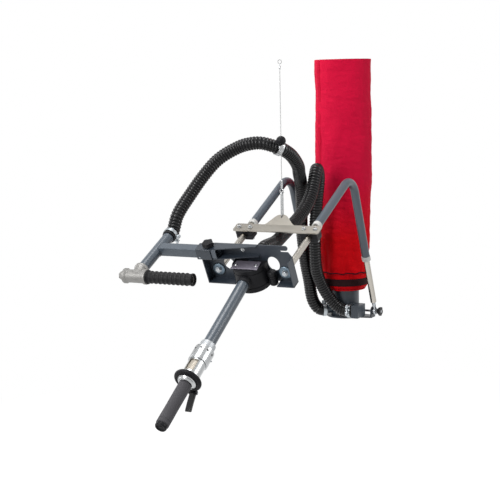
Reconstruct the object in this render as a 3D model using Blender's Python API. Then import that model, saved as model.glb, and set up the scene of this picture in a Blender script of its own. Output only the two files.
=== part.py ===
"""Vacuum tube lifter with a two-arm operator frame, long twist handle and sliding side arm.

Metres, +Z up. The origin is the centre of the ring at the top of the lifting tube, from which
the whole lifter hangs. +X runs along the ear pivots, and the handle reaches out towards -Y.
"""

import math

import bmesh
import bpy
from mathutils import Matrix, Vector
from mathutils.geometry import interpolate_bezier

# clearances
FIT = 0.0003
RUN = 0.0005

# lifting tube: ring, inner hose and cover sleeve
EAR_DROP = 0.850
RING_RADIUS = 0.0925
RING_THICKNESS = 0.006
SPIGOT_RADIUS = 0.064
SPIGOT_WALL = 0.004
SPIGOT_LENGTH = 0.045
LIFT_HOSE_WALL = 0.005
SLEEVE_WALL = 0.0025
SLEEVE_TOP_RADIUS = 0.0953
SLEEVE_WAIST_RADIUS = 0.088
SLEEVE_GATHER_RADIUS = 0.080
STRAP_SEAT_RADIUS = 0.0770
HEM_RADIUS = 0.069
HEM_HEIGHT = 0.073
STRAP_HEIGHT = 0.090
STRAP_WIDTH = 0.024
STRAP_THICKNESS = 0.002
GATHER_HEIGHT = 0.134
WAIST_HEIGHT = 0.250

# lower adapter and its plate
ADAPTER_RADIUS = 0.0475
ADAPTER_WALL = 0.004
ADAPTER_NECK_TOP = 0.080
ADAPTER_SPIGOT_BASE = 0.100
ADAPTER_SPIGOT_LENGTH = 0.045
PLATE_BOTTOM = 0.022
PLATE_THICKNESS = 0.005
PLATE_DISC_RADIUS = 0.062
EAR_WIDTH = 0.034
EAR_THICKNESS = 0.0045
EAR_TOP = 0.015
STUB_RADIUS = 0.018
STUB_WALL = 0.003
HOSE_RADIUS = 0.021
CLAMP_SLACK = 0.0007

# operator frame: two bent arms and four plain rods
ARM_SPACING = 0.220
ARM_RADIUS = 0.01345
ARM_WALL = 0.0026
ARM_BEND_RADIUS = 0.060
ARM_LEG_LEAN = math.radians(21.5)
ARM_LEG_TUBE_START = 0.2118
ROD_RADIUS = 0.010
ROD_INSERT = 0.060
ROD_SLOPE = math.radians(26.8)
END_COLLAR_RADIUS = 0.0148
END_COLLAR_LENGTH = 0.014
PIN_RADIUS = 0.004
ROD_EYE_RADIUS = 0.012
ROD_EYE_WIDTH = 0.012
ROD_NECK_RADIUS = 0.006
ROD_SHOULDER = 0.034

# bracket, measured on its own sloping face
BRACKET_REACH = 0.680
BRACKET_HEIGHT = 0.230
BRACKET_LEFT = -0.140
BRACKET_RIGHT = 0.143
BRACKET_BOTTOM = -0.033
BRACKET_TOP = 0.091
SHEET = 0.003
FLANGE_DEPTH = 0.030
LEFT_FLANGE_TOP = 0.050
RIGHT_FLANGE_TOP = 0.052
CHANNEL_END = 0.040
CHANNEL_END_DEPTH = 0.008

# side arm, tee and side grip
SIDE_ARM_SIZE = 0.030
SIDE_ARM_WALL = 0.0025
SIDE_ARM_HEIGHT = 0.073
SIDE_ARM_INNER_END = -0.085
SIDE_ARM_TRAVEL = 0.060
SLEEVE_BLOCK_LEFT = -0.150
SLEEVE_BLOCK_RIGHT = -0.101
SLEEVE_BLOCK_WALL = 0.003
CROSS_TUBE_X = -0.290
CROSS_TUBE_RADIUS = 0.01685
CROSS_TUBE_WALL = 0.0030
CROSS_TUBE_BACK = 0.064
TEE_DROP = 0.1422
TEE_BRANCH_LENGTH = 0.033
TEE_SOCKET = 0.013
TEE_RADIUS = 0.0195
TEE_BRANCH_RADIUS = 0.0188
TEE_RIM_RADIUS = 0.0225
TEE_RIM_LENGTH = 0.010
TEE_HALF_LENGTH = 0.039
SIDE_GRIP_RADIUS = 0.0190
SIDE_GRIP_LENGTH = 0.155
NIPPLE_RADIUS = 0.0135

# hub and operator handle, along the handle axis
HANDLE_SLOPE = math.radians(33.0)
HANDLE_X = 0.006
HUB_HALF_WIDTH = 0.0525
HUB_BOTTOM = -0.037
HUB_TOP = 0.038
HUB_FLAT_DEPTH = 0.012
HANDLE_TUBE_RADIUS = 0.0175
HANDLE_TUBE_WALL = 0.0025
HANDLE_TUBE_LENGTH = 0.302
VALVE_COLLAR_RADIUS = 0.0225
VALVE_DRUM_RADIUS = 0.0265
VALVE_SLEEVE_RADIUS = 0.0240
GUARD_RADIUS = 0.039
GUARD_THICKNESS = 0.013
GRIP_RADIUS = 0.0183
GRIP_LENGTH = 0.147
GRIP_CORE_RADIUS = 0.0120
LEVER_PIVOT_DROP = 0.048
LEVER_LENGTH = 0.055
LEVER_WIDTH = 0.018
LEVER_THICKNESS = 0.009
LEVER_REST = math.radians(24.0)

# balancer wire and spreader
CLAMP_BACK = 0.196
CLAMP_DEPTH = 0.030
CLAMP_WIDTH = 0.056
CLAMP_HEIGHT = 0.032
CLAMP_BOLT_OFFSET = 0.019
EYE_TO_TIP = 0.0075
EYE_RADIUS = 0.0035
SPLIT = 0.0010
SPREADER_WIDTH = 0.290
SPREADER_DEPTH = 0.038
SPREADER_THICKNESS = 0.004
HUMP_HALF_WIDTH = 0.056
HUMP_TIP_HALF_WIDTH = 0.013
HUMP_DEPTH = 0.038
HUMP_LIFT = math.radians(25.0)
WIRE_RADIUS = 0.0012
LINK_WIRE_RADIUS = 0.0022
LINK_WIDTH = 0.011
LINK_LENGTH = 0.076
BALL_RADIUS = 0.015
BALL_HEIGHT = 0.600
CLIP_SLACK = 0.0016

ROUND = 18
SMALL_ROUND = 10
LARGE_ROUND = 28
BEND_STEPS = 9


def clear_scene():
    """Empties the file, so that the script gives the same model each time."""
    for old in list(bpy.data.objects):
        bpy.data.objects.remove(old, do_unlink=True)


def material(name, colour, roughness, metallic=0.0):
    """A Principled material with one colour."""
    made = bpy.data.materials.new(name)
    made.use_nodes = True
    shader = made.node_tree.nodes["Principled BSDF"]
    shader.inputs["Base Color"].default_value = (*colour, 1.0)
    shader.inputs["Roughness"].default_value = roughness
    shader.inputs["Metallic"].default_value = metallic
    return made


class Finish:
    """The part's materials, made once."""

    def __init__(self):
        self.frame_paint = material("frame_paint", (0.10, 0.12, 0.145), 0.42)
        self.bracket_paint = material("bracket_paint", (0.035, 0.045, 0.06), 0.45)
        self.cover_paint = material("cover_paint", (0.22, 0.21, 0.25), 0.5)
        self.stainless = material("stainless", (0.62, 0.60, 0.56), 0.28, 1.0)
        self.polished = material("polished", (0.82, 0.82, 0.80), 0.12, 1.0)
        self.cast_aluminium = material("cast_aluminium", (0.58, 0.58, 0.57), 0.5, 1.0)
        self.galvanised = material("galvanised", (0.60, 0.62, 0.62), 0.45, 1.0)
        self.zinc = material("zinc", (0.70, 0.71, 0.72), 0.3, 1.0)
        self.black_plastic = material("black_plastic", (0.018, 0.018, 0.02), 0.45)
        self.black_rubber = material("black_rubber", (0.012, 0.012, 0.013), 0.6)
        self.grip_foam = material("grip_foam", (0.055, 0.055, 0.06), 0.85)
        self.hose_black = material("hose_black", (0.010, 0.010, 0.011), 0.3)
        self.red_fabric = material("red_fabric", (0.62, 0.008, 0.035), 0.75)
        self.webbing = material("webbing", (0.02, 0.015, 0.015), 0.8)
        self.bronze = material("bronze", (0.55, 0.42, 0.28), 0.35, 1.0)
        self.lift_rubber = material("lift_rubber", (0.10, 0.10, 0.10), 0.7)


def axis_frame(name, location=(0, 0, 0), rotation=(0, 0, 0), parent=None):
    """An empty that carries pieces which share one axis or face."""
    empty = bpy.data.objects.new(name, None)
    bpy.context.collection.objects.link(empty)
    empty.location = location
    empty.rotation_euler = rotation
    empty.parent = parent
    return empty


def finished(name, mesh_data, finish, parent=None, location=(0, 0, 0), rotation=(0, 0, 0), smooth=True):
    """Turns a bmesh into a named object with one material."""
    bmesh.ops.remove_doubles(mesh_data, verts=mesh_data.verts, dist=1e-7)
    bmesh.ops.recalc_face_normals(mesh_data, faces=mesh_data.faces)
    mesh = bpy.data.meshes.new(name)
    mesh_data.to_mesh(mesh)
    mesh_data.free()
    if smooth:
        mesh.shade_smooth()
        mesh.set_sharp_from_angle(angle=math.radians(35))
    if finish:
        mesh.materials.append(finish)
    made = bpy.data.objects.new(name, mesh)
    bpy.context.collection.objects.link(made)
    made.location = location
    made.rotation_euler = rotation
    made.parent = parent
    return made


def add_lathe(mesh_data, profile, sides=ROUND, matrix=Matrix.Identity(4)):
    """Turns a (radius, height) profile round local Z. One that starts on the axis is a solid bar."""
    solid = profile[0][0] < 1e-9
    rings = []
    for radius, height in profile[1:-1] if solid else profile:
        ring = []
        for step in range(sides):
            angle = 2 * math.pi * step / sides
            point = Vector((radius * math.cos(angle), radius * math.sin(angle), height))
            ring.append(mesh_data.verts.new(matrix @ point))
        rings.append(ring)
    following_rings = rings[1:] if solid else rings[1:] + rings[:1]
    for ring, following in zip(rings, following_rings):
        for step in range(sides):
            after = (step + 1) % sides
            mesh_data.faces.new([ring[step], ring[after], following[after], following[step]])
    if solid:
        mesh_data.faces.new(rings[0])
        mesh_data.faces.new(rings[-1])


def bar_profile(radius, low, high, chamfer=0.0):
    """Profile of a solid bar between two heights, with both edges chamfered."""
    if chamfer <= 0:
        return [(0, low), (radius, low), (radius, high), (0, high)]
    inner = radius - chamfer
    return [(0, low), (inner, low), (radius, low + chamfer), (radius, high - chamfer), (inner, high), (0, high)]


def tube_profile(outer, inner, low, high):
    """Profile of a plain tube between two heights."""
    return [(inner, low), (outer, low), (outer, high), (inner, high)]


def lathe(name, profile, finish, parent=None, sides=ROUND, **placing):
    """A turned piece in a node of its own."""
    mesh_data = bmesh.new()
    add_lathe(mesh_data, profile, sides)
    return finished(name, mesh_data, finish, parent, **placing)


def add_prism(mesh_data, outline, low, high, matrix=Matrix.Identity(4)):
    """Extrudes an outline in local XY between two heights."""
    bottom = [mesh_data.verts.new(matrix @ Vector((x, y, low))) for x, y in outline]
    top = [mesh_data.verts.new(matrix @ Vector((x, y, high))) for x, y in outline]
    mesh_data.faces.new(bottom)
    mesh_data.faces.new(top)
    for index in range(len(outline)):
        after = (index + 1) % len(outline)
        mesh_data.faces.new([bottom[index], bottom[after], top[after], top[index]])


def prism(name, outline, low, high, finish, parent=None, matrix=Matrix.Identity(4), **placing):
    """An extruded outline in a node of its own."""
    mesh_data = bmesh.new()
    add_prism(mesh_data, outline, low, high, matrix)
    return finished(name, mesh_data, finish, parent, **placing)


def add_box(mesh_data, low, high):
    """A box between two corners."""
    outline = [(low[0], low[1]), (high[0], low[1]), (high[0], high[1]), (low[0], high[1])]
    add_prism(mesh_data, outline, low[2], high[2])


def box(name, low, high, finish, parent=None, **placing):
    """A box in a node of its own."""
    mesh_data = bmesh.new()
    add_box(mesh_data, low, high)
    return finished(name, mesh_data, finish, parent, smooth=False, **placing)


def add_sweep(mesh_data, points, outer, inner=0.0, sides=ROUND, side_axis=Vector((1, 0, 0))):
    """A round bar or tube along a flat path. side_axis stands square to the path's plane."""
    shells = []
    for radius in (outer, inner):
        if radius <= 0:
            continue
        rings = []
        for index, point in enumerate(points):
            before = points[max(index - 1, 0)]
            after = points[min(index + 1, len(points) - 1)]
            tangent = (after - before).normalized()
            normal = side_axis.cross(tangent).normalized()
            ring = []
            for step in range(sides):
                angle = 2 * math.pi * step / sides
                offset = side_axis * math.cos(angle) + normal * math.sin(angle)
                ring.append(mesh_data.verts.new(point + offset * radius))
            rings.append(ring)
        shells.append(rings)
    for rings in shells:
        for ring, following in zip(rings, rings[1:]):
            for step in range(sides):
                after = (step + 1) % sides
                mesh_data.faces.new([ring[step], ring[after], following[after], following[step]])
    for end in (0, -1):
        if inner <= 0:
            mesh_data.faces.new(shells[0][end])
            continue
        for step in range(sides):
            after = (step + 1) % sides
            outer_ring = shells[0][end]
            inner_ring = shells[1][end]
            mesh_data.faces.new([outer_ring[step], outer_ring[after], inner_ring[after], inner_ring[step]])


def circle(radius, sides, centre=(0, 0), stretch=1.0, start=0.0):
    """Points of a circle, or of an ellipse with its second radius stretched."""
    points = []
    for step in range(sides):
        angle = start + 2 * math.pi * step / sides
        points.append((centre[0] + radius * math.cos(angle), centre[1] + radius * stretch * math.sin(angle)))
    return points


def rounded_rectangle(left, bottom, right, top, radius, steps=4):
    """Outline of a rectangle with round corners."""
    centres = [(right - radius, top - radius, 0), (left + radius, top - radius, 90)]
    centres += [(left + radius, bottom + radius, 180), (right - radius, bottom + radius, 270)]
    points = []
    for x, y, start in centres:
        for step in range(steps + 1):
            angle = math.radians(start + 90 * step / steps)
            points.append((x + radius * math.cos(angle), y + radius * math.sin(angle)))
    return points


def combine(target, tool, operation):
    """Cuts the tool from the target, or joins it on, and hides the tool from the model."""
    tool.hide_render = True
    tool.display_type = "WIRE"
    change = target.modifiers.new(f"{operation.lower()}_{tool.name}", "BOOLEAN")
    change.operation = operation
    change.object = tool
    change.solver = "EXACT"
    return target


def cut(target, tool):
    """Cuts the tool from the target."""
    return combine(target, tool, "DIFFERENCE")


def join(target, tool):
    """Joins the tool's shape onto the target."""
    return combine(target, tool, "UNION")


def bevel(target, width, segments=2):
    """Rounds the sharp edges of a piece."""
    edge = target.modifiers.new("edge_rounding", "BEVEL")
    edge.width = width
    edge.segments = segments
    edge.limit_method = "ANGLE"
    edge.angle_limit = math.radians(40)
    return target


def hex_outline(across_flats):
    """Outline of a hexagon, flats facing up and down."""
    return circle(across_flats / math.sqrt(3), 6)


def turn_x(angle):
    """Euler angles of a turn about X."""
    return (angle, 0, 0)


ALONG_X = Matrix.Rotation(math.radians(90), 4, "Y")
ALONG_Y = Matrix.Rotation(math.radians(-90), 4, "X")


def shifted(x=0.0, y=0.0, z=0.0, turn=Matrix.Identity(4)):
    """A matrix that first turns, then shifts."""
    return Matrix.Translation((x, y, z)) @ turn


def smooth_route(points, steps):
    """Reads evenly placed points from a smooth curve through the route's own points."""
    places = [Vector(point) for point in points]
    read = []
    for index in range(len(places) - 1):
        start = places[index]
        end = places[index + 1]
        before = places[max(index - 1, 0)]
        after = places[min(index + 2, len(places) - 1)]
        reach = (end - start).length / 3
        leave = start + (end - before).normalized() * reach
        arrive = end - (after - start).normalized() * reach
        read += interpolate_bezier(start, leave, arrive, end, steps + 1)[:-1]
    read.append(places[-1])
    return read


def cord(name, points, radius, finish, parent=None, resolution=3):
    """A plain round cord along a list of points, as a curve with filled ends."""
    data = bpy.data.curves.new(name, "CURVE")
    data.dimensions = "3D"
    data.bevel_depth = radius
    data.bevel_resolution = resolution
    data.use_fill_caps = True
    spline = data.splines.new("POLY")
    spline.points.add(len(points) - 1)
    for place, point in zip(spline.points, points):
        place.co = (*point, 1.0)
    data.materials.append(finish)
    made = bpy.data.objects.new(name, data)
    bpy.context.collection.objects.link(made)
    made.parent = parent
    return made


def star_outline(radius, lobes=5, depth=0.16, sides=30):
    """Outline of a hand knob with rounded lobes."""
    points = []
    for step in range(sides):
        angle = 2 * math.pi * step / sides
        reach = radius * (1 - depth / 2 + depth / 2 * math.cos(lobes * angle))
        points.append((reach * math.cos(angle), reach * math.sin(angle)))
    return points


def star_knob(name, radius, thickness, stem_radius, stem_length, bore_radius, finish, parent, location, rotation):
    """A hand knob on a short stem. Local Z points away from the stem, and Z=0 is the stem's foot."""
    knob = prism(name, star_outline(radius), stem_length, stem_length + thickness, finish, parent,
                 location=location, rotation=rotation)
    bevel(knob, 0.0018, 1)
    stem = lathe(f"{name}_stem", bar_profile(stem_radius, 0, stem_length + thickness / 2), None, parent,
                 location=location, rotation=rotation)
    join(knob, stem)
    if bore_radius:
        depth = stem_length + thickness * 0.7
        bore = lathe(f"{name}_bore", bar_profile(bore_radius, -0.001, depth), None, parent, SMALL_ROUND,
                     location=location, rotation=rotation)
        cut(knob, bore)
    return knob


def ring_clamp(name, radius, width, finish, parent, location, rotation, screw_side=1.0):
    """A hose clamp: a round band with a housing and its screw across two lugs."""
    band = 0.0015
    lug = 0.006
    screw_reach = radius + band + 0.0045
    clamp = lathe(name, tube_profile(radius + band, radius, -width / 2, width / 2), finish, parent,
                  location=location, rotation=rotation)
    lugs = bmesh.new()
    for side in (-1, 1):
        low = (screw_side * screw_reach - 0.0064, side * 0.009 - lug / 2, -width * 0.4)
        high = (screw_side * screw_reach + 0.0045, side * 0.009 + lug / 2, width * 0.4)
        add_box(lugs, low, high)
    housing = finished(f"{name}_lugs", lugs, None, parent, location=location, rotation=rotation, smooth=False)
    join(clamp, housing)
    screw = bmesh.new()
    across = shifted(x=screw_side * (screw_reach + 0.0005), turn=ALONG_Y)
    add_lathe(screw, bar_profile(0.0022, -0.020, 0.018), SMALL_ROUND, across)
    bolt = finished(f"{name}_screw", screw, None, parent, location=location, rotation=rotation)
    join(clamp, bolt)
    return clamp


def build_lifting_tube(finish):
    """The ring that everything hangs from, the lift hose inside and its red cover."""
    hose_radius = SPIGOT_RADIUS + FIT + LIFT_HOSE_WALL
    bore = SPIGOT_RADIUS - SPIGOT_WALL
    ring = [(bore, 0), (RING_RADIUS, 0), (RING_RADIUS, -RING_THICKNESS), (SPIGOT_RADIUS, -RING_THICKNESS)]
    ring += [(SPIGOT_RADIUS, -RING_THICKNESS - SPIGOT_LENGTH), (bore, -RING_THICKNESS - SPIGOT_LENGTH)]
    lathe("top_ring", ring, finish.cast_aluminium, sides=LARGE_ROUND)

    hose_low = -EAR_DROP + ADAPTER_SPIGOT_BASE + FIT
    hose_high = -RING_THICKNESS - FIT
    lathe("lift_hose", tube_profile(hose_radius, hose_radius - LIFT_HOSE_WALL, hose_low, hose_high),
          finish.lift_rubber, sides=LARGE_ROUND)

    outer = [
        (HEM_RADIUS, HEM_HEIGHT), (STRAP_SEAT_RADIUS, STRAP_HEIGHT - 0.002),
        (STRAP_SEAT_RADIUS, STRAP_HEIGHT + STRAP_WIDTH + 0.002), (SLEEVE_GATHER_RADIUS, GATHER_HEIGHT),
        (SLEEVE_WAIST_RADIUS, WAIST_HEIGHT), (SLEEVE_TOP_RADIUS, EAR_DROP - 0.330),
        (SLEEVE_TOP_RADIUS, EAR_DROP - FIT),
    ]
    profile = [(radius, height - EAR_DROP) for radius, height in outer]
    top_radius, top_height = profile[-1]
    inside = [(radius - SLEEVE_WALL, height) for radius, height in reversed(profile[:-1])]
    lathe("cover_sleeve", profile + [(top_radius - SLEEVE_WALL, top_height)] + inside, finish.red_fabric, sides=LARGE_ROUND)


def build_adapter(finish, ears):
    """The lower adapter with its two hose stubs, the eared plate and the strap round the sleeve."""
    floor = -PLATE_BOTTOM + PLATE_THICKNESS
    bore = ADAPTER_RADIUS - ADAPTER_WALL
    spigot_bore = SPIGOT_RADIUS - SPIGOT_WALL
    spigot_top = ADAPTER_SPIGOT_BASE + ADAPTER_SPIGOT_LENGTH
    profile = [
        (bore, floor + FIT), (ADAPTER_RADIUS, floor + FIT), (ADAPTER_RADIUS, ADAPTER_NECK_TOP),
        (SPIGOT_RADIUS + LIFT_HOSE_WALL, ADAPTER_SPIGOT_BASE - 0.006),
        (SPIGOT_RADIUS + LIFT_HOSE_WALL, ADAPTER_SPIGOT_BASE), (SPIGOT_RADIUS, ADAPTER_SPIGOT_BASE),
        (SPIGOT_RADIUS, spigot_top), (spigot_bore, spigot_top), (spigot_bore, ADAPTER_SPIGOT_BASE - 0.004),
        (bore, ADAPTER_NECK_TOP),
    ]
    adapter = lathe("lower_adapter", profile, finish.bracket_paint, ears, LARGE_ROUND)

    elbow_outline = [
        (0.036, -0.025), (0.084, -0.025), (0.084, HOSE_B_END[1] - 0.021), (HOSE_B_END[0] + 0.002, HOSE_B_END[1] - 0.021),
        (HOSE_B_END[0] + 0.002, -0.043), (0.036, -0.043),
    ]
    elbow = prism("inlet_elbow", elbow_outline, HOSE_B_END[2] - 0.021, HOSE_B_END[2] + 0.021, None, ears)
    join(adapter, elbow)
    neck = bmesh.new()
    along = shifted(HOSE_B_END[0] + FIT, HOSE_B_END[1], HOSE_B_END[2], ALONG_X)
    add_lathe(neck, bar_profile(STUB_RADIUS, 0, 0.012), ROUND, along)
    join(adapter, finished("inlet_neck", neck, None, ears))

    side_stub = bmesh.new()
    end = Vector(HOSE_A_END)
    direction = Vector((end.x, end.y, 0)).normalized()
    turn = direction.to_track_quat("Z", "Y").to_matrix().to_4x4()
    reach = Vector((end.x, end.y, 0)).length
    add_lathe(side_stub, bar_profile(STUB_RADIUS - 0.002, bore - 0.006, reach - FIT), ROUND,
              shifted(z=end.z + 0.003, turn=turn))
    join(adapter, finished("side_stub", side_stub, None, ears))
    boss = bmesh.new()
    add_lathe(boss, bar_profile(0.0075, bore - 0.001, ADAPTER_RADIUS + 0.008), SMALL_ROUND, ALONG_X)
    join(adapter, finished("spindle_boss", boss, None, ears))
    cut(adapter, lathe("adapter_bore", bar_profile(bore, floor - 0.010, ADAPTER_NECK_TOP - 0.002), None, ears, LARGE_ROUND))

    half_span = ARM_SPACING / 2 - ROD_EYE_WIDTH / 2 - RUN
    half_width = EAR_WIDTH / 2
    tangent = math.acos(half_width / PLATE_DISC_RADIUS) * 0.86
    outline = [(half_span, -half_width), (half_span, half_width)]
    for step in range(9):
        angle = math.pi / 2 - tangent + 2 * tangent * step / 8
        outline.append((PLATE_DISC_RADIUS * math.cos(angle), PLATE_DISC_RADIUS * math.sin(angle)))
    outline += [(-half_span, half_width), (-half_span, -half_width)]
    for step in range(9):
        angle = -math.pi / 2 - tangent + 2 * tangent * step / 8
        outline.append((PLATE_DISC_RADIUS * math.cos(angle), PLATE_DISC_RADIUS * math.sin(angle)))
    plate = prism("base_plate", outline, -PLATE_BOTTOM, floor, finish.bracket_paint, ears)
    tab = [(half_width, -PLATE_BOTTOM + 0.001)]
    tab += [(half_width * math.cos(a), half_width * math.sin(a) * 0.9) for a in
            [math.pi * step / 10 for step in range(11)]]
    tab += [(-half_width, -PLATE_BOTTOM + 0.001)]
    upright = Matrix(((0, 0, 1, 0), (1, 0, 0, 0), (0, 1, 0, 0), (0, 0, 0, 1)))
    for side in (-1, 1):
        low, high = sorted((side * half_span, side * (half_span - EAR_THICKNESS)))
        join(plate, prism(f"ear_{side}", tab, low, high, None, ears, upright))
    hole = bmesh.new()
    add_lathe(hole, bar_profile(PIN_RADIUS + FIT, -0.2, 0.2), SMALL_ROUND, ALONG_X)
    cut(plate, finished("ear_holes", hole, None, ears))
    cut(plate, lathe("plate_bore", bar_profile(bore, -0.1, 0.1), None, ears, LARGE_ROUND))

    strap_inner = STRAP_SEAT_RADIUS + FIT
    strap = lathe("sleeve_strap", tube_profile(strap_inner + STRAP_THICKNESS, strap_inner, STRAP_HEIGHT,
                  STRAP_HEIGHT + STRAP_WIDTH), finish.webbing, ears, LARGE_ROUND)
    buckle_place = shifted(turn=Matrix.Rotation(math.radians(60), 4, "Z"))
    buckle = bmesh.new()
    centre = strap_inner + STRAP_THICKNESS
    outline = rounded_rectangle(centre - 0.001, -0.016, centre + 0.004, 0.016, 0.0015, 2)
    add_prism(buckle, outline, STRAP_HEIGHT - 0.001, STRAP_HEIGHT + STRAP_WIDTH + 0.001, buckle_place)
    join(strap, finished("strap_buckle", buckle, None, ears, smooth=False))


def build_ear_pivots(finish, ears):
    """The long spindle on the right, the bolt on the left and the friction knob."""
    outside = ARM_SPACING / 2 + ROD_EYE_WIDTH / 2
    inside = ARM_SPACING / 2 - ROD_EYE_WIDTH / 2 - RUN - EAR_THICKNESS
    washer = 0.0015
    knob_foot = outside + washer + 3 * FIT + RUN
    spindle_end = knob_foot + 0.009
    thin = PIN_RADIUS - FIT
    collar_low = outside + FIT
    spindle = bmesh.new()
    profile = [
        (0, ADAPTER_RADIUS + 0.008 + FIT), (thin, ADAPTER_RADIUS + 0.008 + FIT), (thin, collar_low),
        (0.0095, collar_low), (0.0095, collar_low + washer), (thin, collar_low + washer), (thin, spindle_end),
        (0, spindle_end),
    ]
    add_lathe(spindle, profile, 20, ALONG_X)
    finished("pivot_spindle", spindle, finish.zinc, ears)

    nut_outer = -(inside - FIT)
    bolt = bmesh.new()
    profile = [
        (0, -collar_low - washer), (0.0095, -collar_low - washer), (0.0095, -collar_low), (thin, -collar_low),
        (thin, nut_outer + 0.0085), (0, nut_outer + 0.0085),
    ]
    add_lathe(bolt, profile, 20, ALONG_X)
    left_bolt = finished("left_pivot_bolt", bolt, finish.zinc, ears)
    head_foot = -collar_low - washer + 0.0005
    join(left_bolt, prism("left_bolt_head", hex_outline(0.013), head_foot - 0.006, head_foot, None, ears, ALONG_X))
    join(left_bolt, prism("left_pivot_nut", hex_outline(0.013), nut_outer, nut_outer + 0.0065, None, ears, ALONG_X))
    star_knob("pivot_knob", 0.0155, 0.008, 0.0075, 0.006, PIN_RADIUS, finish.black_plastic, ears,
              (knob_foot, 0, 0), (0, math.radians(90), 0))


def arm_path():
    """The bent centre line of one arm, from the rear end over the bend to the front end."""
    rear = Vector((0, -math.sin(ARM_LEG_LEAN), math.cos(ARM_LEG_LEAN)))
    front = Vector((0, -math.cos(ROD_SLOPE), -math.sin(ROD_SLOPE)))
    bolts = Vector((0, -BRACKET_REACH, BRACKET_HEIGHT))
    along_leg = (bolts.y * front.z - bolts.z * front.y) / (rear.y * front.z - rear.z * front.y)
    corner = rear * along_leg
    turning = rear.angle(front)
    tangent_length = ARM_BEND_RADIUS * math.tan(turning / 2)
    bend_start = corner - rear * tangent_length
    inward = Vector((0, -rear.z, rear.y))
    centre = bend_start + inward * ARM_BEND_RADIUS
    path = [rear * ARM_LEG_TUBE_START]
    for step in range(BEND_STEPS + 1):
        turn = Matrix.Rotation(turning * step / BEND_STEPS, 3, "X")
        path.append(centre + turn @ (bend_start - centre))
    path.append(bolts - front * (CLAMP_BACK + 0.056))
    return path


def build_arms(finish, ears, face):
    """Both bent arms, the plain rods in their ends, the end collars and the rod ends."""
    path = arm_path()
    rod_length_in_face = CLAMP_BACK + 0.056
    bush = tube_profile(END_COLLAR_RADIUS, ROD_RADIUS + FIT, -0.002, END_COLLAR_LENGTH)
    for label, side in (("left", -1), ("right", 1)):
        x = side * ARM_SPACING / 2
        arm_mesh = bmesh.new()
        add_sweep(arm_mesh, [point + Vector((x, 0, 0)) for point in path], ARM_RADIUS, ARM_RADIUS - ARM_WALL)
        arm = finished(f"arm_{label}", arm_mesh, finish.frame_paint, ears)
        leg = axis_frame(f"leg_axis_{label}", (x, 0, 0), turn_x(ARM_LEG_LEAN), ears)
        join(arm, lathe(f"front_bush_{label}", bush, None, face, location=(x, 0, -rod_length_in_face)))
        join(arm, lathe(f"rear_bush_{label}", bush, None, leg, location=(0, 0, ARM_LEG_TUBE_START),
                        rotation=turn_x(math.pi)))

        rod_top = ARM_LEG_TUBE_START + ROD_INSERT
        bore = PIN_RADIUS + FIT
        rod_profile = [
            (0, rod_top), (ROD_RADIUS, rod_top), (ROD_RADIUS, ROD_SHOULDER + 0.003),
            (ROD_NECK_RADIUS + 0.001, ROD_SHOULDER), (bore, ROD_SHOULDER), (bore, ROD_SHOULDER + 0.022),
            (0, ROD_SHOULDER + 0.022),
        ]
        lathe(f"rear_rod_{label}", rod_profile, finish.stainless, leg, 20)
        neck = [
            (0, 0.008), (ROD_NECK_RADIUS, 0.008), (ROD_NECK_RADIUS, ROD_SHOULDER - FIT),
            (PIN_RADIUS, ROD_SHOULDER - FIT), (PIN_RADIUS, ROD_SHOULDER + 0.020), (0, ROD_SHOULDER + 0.020),
        ]
        rod_end = lathe(f"rod_end_{label}", neck, finish.black_plastic, leg, 16)
        eye = bmesh.new()
        add_lathe(eye, bar_profile(ROD_EYE_RADIUS, -ROD_EYE_WIDTH / 2, ROD_EYE_WIDTH / 2, 0.0012), ROUND, ALONG_X)
        join(rod_end, finished(f"rod_eye_{label}", eye, None, leg))
        hole = bmesh.new()
        add_lathe(hole, bar_profile(PIN_RADIUS + FIT, -0.02, 0.02), SMALL_ROUND, ALONG_X)
        cut(rod_end, finished(f"rod_eye_hole_{label}", hole, None, leg))
        front_profile = [
            (0, -rod_length_in_face - ROD_INSERT), (ROD_RADIUS, -rod_length_in_face - ROD_INSERT),
            (ROD_RADIUS, -SHEET - FIT), (bore, -SHEET - FIT), (bore, -0.030), (0, -0.030),
        ]
        lathe(f"front_rod_{label}", front_profile, finish.stainless, face, 20, location=(x, 0, 0))


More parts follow.
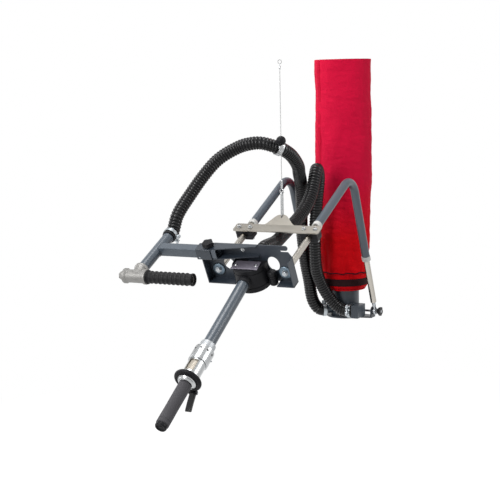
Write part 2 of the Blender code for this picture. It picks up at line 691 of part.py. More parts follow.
def build_spreader(finish, face):
    """The two split pipe clamps on the front rods, the spreader plate and its bolts."""
    half = CLAMP_HEIGHT / 2
    bolt_x = [side * ARM_SPACING / 2 + step * CLAMP_BOLT_OFFSET for side in (-1, 1) for step in (-1, 1)]
    low_z = -CLAMP_BACK - CLAMP_DEPTH / 2
    high_z = -CLAMP_BACK + CLAMP_DEPTH / 2
    for label, side in (("left", -1), ("right", 1)):
        x = side * ARM_SPACING / 2
        clamp = box(f"pipe_clamp_{label}", (x - CLAMP_WIDTH / 2, -half, low_z), (x + CLAMP_WIDTH / 2, half, high_z),
                    finish.black_plastic, face)
        bevel(clamp, 0.003)
        cut(clamp, box(f"clamp_split_{label}", (x, -SPLIT / 2, low_z - 0.01), (x + CLAMP_WIDTH, SPLIT / 2, high_z + 0.01),
                       None, face))
        cut(clamp, lathe(f"clamp_bore_{label}", bar_profile(ROD_RADIUS + FIT, low_z - 0.01, high_z + 0.01), None, face,
                         20, location=(x, 0, 0)))
    holes = bmesh.new()
    for x in bolt_x:
        add_lathe(holes, bar_profile(0.003 + FIT, -0.05, 0.05), SMALL_ROUND,
                  shifted(x=x, z=-CLAMP_BACK, turn=ALONG_Y))
    drill = finished("clamp_bolt_holes", holes, None, face)
    for label in ("left", "right"):
        cut(bpy.data.objects[f"pipe_clamp_{label}"], drill)

    strip = prism("spreader_plate", rounded_rectangle(-SPREADER_WIDTH / 2, SPREADER_EDGE, SPREADER_WIDTH / 2,
                  SPREADER_EDGE + SPREADER_DEPTH, 0.004, 2), 0, SPREADER_THICKNESS, finish.stainless, face,
                  Matrix(((1, 0, 0, 0), (0, 0, 1, SPREADER_SEAT), (0, 1, 0, 0), (0, 0, 0, 1))))
    overlap = 0.002
    waist = HUMP_HALF_WIDTH * 0.52
    hump = [
        (HUMP_HALF_WIDTH, -overlap), (HUMP_HALF_WIDTH, 0), (waist, HUMP_DEPTH * 0.42),
        (HUMP_TIP_HALF_WIDTH, HUMP_DEPTH * 0.94), (0, HUMP_DEPTH), (-HUMP_TIP_HALF_WIDTH, HUMP_DEPTH * 0.94),
        (-waist, HUMP_DEPTH * 0.42), (-HUMP_HALF_WIDTH, 0), (-HUMP_HALF_WIDTH, -overlap),
    ]
    join(strip, prism("spreader_hump", hump, 0, SPREADER_THICKNESS, None, face, HUMP_PLACE))
    eye = bmesh.new()
    hole_place = HUMP_PLACE @ Matrix.Translation((0, HUMP_DEPTH - EYE_TO_TIP, 0))
    add_lathe(eye, bar_profile(EYE_RADIUS, -0.02, 0.03), 16, hole_place)
    cut(strip, finished("spreader_eye", eye, None, face))
    cut(strip, drill)

    plate_top = SPREADER_SEAT + SPREADER_THICKNESS
    head_foot = plate_top + FIT + 0.0015
    shank = 0.003
    profile = [
        (0, head_foot + 0.007), (0.005, head_foot + 0.007), (0.005, head_foot), (0.0075, head_foot),
        (0.0075, plate_top + FIT), (shank, plate_top + FIT), (shank, -half - 0.0075), (0, -half - 0.0075),
    ]
    for number, x in enumerate(bolt_x, 1):
        bolt = bmesh.new()
        upright = shifted(x=x, z=-CLAMP_BACK, turn=ALONG_Y)
        add_lathe(bolt, profile, 16, upright)
        fastener = finished(f"spreader_bolt_{number}", bolt, finish.polished, face)
        nut = bmesh.new()
        add_lathe(nut, bar_profile(0.0055, -half - 0.0055, -half - FIT), 6, upright)
        join(fastener, finished(f"spreader_nut_{number}", nut, None, face))


def build_bracket(finish, face):
    """The folded sheet bracket with its open channel for the side arm, cut-outs and flanges."""
    notch = 0.0055
    outline = [
        (BRACKET_LEFT, BRACKET_BOTTOM), (BRACKET_RIGHT, BRACKET_BOTTOM), (BRACKET_RIGHT, RIGHT_FLANGE_TOP),
        (BRACKET_RIGHT - 0.010, BRACKET_TOP - 0.021), (BRACKET_RIGHT - 0.031, BRACKET_TOP - 0.021),
        (BRACKET_RIGHT - 0.031, BRACKET_TOP - 0.021 + notch), (BRACKET_RIGHT - 0.014, BRACKET_TOP - 0.021 + notch),
        (BRACKET_RIGHT - 0.009, BRACKET_TOP - 0.010), (BRACKET_RIGHT - 0.010, BRACKET_TOP - 0.004),
        (BRACKET_RIGHT - 0.015, BRACKET_TOP), (BRACKET_LEFT, BRACKET_TOP),
    ]
    bracket = prism("bracket", outline, -SHEET, 0, finish.bracket_paint, face)
    flanges = bmesh.new()
    add_box(flanges, (BRACKET_LEFT, BRACKET_BOTTOM, -SHEET), (BRACKET_LEFT + SHEET, LEFT_FLANGE_TOP, FLANGE_DEPTH))
    right = BRACKET_RIGHT - SHEET
    add_box(flanges, (right, BRACKET_BOTTOM, -SHEET), (BRACKET_RIGHT, RIGHT_FLANGE_TOP, FLANGE_DEPTH))
    join(bracket, finished("side_flanges", flanges, None, face, smooth=False))
    hub_gap = HUB_HALF_WIDTH + 0.002
    floor = bmesh.new()
    add_box(floor, (BRACKET_LEFT, BRACKET_BOTTOM, -SHEET), (HANDLE_X - hub_gap, BRACKET_BOTTOM + SHEET, FLANGE_DEPTH))
    add_box(floor, (VENT_X + 0.0145, BRACKET_BOTTOM, -SHEET), (BRACKET_RIGHT, BRACKET_BOTTOM + SHEET, FLANGE_DEPTH))
    join(bracket, finished("bottom_flanges", floor, None, face, smooth=False))

    channel_half = SIDE_ARM_SIZE / 2 + RUN
    flat = Matrix(((1, 0, 0, 0), (0, 0, 1, 0), (0, 1, 0, 0), (0, 0, 0, 1)))
    web = [
        (SLEEVE_BLOCK_RIGHT + FIT, -SHEET), (SLEEVE_BLOCK_RIGHT + FIT, FLANGE_DEPTH + 0.004),
        (CHANNEL_END, CHANNEL_END_DEPTH), (CHANNEL_END, -SHEET),
    ]
    for label, low in (("lower", SIDE_ARM_HEIGHT - channel_half - SHEET), ("upper", SIDE_ARM_HEIGHT + channel_half)):
        join(bracket, prism(f"channel_{label}", web, low, low + SHEET, None, face, flat))

    openings = (("left_cutout", -0.071, 0.020, 0.0175, 0.020), ("right_cutout", 0.078, 0.028, 0.0190, 0.0245))
    for label, x, height, radius, tall in openings:
        cut(bracket, prism(label, circle(radius, ROUND, (x, height), tall / radius), -0.02, 0.02, None, face))
    holes = bmesh.new()
    for side in (-1, 1):
        add_lathe(holes, bar_profile(PIN_RADIUS + FIT, -0.02, 0.02), SMALL_ROUND,
                  shifted(x=side * ARM_SPACING / 2))
    add_lathe(holes, bar_profile(STUB_RADIUS - 0.001 + FIT, -0.02, 0.02), ROUND, shifted(x=HANDLE_X, y=HUB_AXIS_HEIGHT))
    cut(bracket, finished("bracket_holes", holes, None, face))

    block_half = SIDE_ARM_SIZE / 2 + RUN + SLEEVE_BLOCK_WALL
    inner_half = SIDE_ARM_SIZE / 2 + FIT
    block = bmesh.new()
    depth = SIDE_ARM_DEPTH
    add_box(block, (SLEEVE_BLOCK_LEFT, SIDE_ARM_HEIGHT - block_half, depth - block_half),
            (SLEEVE_BLOCK_RIGHT, SIDE_ARM_HEIGHT + block_half, depth + block_half))
    sleeve = finished("arm_sleeve", block, finish.bracket_paint, face, smooth=False)
    bevel(sleeve, 0.0012)
    bore = bmesh.new()
    add_box(bore, (SLEEVE_BLOCK_LEFT - 0.01, SIDE_ARM_HEIGHT - inner_half, depth - inner_half),
            (SLEEVE_BLOCK_RIGHT + 0.01, SIDE_ARM_HEIGHT + inner_half, depth + inner_half))
    cut(sleeve, finished("arm_sleeve_bore", bore, None, face, smooth=False))
    tapped = bmesh.new()
    add_lathe(tapped, bar_profile(0.003 + FIT, SIDE_ARM_HEIGHT, SIDE_ARM_HEIGHT + 0.05), SMALL_ROUND,
              shifted(x=ARM_KNOB_X, z=depth, turn=ALONG_Y))
    cut(sleeve, finished("arm_sleeve_thread", tapped, None, face))

    knob_foot = SIDE_ARM_HEIGHT + block_half + FIT
    knob = star_knob("arm_lock_knob", 0.0175, 0.012, 0.008, 0.004, 0, finish.black_plastic, face,
                     (ARM_KNOB_X, knob_foot, depth), (math.radians(-90), 0, 0))
    tip = -(knob_foot - SIDE_ARM_HEIGHT - SIDE_ARM_SIZE / 2 - 2 * FIT)
    join(knob, lathe("arm_lock_screw", bar_profile(0.003, tip, 0.006), None, face, SMALL_ROUND,
                     location=(ARM_KNOB_X, knob_foot, depth), rotation=(math.radians(-90), 0, 0)))

    shank = [
        (0, -0.027), (PIN_RADIUS, -0.027), (PIN_RADIUS, 0.004 + FIT), (0.0098, 0.004 + FIT), (0.0098, 0.0065),
        (0.0085, 0.0105), (0, 0.0105),
    ]
    for label, side in (("left", -1), ("right", 1)):
        place = (side * ARM_SPACING / 2, 0, 0)
        lathe(f"rod_washer_{label}", tube_profile(0.0200, PIN_RADIUS + FIT, FIT, 0.004), finish.frame_paint, face,
              location=place)
        lathe(f"rod_bolt_{label}", shank, finish.zinc, face, SMALL_ROUND, location=place)


def build_hub(finish, face, handle):
    """The rubber-mounted hub that holds the handle tube, its cover, the hose stub and vent."""
    outline = [(-HUB_HALF_WIDTH, FIT), (HUB_HALF_WIDTH, FIT)]
    for step in range(13):
        angle = math.pi * step / 12
        outline.append((HUB_HALF_WIDTH * math.cos(angle), HUB_FLAT_DEPTH + HUB_HALF_WIDTH * math.sin(angle)))
    flat = Matrix(((1, 0, 0, HANDLE_X), (0, 0, 1, 0), (0, 1, 0, 0), (0, 0, 0, 1)))
    hub = prism("hub", outline, HUB_BOTTOM, HUB_TOP, finish.black_rubber, face, flat)
    bevel(hub, 0.004)
    cut(hub, lathe("hub_bore", bar_profile(HANDLE_TUBE_RADIUS + FIT, -HUB_TUBE_DEPTH, 0.1), None, handle))
    socket = lathe("hub_socket_bore", bar_profile(STUB_RADIUS - 0.001 + FIT, -0.02, 0.012), None, face,
                   location=(HANDLE_X, HUB_AXIS_HEIGHT, 0))
    cut(hub, socket)

    cover_low = 0.012
    cover_high = 0.052
    lower_half = 0.044
    upper_half = 0.040
    cover_outline = [(-upper_half, cover_low), (upper_half, cover_low), (lower_half, cover_high),
                     (-lower_half, cover_high)]
    cover = prism("hub_cover", cover_outline, HUB_TOP + FIT, HUB_TOP + 0.0045, finish.cover_paint, face, flat)
    bevel(cover, 0.001)
    stub = [(STUB_RADIUS - STUB_WALL - 0.001, -HUB_STUB_LENGTH), (STUB_RADIUS, -HUB_STUB_LENGTH),
            (STUB_RADIUS, -SHEET - FIT), (STUB_RADIUS - 0.001, -SHEET - FIT), (STUB_RADIUS - 0.001, 0.010),
            (STUB_RADIUS - STUB_WALL - 0.001, 0.010)]
    lathe("hub_hose_stub", stub, finish.bracket_paint, face, location=(HANDLE_X, HUB_AXIS_HEIGHT, 0))

    vent = [(0, -0.034), (0.0105, -0.034), (0.0125, -0.032), (0.0125, 0.004), (0.0135, 0.0055), (0.0135, 0.010),
            (0.0115, 0.012), (0, 0.012)]
    vent_cap = lathe("vent_cap", vent, finish.black_plastic, face, 20, location=(VENT_X, 0, 0.0145),
                     rotation=(math.radians(-90), 0, 0))
    vent_cap["role"] = "air vent beside the hub"


def build_handle(finish, handle):
    """The handle tube, the control valve, the guard ring, the twist grip and the release lever."""
    collar_start = HANDLE_TUBE_LENGTH - 0.010
    drum_start = HANDLE_TUBE_LENGTH + 0.014
    drum_end = drum_start + 0.050
    sleeve_end = drum_end + 0.056
    guard_start = sleeve_end + FIT
    guard_end = guard_start + GUARD_THICKNESS
    boss_end = guard_end + 0.009
    grip_start = boss_end + RUN
    grip_end = grip_start + GRIP_LENGTH
    bore = HANDLE_TUBE_RADIUS - HANDLE_TUBE_WALL

    lathe("handle_tube", tube_profile(HANDLE_TUBE_RADIUS, bore, -HUB_TUBE_DEPTH + FIT, HANDLE_TUBE_LENGTH),
          finish.frame_paint, handle)
    collar = [
        (HANDLE_TUBE_RADIUS + FIT, collar_start), (VALVE_COLLAR_RADIUS - 0.001, collar_start),
        (VALVE_COLLAR_RADIUS, collar_start + 0.001), (VALVE_COLLAR_RADIUS, drum_start - FIT),
        (bore, drum_start - FIT), (bore, HANDLE_TUBE_LENGTH + FIT), (HANDLE_TUBE_RADIUS + FIT, HANDLE_TUBE_LENGTH + FIT),
    ]
    lathe("valve_collar", collar, finish.cast_aluminium, handle)

    spool_radius = VALVE_SLEEVE_RADIUS - 0.0045
    drum = [
        (bore, drum_start), (VALVE_DRUM_RADIUS - 0.0015, drum_start), (VALVE_DRUM_RADIUS, drum_start + 0.0015),
        (VALVE_DRUM_RADIUS, drum_end - 0.0015), (VALVE_DRUM_RADIUS - 0.0015, drum_end), (bore, drum_end),
    ]
    lathe("valve_drum", drum, finish.polished, handle, 24)

    sleeve_inner = spool_radius + RUN
    sleeve_profile = [
        (sleeve_inner, drum_end + FIT), (VALVE_SLEEVE_RADIUS, drum_end + FIT), (VALVE_SLEEVE_RADIUS, sleeve_end - 0.009),
        (VALVE_SLEEVE_RADIUS + 0.003, sleeve_end - 0.007), (VALVE_SLEEVE_RADIUS + 0.003, sleeve_end),
        (sleeve_inner, sleeve_end),
    ]
    valve_sleeve = lathe("valve_sleeve", sleeve_profile, finish.polished, handle, ROUND)
    window = rounded_rectangle(drum_end + 0.012, -0.009, sleeve_end - 0.014, 0.009, 0.004, 3)
    sideways = Matrix(((0, 0, 1, 0), (0, 1, 0, 0), (1, 0, 0, 0), (0, 0, 0, 1)))
    aim = Matrix.Rotation(math.radians(35), 4, "Z")
    cut(valve_sleeve, prism("valve_window", window, 0.012, 0.04, None, handle, aim @ sideways))

    spool_bore = GRIP_CORE_RADIUS - 0.003
    core_profile = [
        (spool_bore, drum_end + 2 * FIT), (spool_radius, drum_end + 2 * FIT), (spool_radius, sleeve_end - 0.004),
        (GRIP_CORE_RADIUS, sleeve_end - 0.004), (GRIP_CORE_RADIUS, grip_end - 0.004), (spool_bore, grip_end - 0.004),
    ]
    spool = lathe("valve_spool", core_profile, finish.bronze, handle)
    spool_port = bmesh.new()
    add_lathe(spool_port, bar_profile(0.0045, 0.006, 0.03), SMALL_ROUND,
              Matrix.Translation((0, 0, drum_end + 0.024)) @ aim @ ALONG_X)
    cut(spool, finished("spool_port", spool_port, None, handle))

    guard_half = GUARD_THICKNESS / 2
    guard = [(GRIP_CORE_RADIUS + RUN, guard_start), (GUARD_RADIUS - guard_half, guard_start)]
    for step in range(1, 6):
        angle = -math.pi / 2 + math.pi * step / 6
        guard.append((GUARD_RADIUS - guard_half + guard_half * math.cos(angle),
                      guard_start + guard_half + guard_half * math.sin(angle)))
    guard += [(GUARD_RADIUS - guard_half, guard_end), (GRIP_CORE_RADIUS + RUN, guard_end)]
    lathe("guard_ring", guard, finish.black_rubber, handle, 24)
    dome = [(GRIP_CORE_RADIUS + RUN, guard_end + FIT), (0.027, guard_end + FIT), (0.0265, guard_end + 0.002),
            (0.023, guard_end + 0.006), (0.0195, boss_end), (GRIP_CORE_RADIUS + RUN, boss_end)]
    lathe("grip_dome", dome, finish.polished, handle, ROUND)

    ridges = [(GRIP_CORE_RADIUS + FIT, grip_start), (GRIP_RADIUS - 0.0015, grip_start),
              (GRIP_RADIUS, grip_start + 0.002), (GRIP_RADIUS - 0.0004, grip_end - 0.003),
              (GRIP_RADIUS - 0.0015, grip_end), (GRIP_CORE_RADIUS + FIT, grip_end)]
    lathe("twist_grip", ridges, finish.grip_foam, handle)
    cap = [(0, grip_end - 0.004 + FIT), (GRIP_CORE_RADIUS - FIT, grip_end - 0.004 + FIT),
           (GRIP_CORE_RADIUS - FIT, grip_end + FIT), (GRIP_RADIUS - 0.0025, grip_end + FIT),
           (GRIP_RADIUS - 0.003, grip_end + 0.008), (GRIP_RADIUS - 0.006, grip_end + 0.0105), (0, grip_end + 0.0105)]
    lathe("grip_end_cap", cap, finish.black_rubber, handle)
    build_release_lever(finish, handle, (guard_start + guard_end) / 2)


def build_release_lever(finish, handle, along):
    """The clevis under the guard ring, the pin and the finger lever on it."""
    cheek = 0.003
    lever_half = LEVER_WIDTH / 2
    foot = GUARD_RADIUS + FIT
    clevis = bmesh.new()
    pad = (-lever_half - RUN - cheek, -foot - 0.0020, along - 0.005)
    add_box(clevis, pad, (lever_half + RUN + cheek, -foot, along + 0.005))
    mount = finished("lever_clevis", clevis, finish.black_plastic, handle, smooth=False)
    cheeks = bmesh.new()
    for side in (-1, 1):
        low, high = sorted((side * (lever_half + RUN), side * (lever_half + RUN + cheek)))
        add_box(cheeks, (low, -LEVER_PIVOT_DROP - 0.005, along - 0.005), (high, -foot - 0.0005, along + 0.005))
    join(mount, finished("lever_cheeks", cheeks, None, handle, smooth=False))
    pin = bmesh.new()
    reach = lever_half + RUN + cheek + 0.001
    place = shifted(y=-LEVER_PIVOT_DROP, z=along, turn=ALONG_X)
    add_lathe(pin, bar_profile(0.0015, -reach, reach), SMALL_ROUND, place)
    join(mount, finished("lever_pin", pin, None, handle))

    half = LEVER_THICKNESS / 2
    outline = [(-half, 0)]
    for step in range(1, 6):
        angle = math.pi + math.pi * step / 6
        outline.append((half * 0.8 * math.cos(angle), half * 0.8 * math.sin(angle)))
    outline += [(half, 0), (half * 0.9, LEVER_LENGTH * 0.55), (half * 0.75, LEVER_LENGTH - half)]
    for step in range(1, 6):
        angle = math.pi * step / 6
        outline.append((half * 0.75 * math.cos(angle), LEVER_LENGTH - half + half * math.sin(angle)))
    outline += [(-half * 0.75, LEVER_LENGTH - half), (-half * 0.9, LEVER_LENGTH * 0.55)]
    upright = Matrix(((0, 0, 1, 0), (1, 0, 0, 0), (0, 1, 0, 0), (0, 0, 0, 1)))
    lever = prism("release_lever", outline, -lever_half, lever_half, finish.black_plastic, handle, upright,
                  location=(0, -LEVER_PIVOT_DROP, along), rotation=turn_x(LEVER_REST))
    bevel(lever, 0.0015)
    bore = bmesh.new()
    add_lathe(bore, bar_profile(0.0015 + FIT, -0.03, 0.03), SMALL_ROUND, place)
    cut(lever, finished("lever_bore", bore, None, handle))


def build_side_arm(finish, face):
    """The square arm, its cross tube, the galvanised tee, the plug and the side grip."""
    half = SIDE_ARM_SIZE / 2
    inner = half - SIDE_ARM_WALL
    depth = SIDE_ARM_DEPTH
    left = CROSS_TUBE_X + CROSS_TUBE_RADIUS * 0.6
    arm = bmesh.new()
    add_box(arm, (left, SIDE_ARM_HEIGHT - half, depth - half), (SIDE_ARM_INNER_END, SIDE_ARM_HEIGHT + half, depth + half))
    side_arm = finished("side_arm", arm, finish.frame_paint, face, smooth=False)
    bevel(side_arm, 0.002)
    hollow = bmesh.new()
    add_box(hollow, (left - 0.01, SIDE_ARM_HEIGHT - inner, depth - inner),
            (SIDE_ARM_INNER_END + 0.01, SIDE_ARM_HEIGHT + inner, depth + inner))
    cut(side_arm, finished("side_arm_hollow", hollow, None, face, smooth=False))
    tee_centre = depth + TEE_DROP
    back = depth - CROSS_TUBE_BACK
    front = tee_centre - TEE_BRANCH_LENGTH + TEE_SOCKET
    across = {"location": (CROSS_TUBE_X, SIDE_ARM_HEIGHT, 0)}
    bore = CROSS_TUBE_RADIUS - CROSS_TUBE_WALL
    join(side_arm, lathe("cross_tube", bar_profile(CROSS_TUBE_RADIUS, back, front), None, face, **across))
    cut(side_arm, lathe("cross_tube_bore", bar_profile(bore, back - 0.01, front + 0.01), None, face, **across))

    tee = bmesh.new()
    along = shifted(x=CROSS_TUBE_X, y=SIDE_ARM_HEIGHT, z=tee_centre, turn=ALONG_X)
    bead = 0.003
    run = [
        (0, -TEE_HALF_LENGTH), (TEE_RIM_RADIUS, -TEE_HALF_LENGTH), (TEE_RIM_RADIUS, -TEE_HALF_LENGTH + TEE_RIM_LENGTH),
        (TEE_RADIUS, -TEE_HALF_LENGTH + TEE_RIM_LENGTH + bead), (TEE_RADIUS, TEE_HALF_LENGTH - TEE_RIM_LENGTH - bead),
        (TEE_RIM_RADIUS, TEE_HALF_LENGTH - TEE_RIM_LENGTH), (TEE_RIM_RADIUS, TEE_HALF_LENGTH), (0, TEE_HALF_LENGTH),
    ]
    add_lathe(tee, run, ROUND, along)
    fitting = finished("tee_fitting", tee, finish.galvanised, face)
    branch_end = tee_centre - TEE_BRANCH_LENGTH
    branch = [
        (0, tee_centre + 0.003), (TEE_BRANCH_RADIUS, tee_centre + 0.003),
        (TEE_BRANCH_RADIUS, branch_end + TEE_RIM_LENGTH + bead), (TEE_RIM_RADIUS, branch_end + TEE_RIM_LENGTH),
        (TEE_RIM_RADIUS, branch_end), (0, branch_end),
    ]
    join(fitting, lathe("tee_branch", branch, None, face, 28, rotation=(0, 0, 0.05), **across))
    grip_start = TEE_HALF_LENGTH + FIT
    grip_end = TEE_HALF_LENGTH + SIDE_GRIP_LENGTH
    nipple = bmesh.new()
    add_lathe(nipple, bar_profile(NIPPLE_RADIUS, TEE_HALF_LENGTH - 0.011, grip_end - 0.006), ROUND, along)
    join(fitting, finished("grip_nipple", nipple, None, face))
    passage = NIPPLE_RADIUS - 0.003
    socket = bar_profile(CROSS_TUBE_RADIUS + FIT, branch_end - 0.01, front + FIT)
    cut(fitting, lathe("tee_branch_bore", socket, None, face, 22, rotation=(0, 0, 0.03), **across))
    cut(fitting, lathe("tee_branch_passage", bar_profile(passage - 0.001, front - 0.004, tee_centre + 0.002), None,
                       face, 18, rotation=(0, 0, 0.02), **across))
    left_bore = bmesh.new()
    add_lathe(left_bore, bar_profile(NIPPLE_RADIUS + FIT, -TEE_HALF_LENGTH - 0.01, -TEE_HALF_LENGTH + 0.015), 22, along)
    cut(fitting, finished("tee_run_bore", left_bore, None, face))
    through = bmesh.new()
    add_lathe(through, bar_profile(passage, -TEE_HALF_LENGTH - 0.02, grip_end + 0.01), 18, along)
    cut(fitting, finished("tee_run_passage", through, None, face))

    plug_body = [(0, -TEE_HALF_LENGTH + 0.014), (NIPPLE_RADIUS, -TEE_HALF_LENGTH + 0.014),
                 (NIPPLE_RADIUS, -TEE_HALF_LENGTH - FIT), (0.0175, -TEE_HALF_LENGTH - FIT),
                 (0.0175, -TEE_HALF_LENGTH - 0.004), (0.013, -TEE_HALF_LENGTH - 0.004), (0, -TEE_HALF_LENGTH - 0.004)]
    plug = bmesh.new()
    add_lathe(plug, plug_body, ROUND, along)
    tee_plug = finished("tee_plug", plug, finish.galvanised, face)
    square = prism("tee_plug_hex", circle(0.0125, 6), -TEE_HALF_LENGTH - 0.015, -TEE_HALF_LENGTH - 0.003, None, face, along)
    join(tee_plug, square)

    grip = bmesh.new()
    ribs = [
        (NIPPLE_RADIUS + FIT, grip_end), (NIPPLE_RADIUS + FIT, grip_start), (SIDE_GRIP_RADIUS + 0.002, grip_start),
        (SIDE_GRIP_RADIUS + 0.002, grip_start + 0.004), (SIDE_GRIP_RADIUS, grip_start + 0.006),
        (SIDE_GRIP_RADIUS, grip_end - 0.002), (SIDE_GRIP_RADIUS - 0.002, grip_end),
    ]
    add_lathe(grip, ribs, ROUND, along)
    finished("side_grip", grip, finish.black_rubber, face)
    ring_clamp("side_hose_clamp", HOSE_RADIUS + CLAMP_SLACK, 0.012, finish.galvanised, face,
               (CROSS_TUBE_X, SIDE_ARM_HEIGHT, back - 0.014), (0, 0, math.radians(-30)))


def build_wire(finish, ears):
    """The balancer wire, its long link, thimble and ferrule, and the ball and clip for the hose."""
    hook_z = LINK_CENTRE.z
    link = bmesh.new()
    straight = LINK_LENGTH - LINK_WIDTH
    radius = LINK_WIDTH / 2
    path = []
    for end, start in ((straight, 0), (0, 180)):
        for step in range(7):
            angle = math.radians(start + 180 * step / 6)
            path.append(Vector((0, radius * math.cos(angle), end + radius * math.sin(angle))))
    sides = 8
    rings = []
    for index, point in enumerate(path):
        tangent = (path[(index + 1) % len(path)] - path[index - 1]).normalized()
        normal = Vector((1, 0, 0)).cross(tangent).normalized()
        ring = []
        for step in range(sides):
            angle = 2 * math.pi * step / sides
            offset = Vector((1, 0, 0)) * math.cos(angle) + normal * math.sin(angle)
            ring.append(link.verts.new(point + offset * LINK_WIRE_RADIUS))
        rings.append(ring)
    for ring, following in zip(rings, rings[1:] + rings[:1]):
        for step in range(sides):
            after = (step + 1) % sides
            link.faces.new([ring[step], ring[after], following[after], following[step]])
    finished("wire_link", link, finish.polished, ears, location=(0, WIRE_Y, hook_z))

    link_top = hook_z + straight + radius
    eye_radius = 0.0062
    eye_wire = 0.0016
    eye_centre = link_top - LINK_WIRE_RADIUS - eye_wire + eye_radius - FIT
    ferrule_low = eye_centre + eye_radius + eye_wire * 0.5
    eye = bmesh.new()
    turn = Matrix.Rotation(math.radians(90), 4, "X")
    add_torus(eye, eye_radius, eye_wire, shifted(z=eye_centre, turn=turn))
    thimble = finished("wire_thimble", eye, finish.polished, ears, location=(0, WIRE_Y, 0))
    ferrule = bar_profile(0.0034, ferrule_low, ferrule_low + 0.028, 0.0008)
    join(thimble, lathe("wire_ferrule", ferrule, None, ears, SMALL_ROUND, location=(0, WIRE_Y, 0)))

    top = EAR_DROP - 0.012
    wire_low = ferrule_low + 0.028 + FIT
    ball_low = BALL_HEIGHT - BALL_RADIUS
    wire_points = [Vector((0, WIRE_Y, wire_low)), Vector((0, WIRE_Y, top))]
    cord("balancer_wire", wire_points, WIRE_RADIUS, finish.stainless, ears, 2)
    ball_profile = []
    for step in range(9):
        angle = math.pi * step / 8
        ball_profile.append((BALL_RADIUS * math.sin(angle), BALL_HEIGHT - BALL_RADIUS * math.cos(angle)))
    ball_profile[0] = (WIRE_RADIUS + FIT, ball_low + 0.0004)
    ball_profile[-1] = (WIRE_RADIUS + FIT, BALL_HEIGHT + BALL_RADIUS - 0.0004)
    lathe("wire_ball", ball_profile, finish.black_rubber, ears, ROUND, location=(0, WIRE_Y, 0))

    clip_turn = CLIP_DIRECTION.to_track_quat("Z", "Y").to_matrix().to_4x4()
    clip_place = Matrix.Translation(CLIP_CENTRE) @ clip_turn
    clip_mesh = bmesh.new()
    band_inner = HOSE_RADIUS + CLIP_SLACK
    add_lathe(clip_mesh, tube_profile(band_inner + 0.002, band_inner, -0.008, 0.008), ROUND, clip_place)
    clip = finished("hose_clip", clip_mesh, finish.polished, ears)
    tab_top = ball_low - FIT
    to_wire = Vector((0, WIRE_Y, 0)) - Vector((CLIP_CENTRE.x, CLIP_CENTRE.y, 0))
    aim = Matrix.Translation((CLIP_CENTRE.x, CLIP_CENTRE.y, 0)) @ Matrix.Rotation(math.atan2(to_wire.y, to_wire.x), 4, "Z")
    tab_outline = rounded_rectangle(HOSE_RADIUS * 0.8, -0.009, to_wire.length + 0.009, 0.009, 0.003, 2)
    join(clip, prism("hose_clip_tab", tab_outline, tab_top - 0.008, tab_top, None, ears, aim))
    cut(clip, lathe("hose_clip_wire_hole", bar_profile(WIRE_RADIUS + FIT, tab_top - 0.04, tab_top + 0.01), None, ears,
                    SMALL_ROUND, location=(0, WIRE_Y, 0)))
    keep_hose = bmesh.new()
    add_lathe(keep_hose, bar_profile(band_inner, -0.03, 0.03), ROUND, clip_place)
    cut(clip, finished("hose_clip_bore", keep_hose, None, ears))


def add_torus(mesh_data, ring_radius, wire_radius, matrix, around=20, sides=8):
    """A closed ring of round wire."""
    rings = []
    for step in range(around):
        angle = 2 * math.pi * step / around
        ring = []
        for turn in range(sides):
            tilt = 2 * math.pi * turn / sides
            reach = ring_radius + wire_radius * math.cos(tilt)
            point = Vector((reach * math.cos(angle), reach * math.sin(angle), wire_radius * math.sin(tilt)))
            ring.append(mesh_data.verts.new(matrix @ point))
        rings.append(ring)
    for ring, following in zip(rings, rings[1:] + rings[:1]):
        for step in range(sides):
            after = (step + 1) % sides
            mesh_data.faces.new([ring[step], ring[after], following[after], following[step]])


def build_hoses(finish, ears):
    """Both corrugated hoses as plain round cords, with a clamp at each end."""
    cord("side_hose", smooth_route(HOSE_A_ROUTE, 2), HOSE_RADIUS, finish.hose_black, ears)
    cord("handle_hose", smooth_route(HOSE_B_ROUTE, 2), HOSE_RADIUS, finish.hose_black, ears)
    clamps = (("handle_hose_clamp", HOSE_B_ROUTE[0], HOSE_B_ROUTE[1], 0.011, 15),
              ("side_hose_base_clamp", HOSE_A_ROUTE[-1], HOSE_A_ROUTE[-2], 0.0075, 100))
    for name, end, inner, back, roll in clamps:
        direction = (Vector(inner) - Vector(end)).normalized()
        turn = direction.to_track_quat("Z", "Y").to_euler()
        spin = Matrix.Rotation(math.radians(roll), 4, "Z")
        rotation = (turn.to_matrix().to_4x4() @ spin).to_euler()
        ring_clamp(name, HOSE_RADIUS + CLAMP_SLACK, 0.012, finish.galvanised, ears, Vector(end) + direction * back, rotation)


# places that several pieces share
SIDE_ARM_DEPTH = SIDE_ARM_SIZE / 2 + RUN + SLEEVE_BLOCK_WALL + FIT
ARM_KNOB_X = -0.112
HUB_AXIS_HEIGHT = 0.022
HUB_AXIS_DEPTH = 0.0335
HUB_TUBE_DEPTH = 0.012
VENT_X = HANDLE_X + HUB_HALF_WIDTH + 0.014
HUB_STUB_LENGTH = 0.040
FACE_SLOPE = math.pi / 2 + ROD_SLOPE
FACE_TURN = Matrix.Rotation(FACE_SLOPE, 4, "X")
FACE_PLACE = Matrix.Translation((0, -BRACKET_REACH, BRACKET_HEIGHT)) @ FACE_TURN


SPREADER_SEAT = CLAMP_HEIGHT / 2 + FIT
SPREADER_EDGE = -CLAMP_BACK - SPREADER_DEPTH / 2
HUMP_PLACE = Matrix.Translation((0, SPREADER_SEAT, SPREADER_EDGE)) @ Matrix.Rotation(HUMP_LIFT, 4, "X") @ Matrix(
    ((1, 0, 0, 0), (0, 0, 1, 0), (0, -1, 0, 0), (0, 0, 0, 1)))
LINK_CENTRE = FACE_PLACE @ HUMP_PLACE @ Vector((0, HUMP_DEPTH - EYE_TO_TIP + LINK_WIDTH / 2, SPREADER_THICKNESS / 2))
WIRE_Y = LINK_CENTRE.y


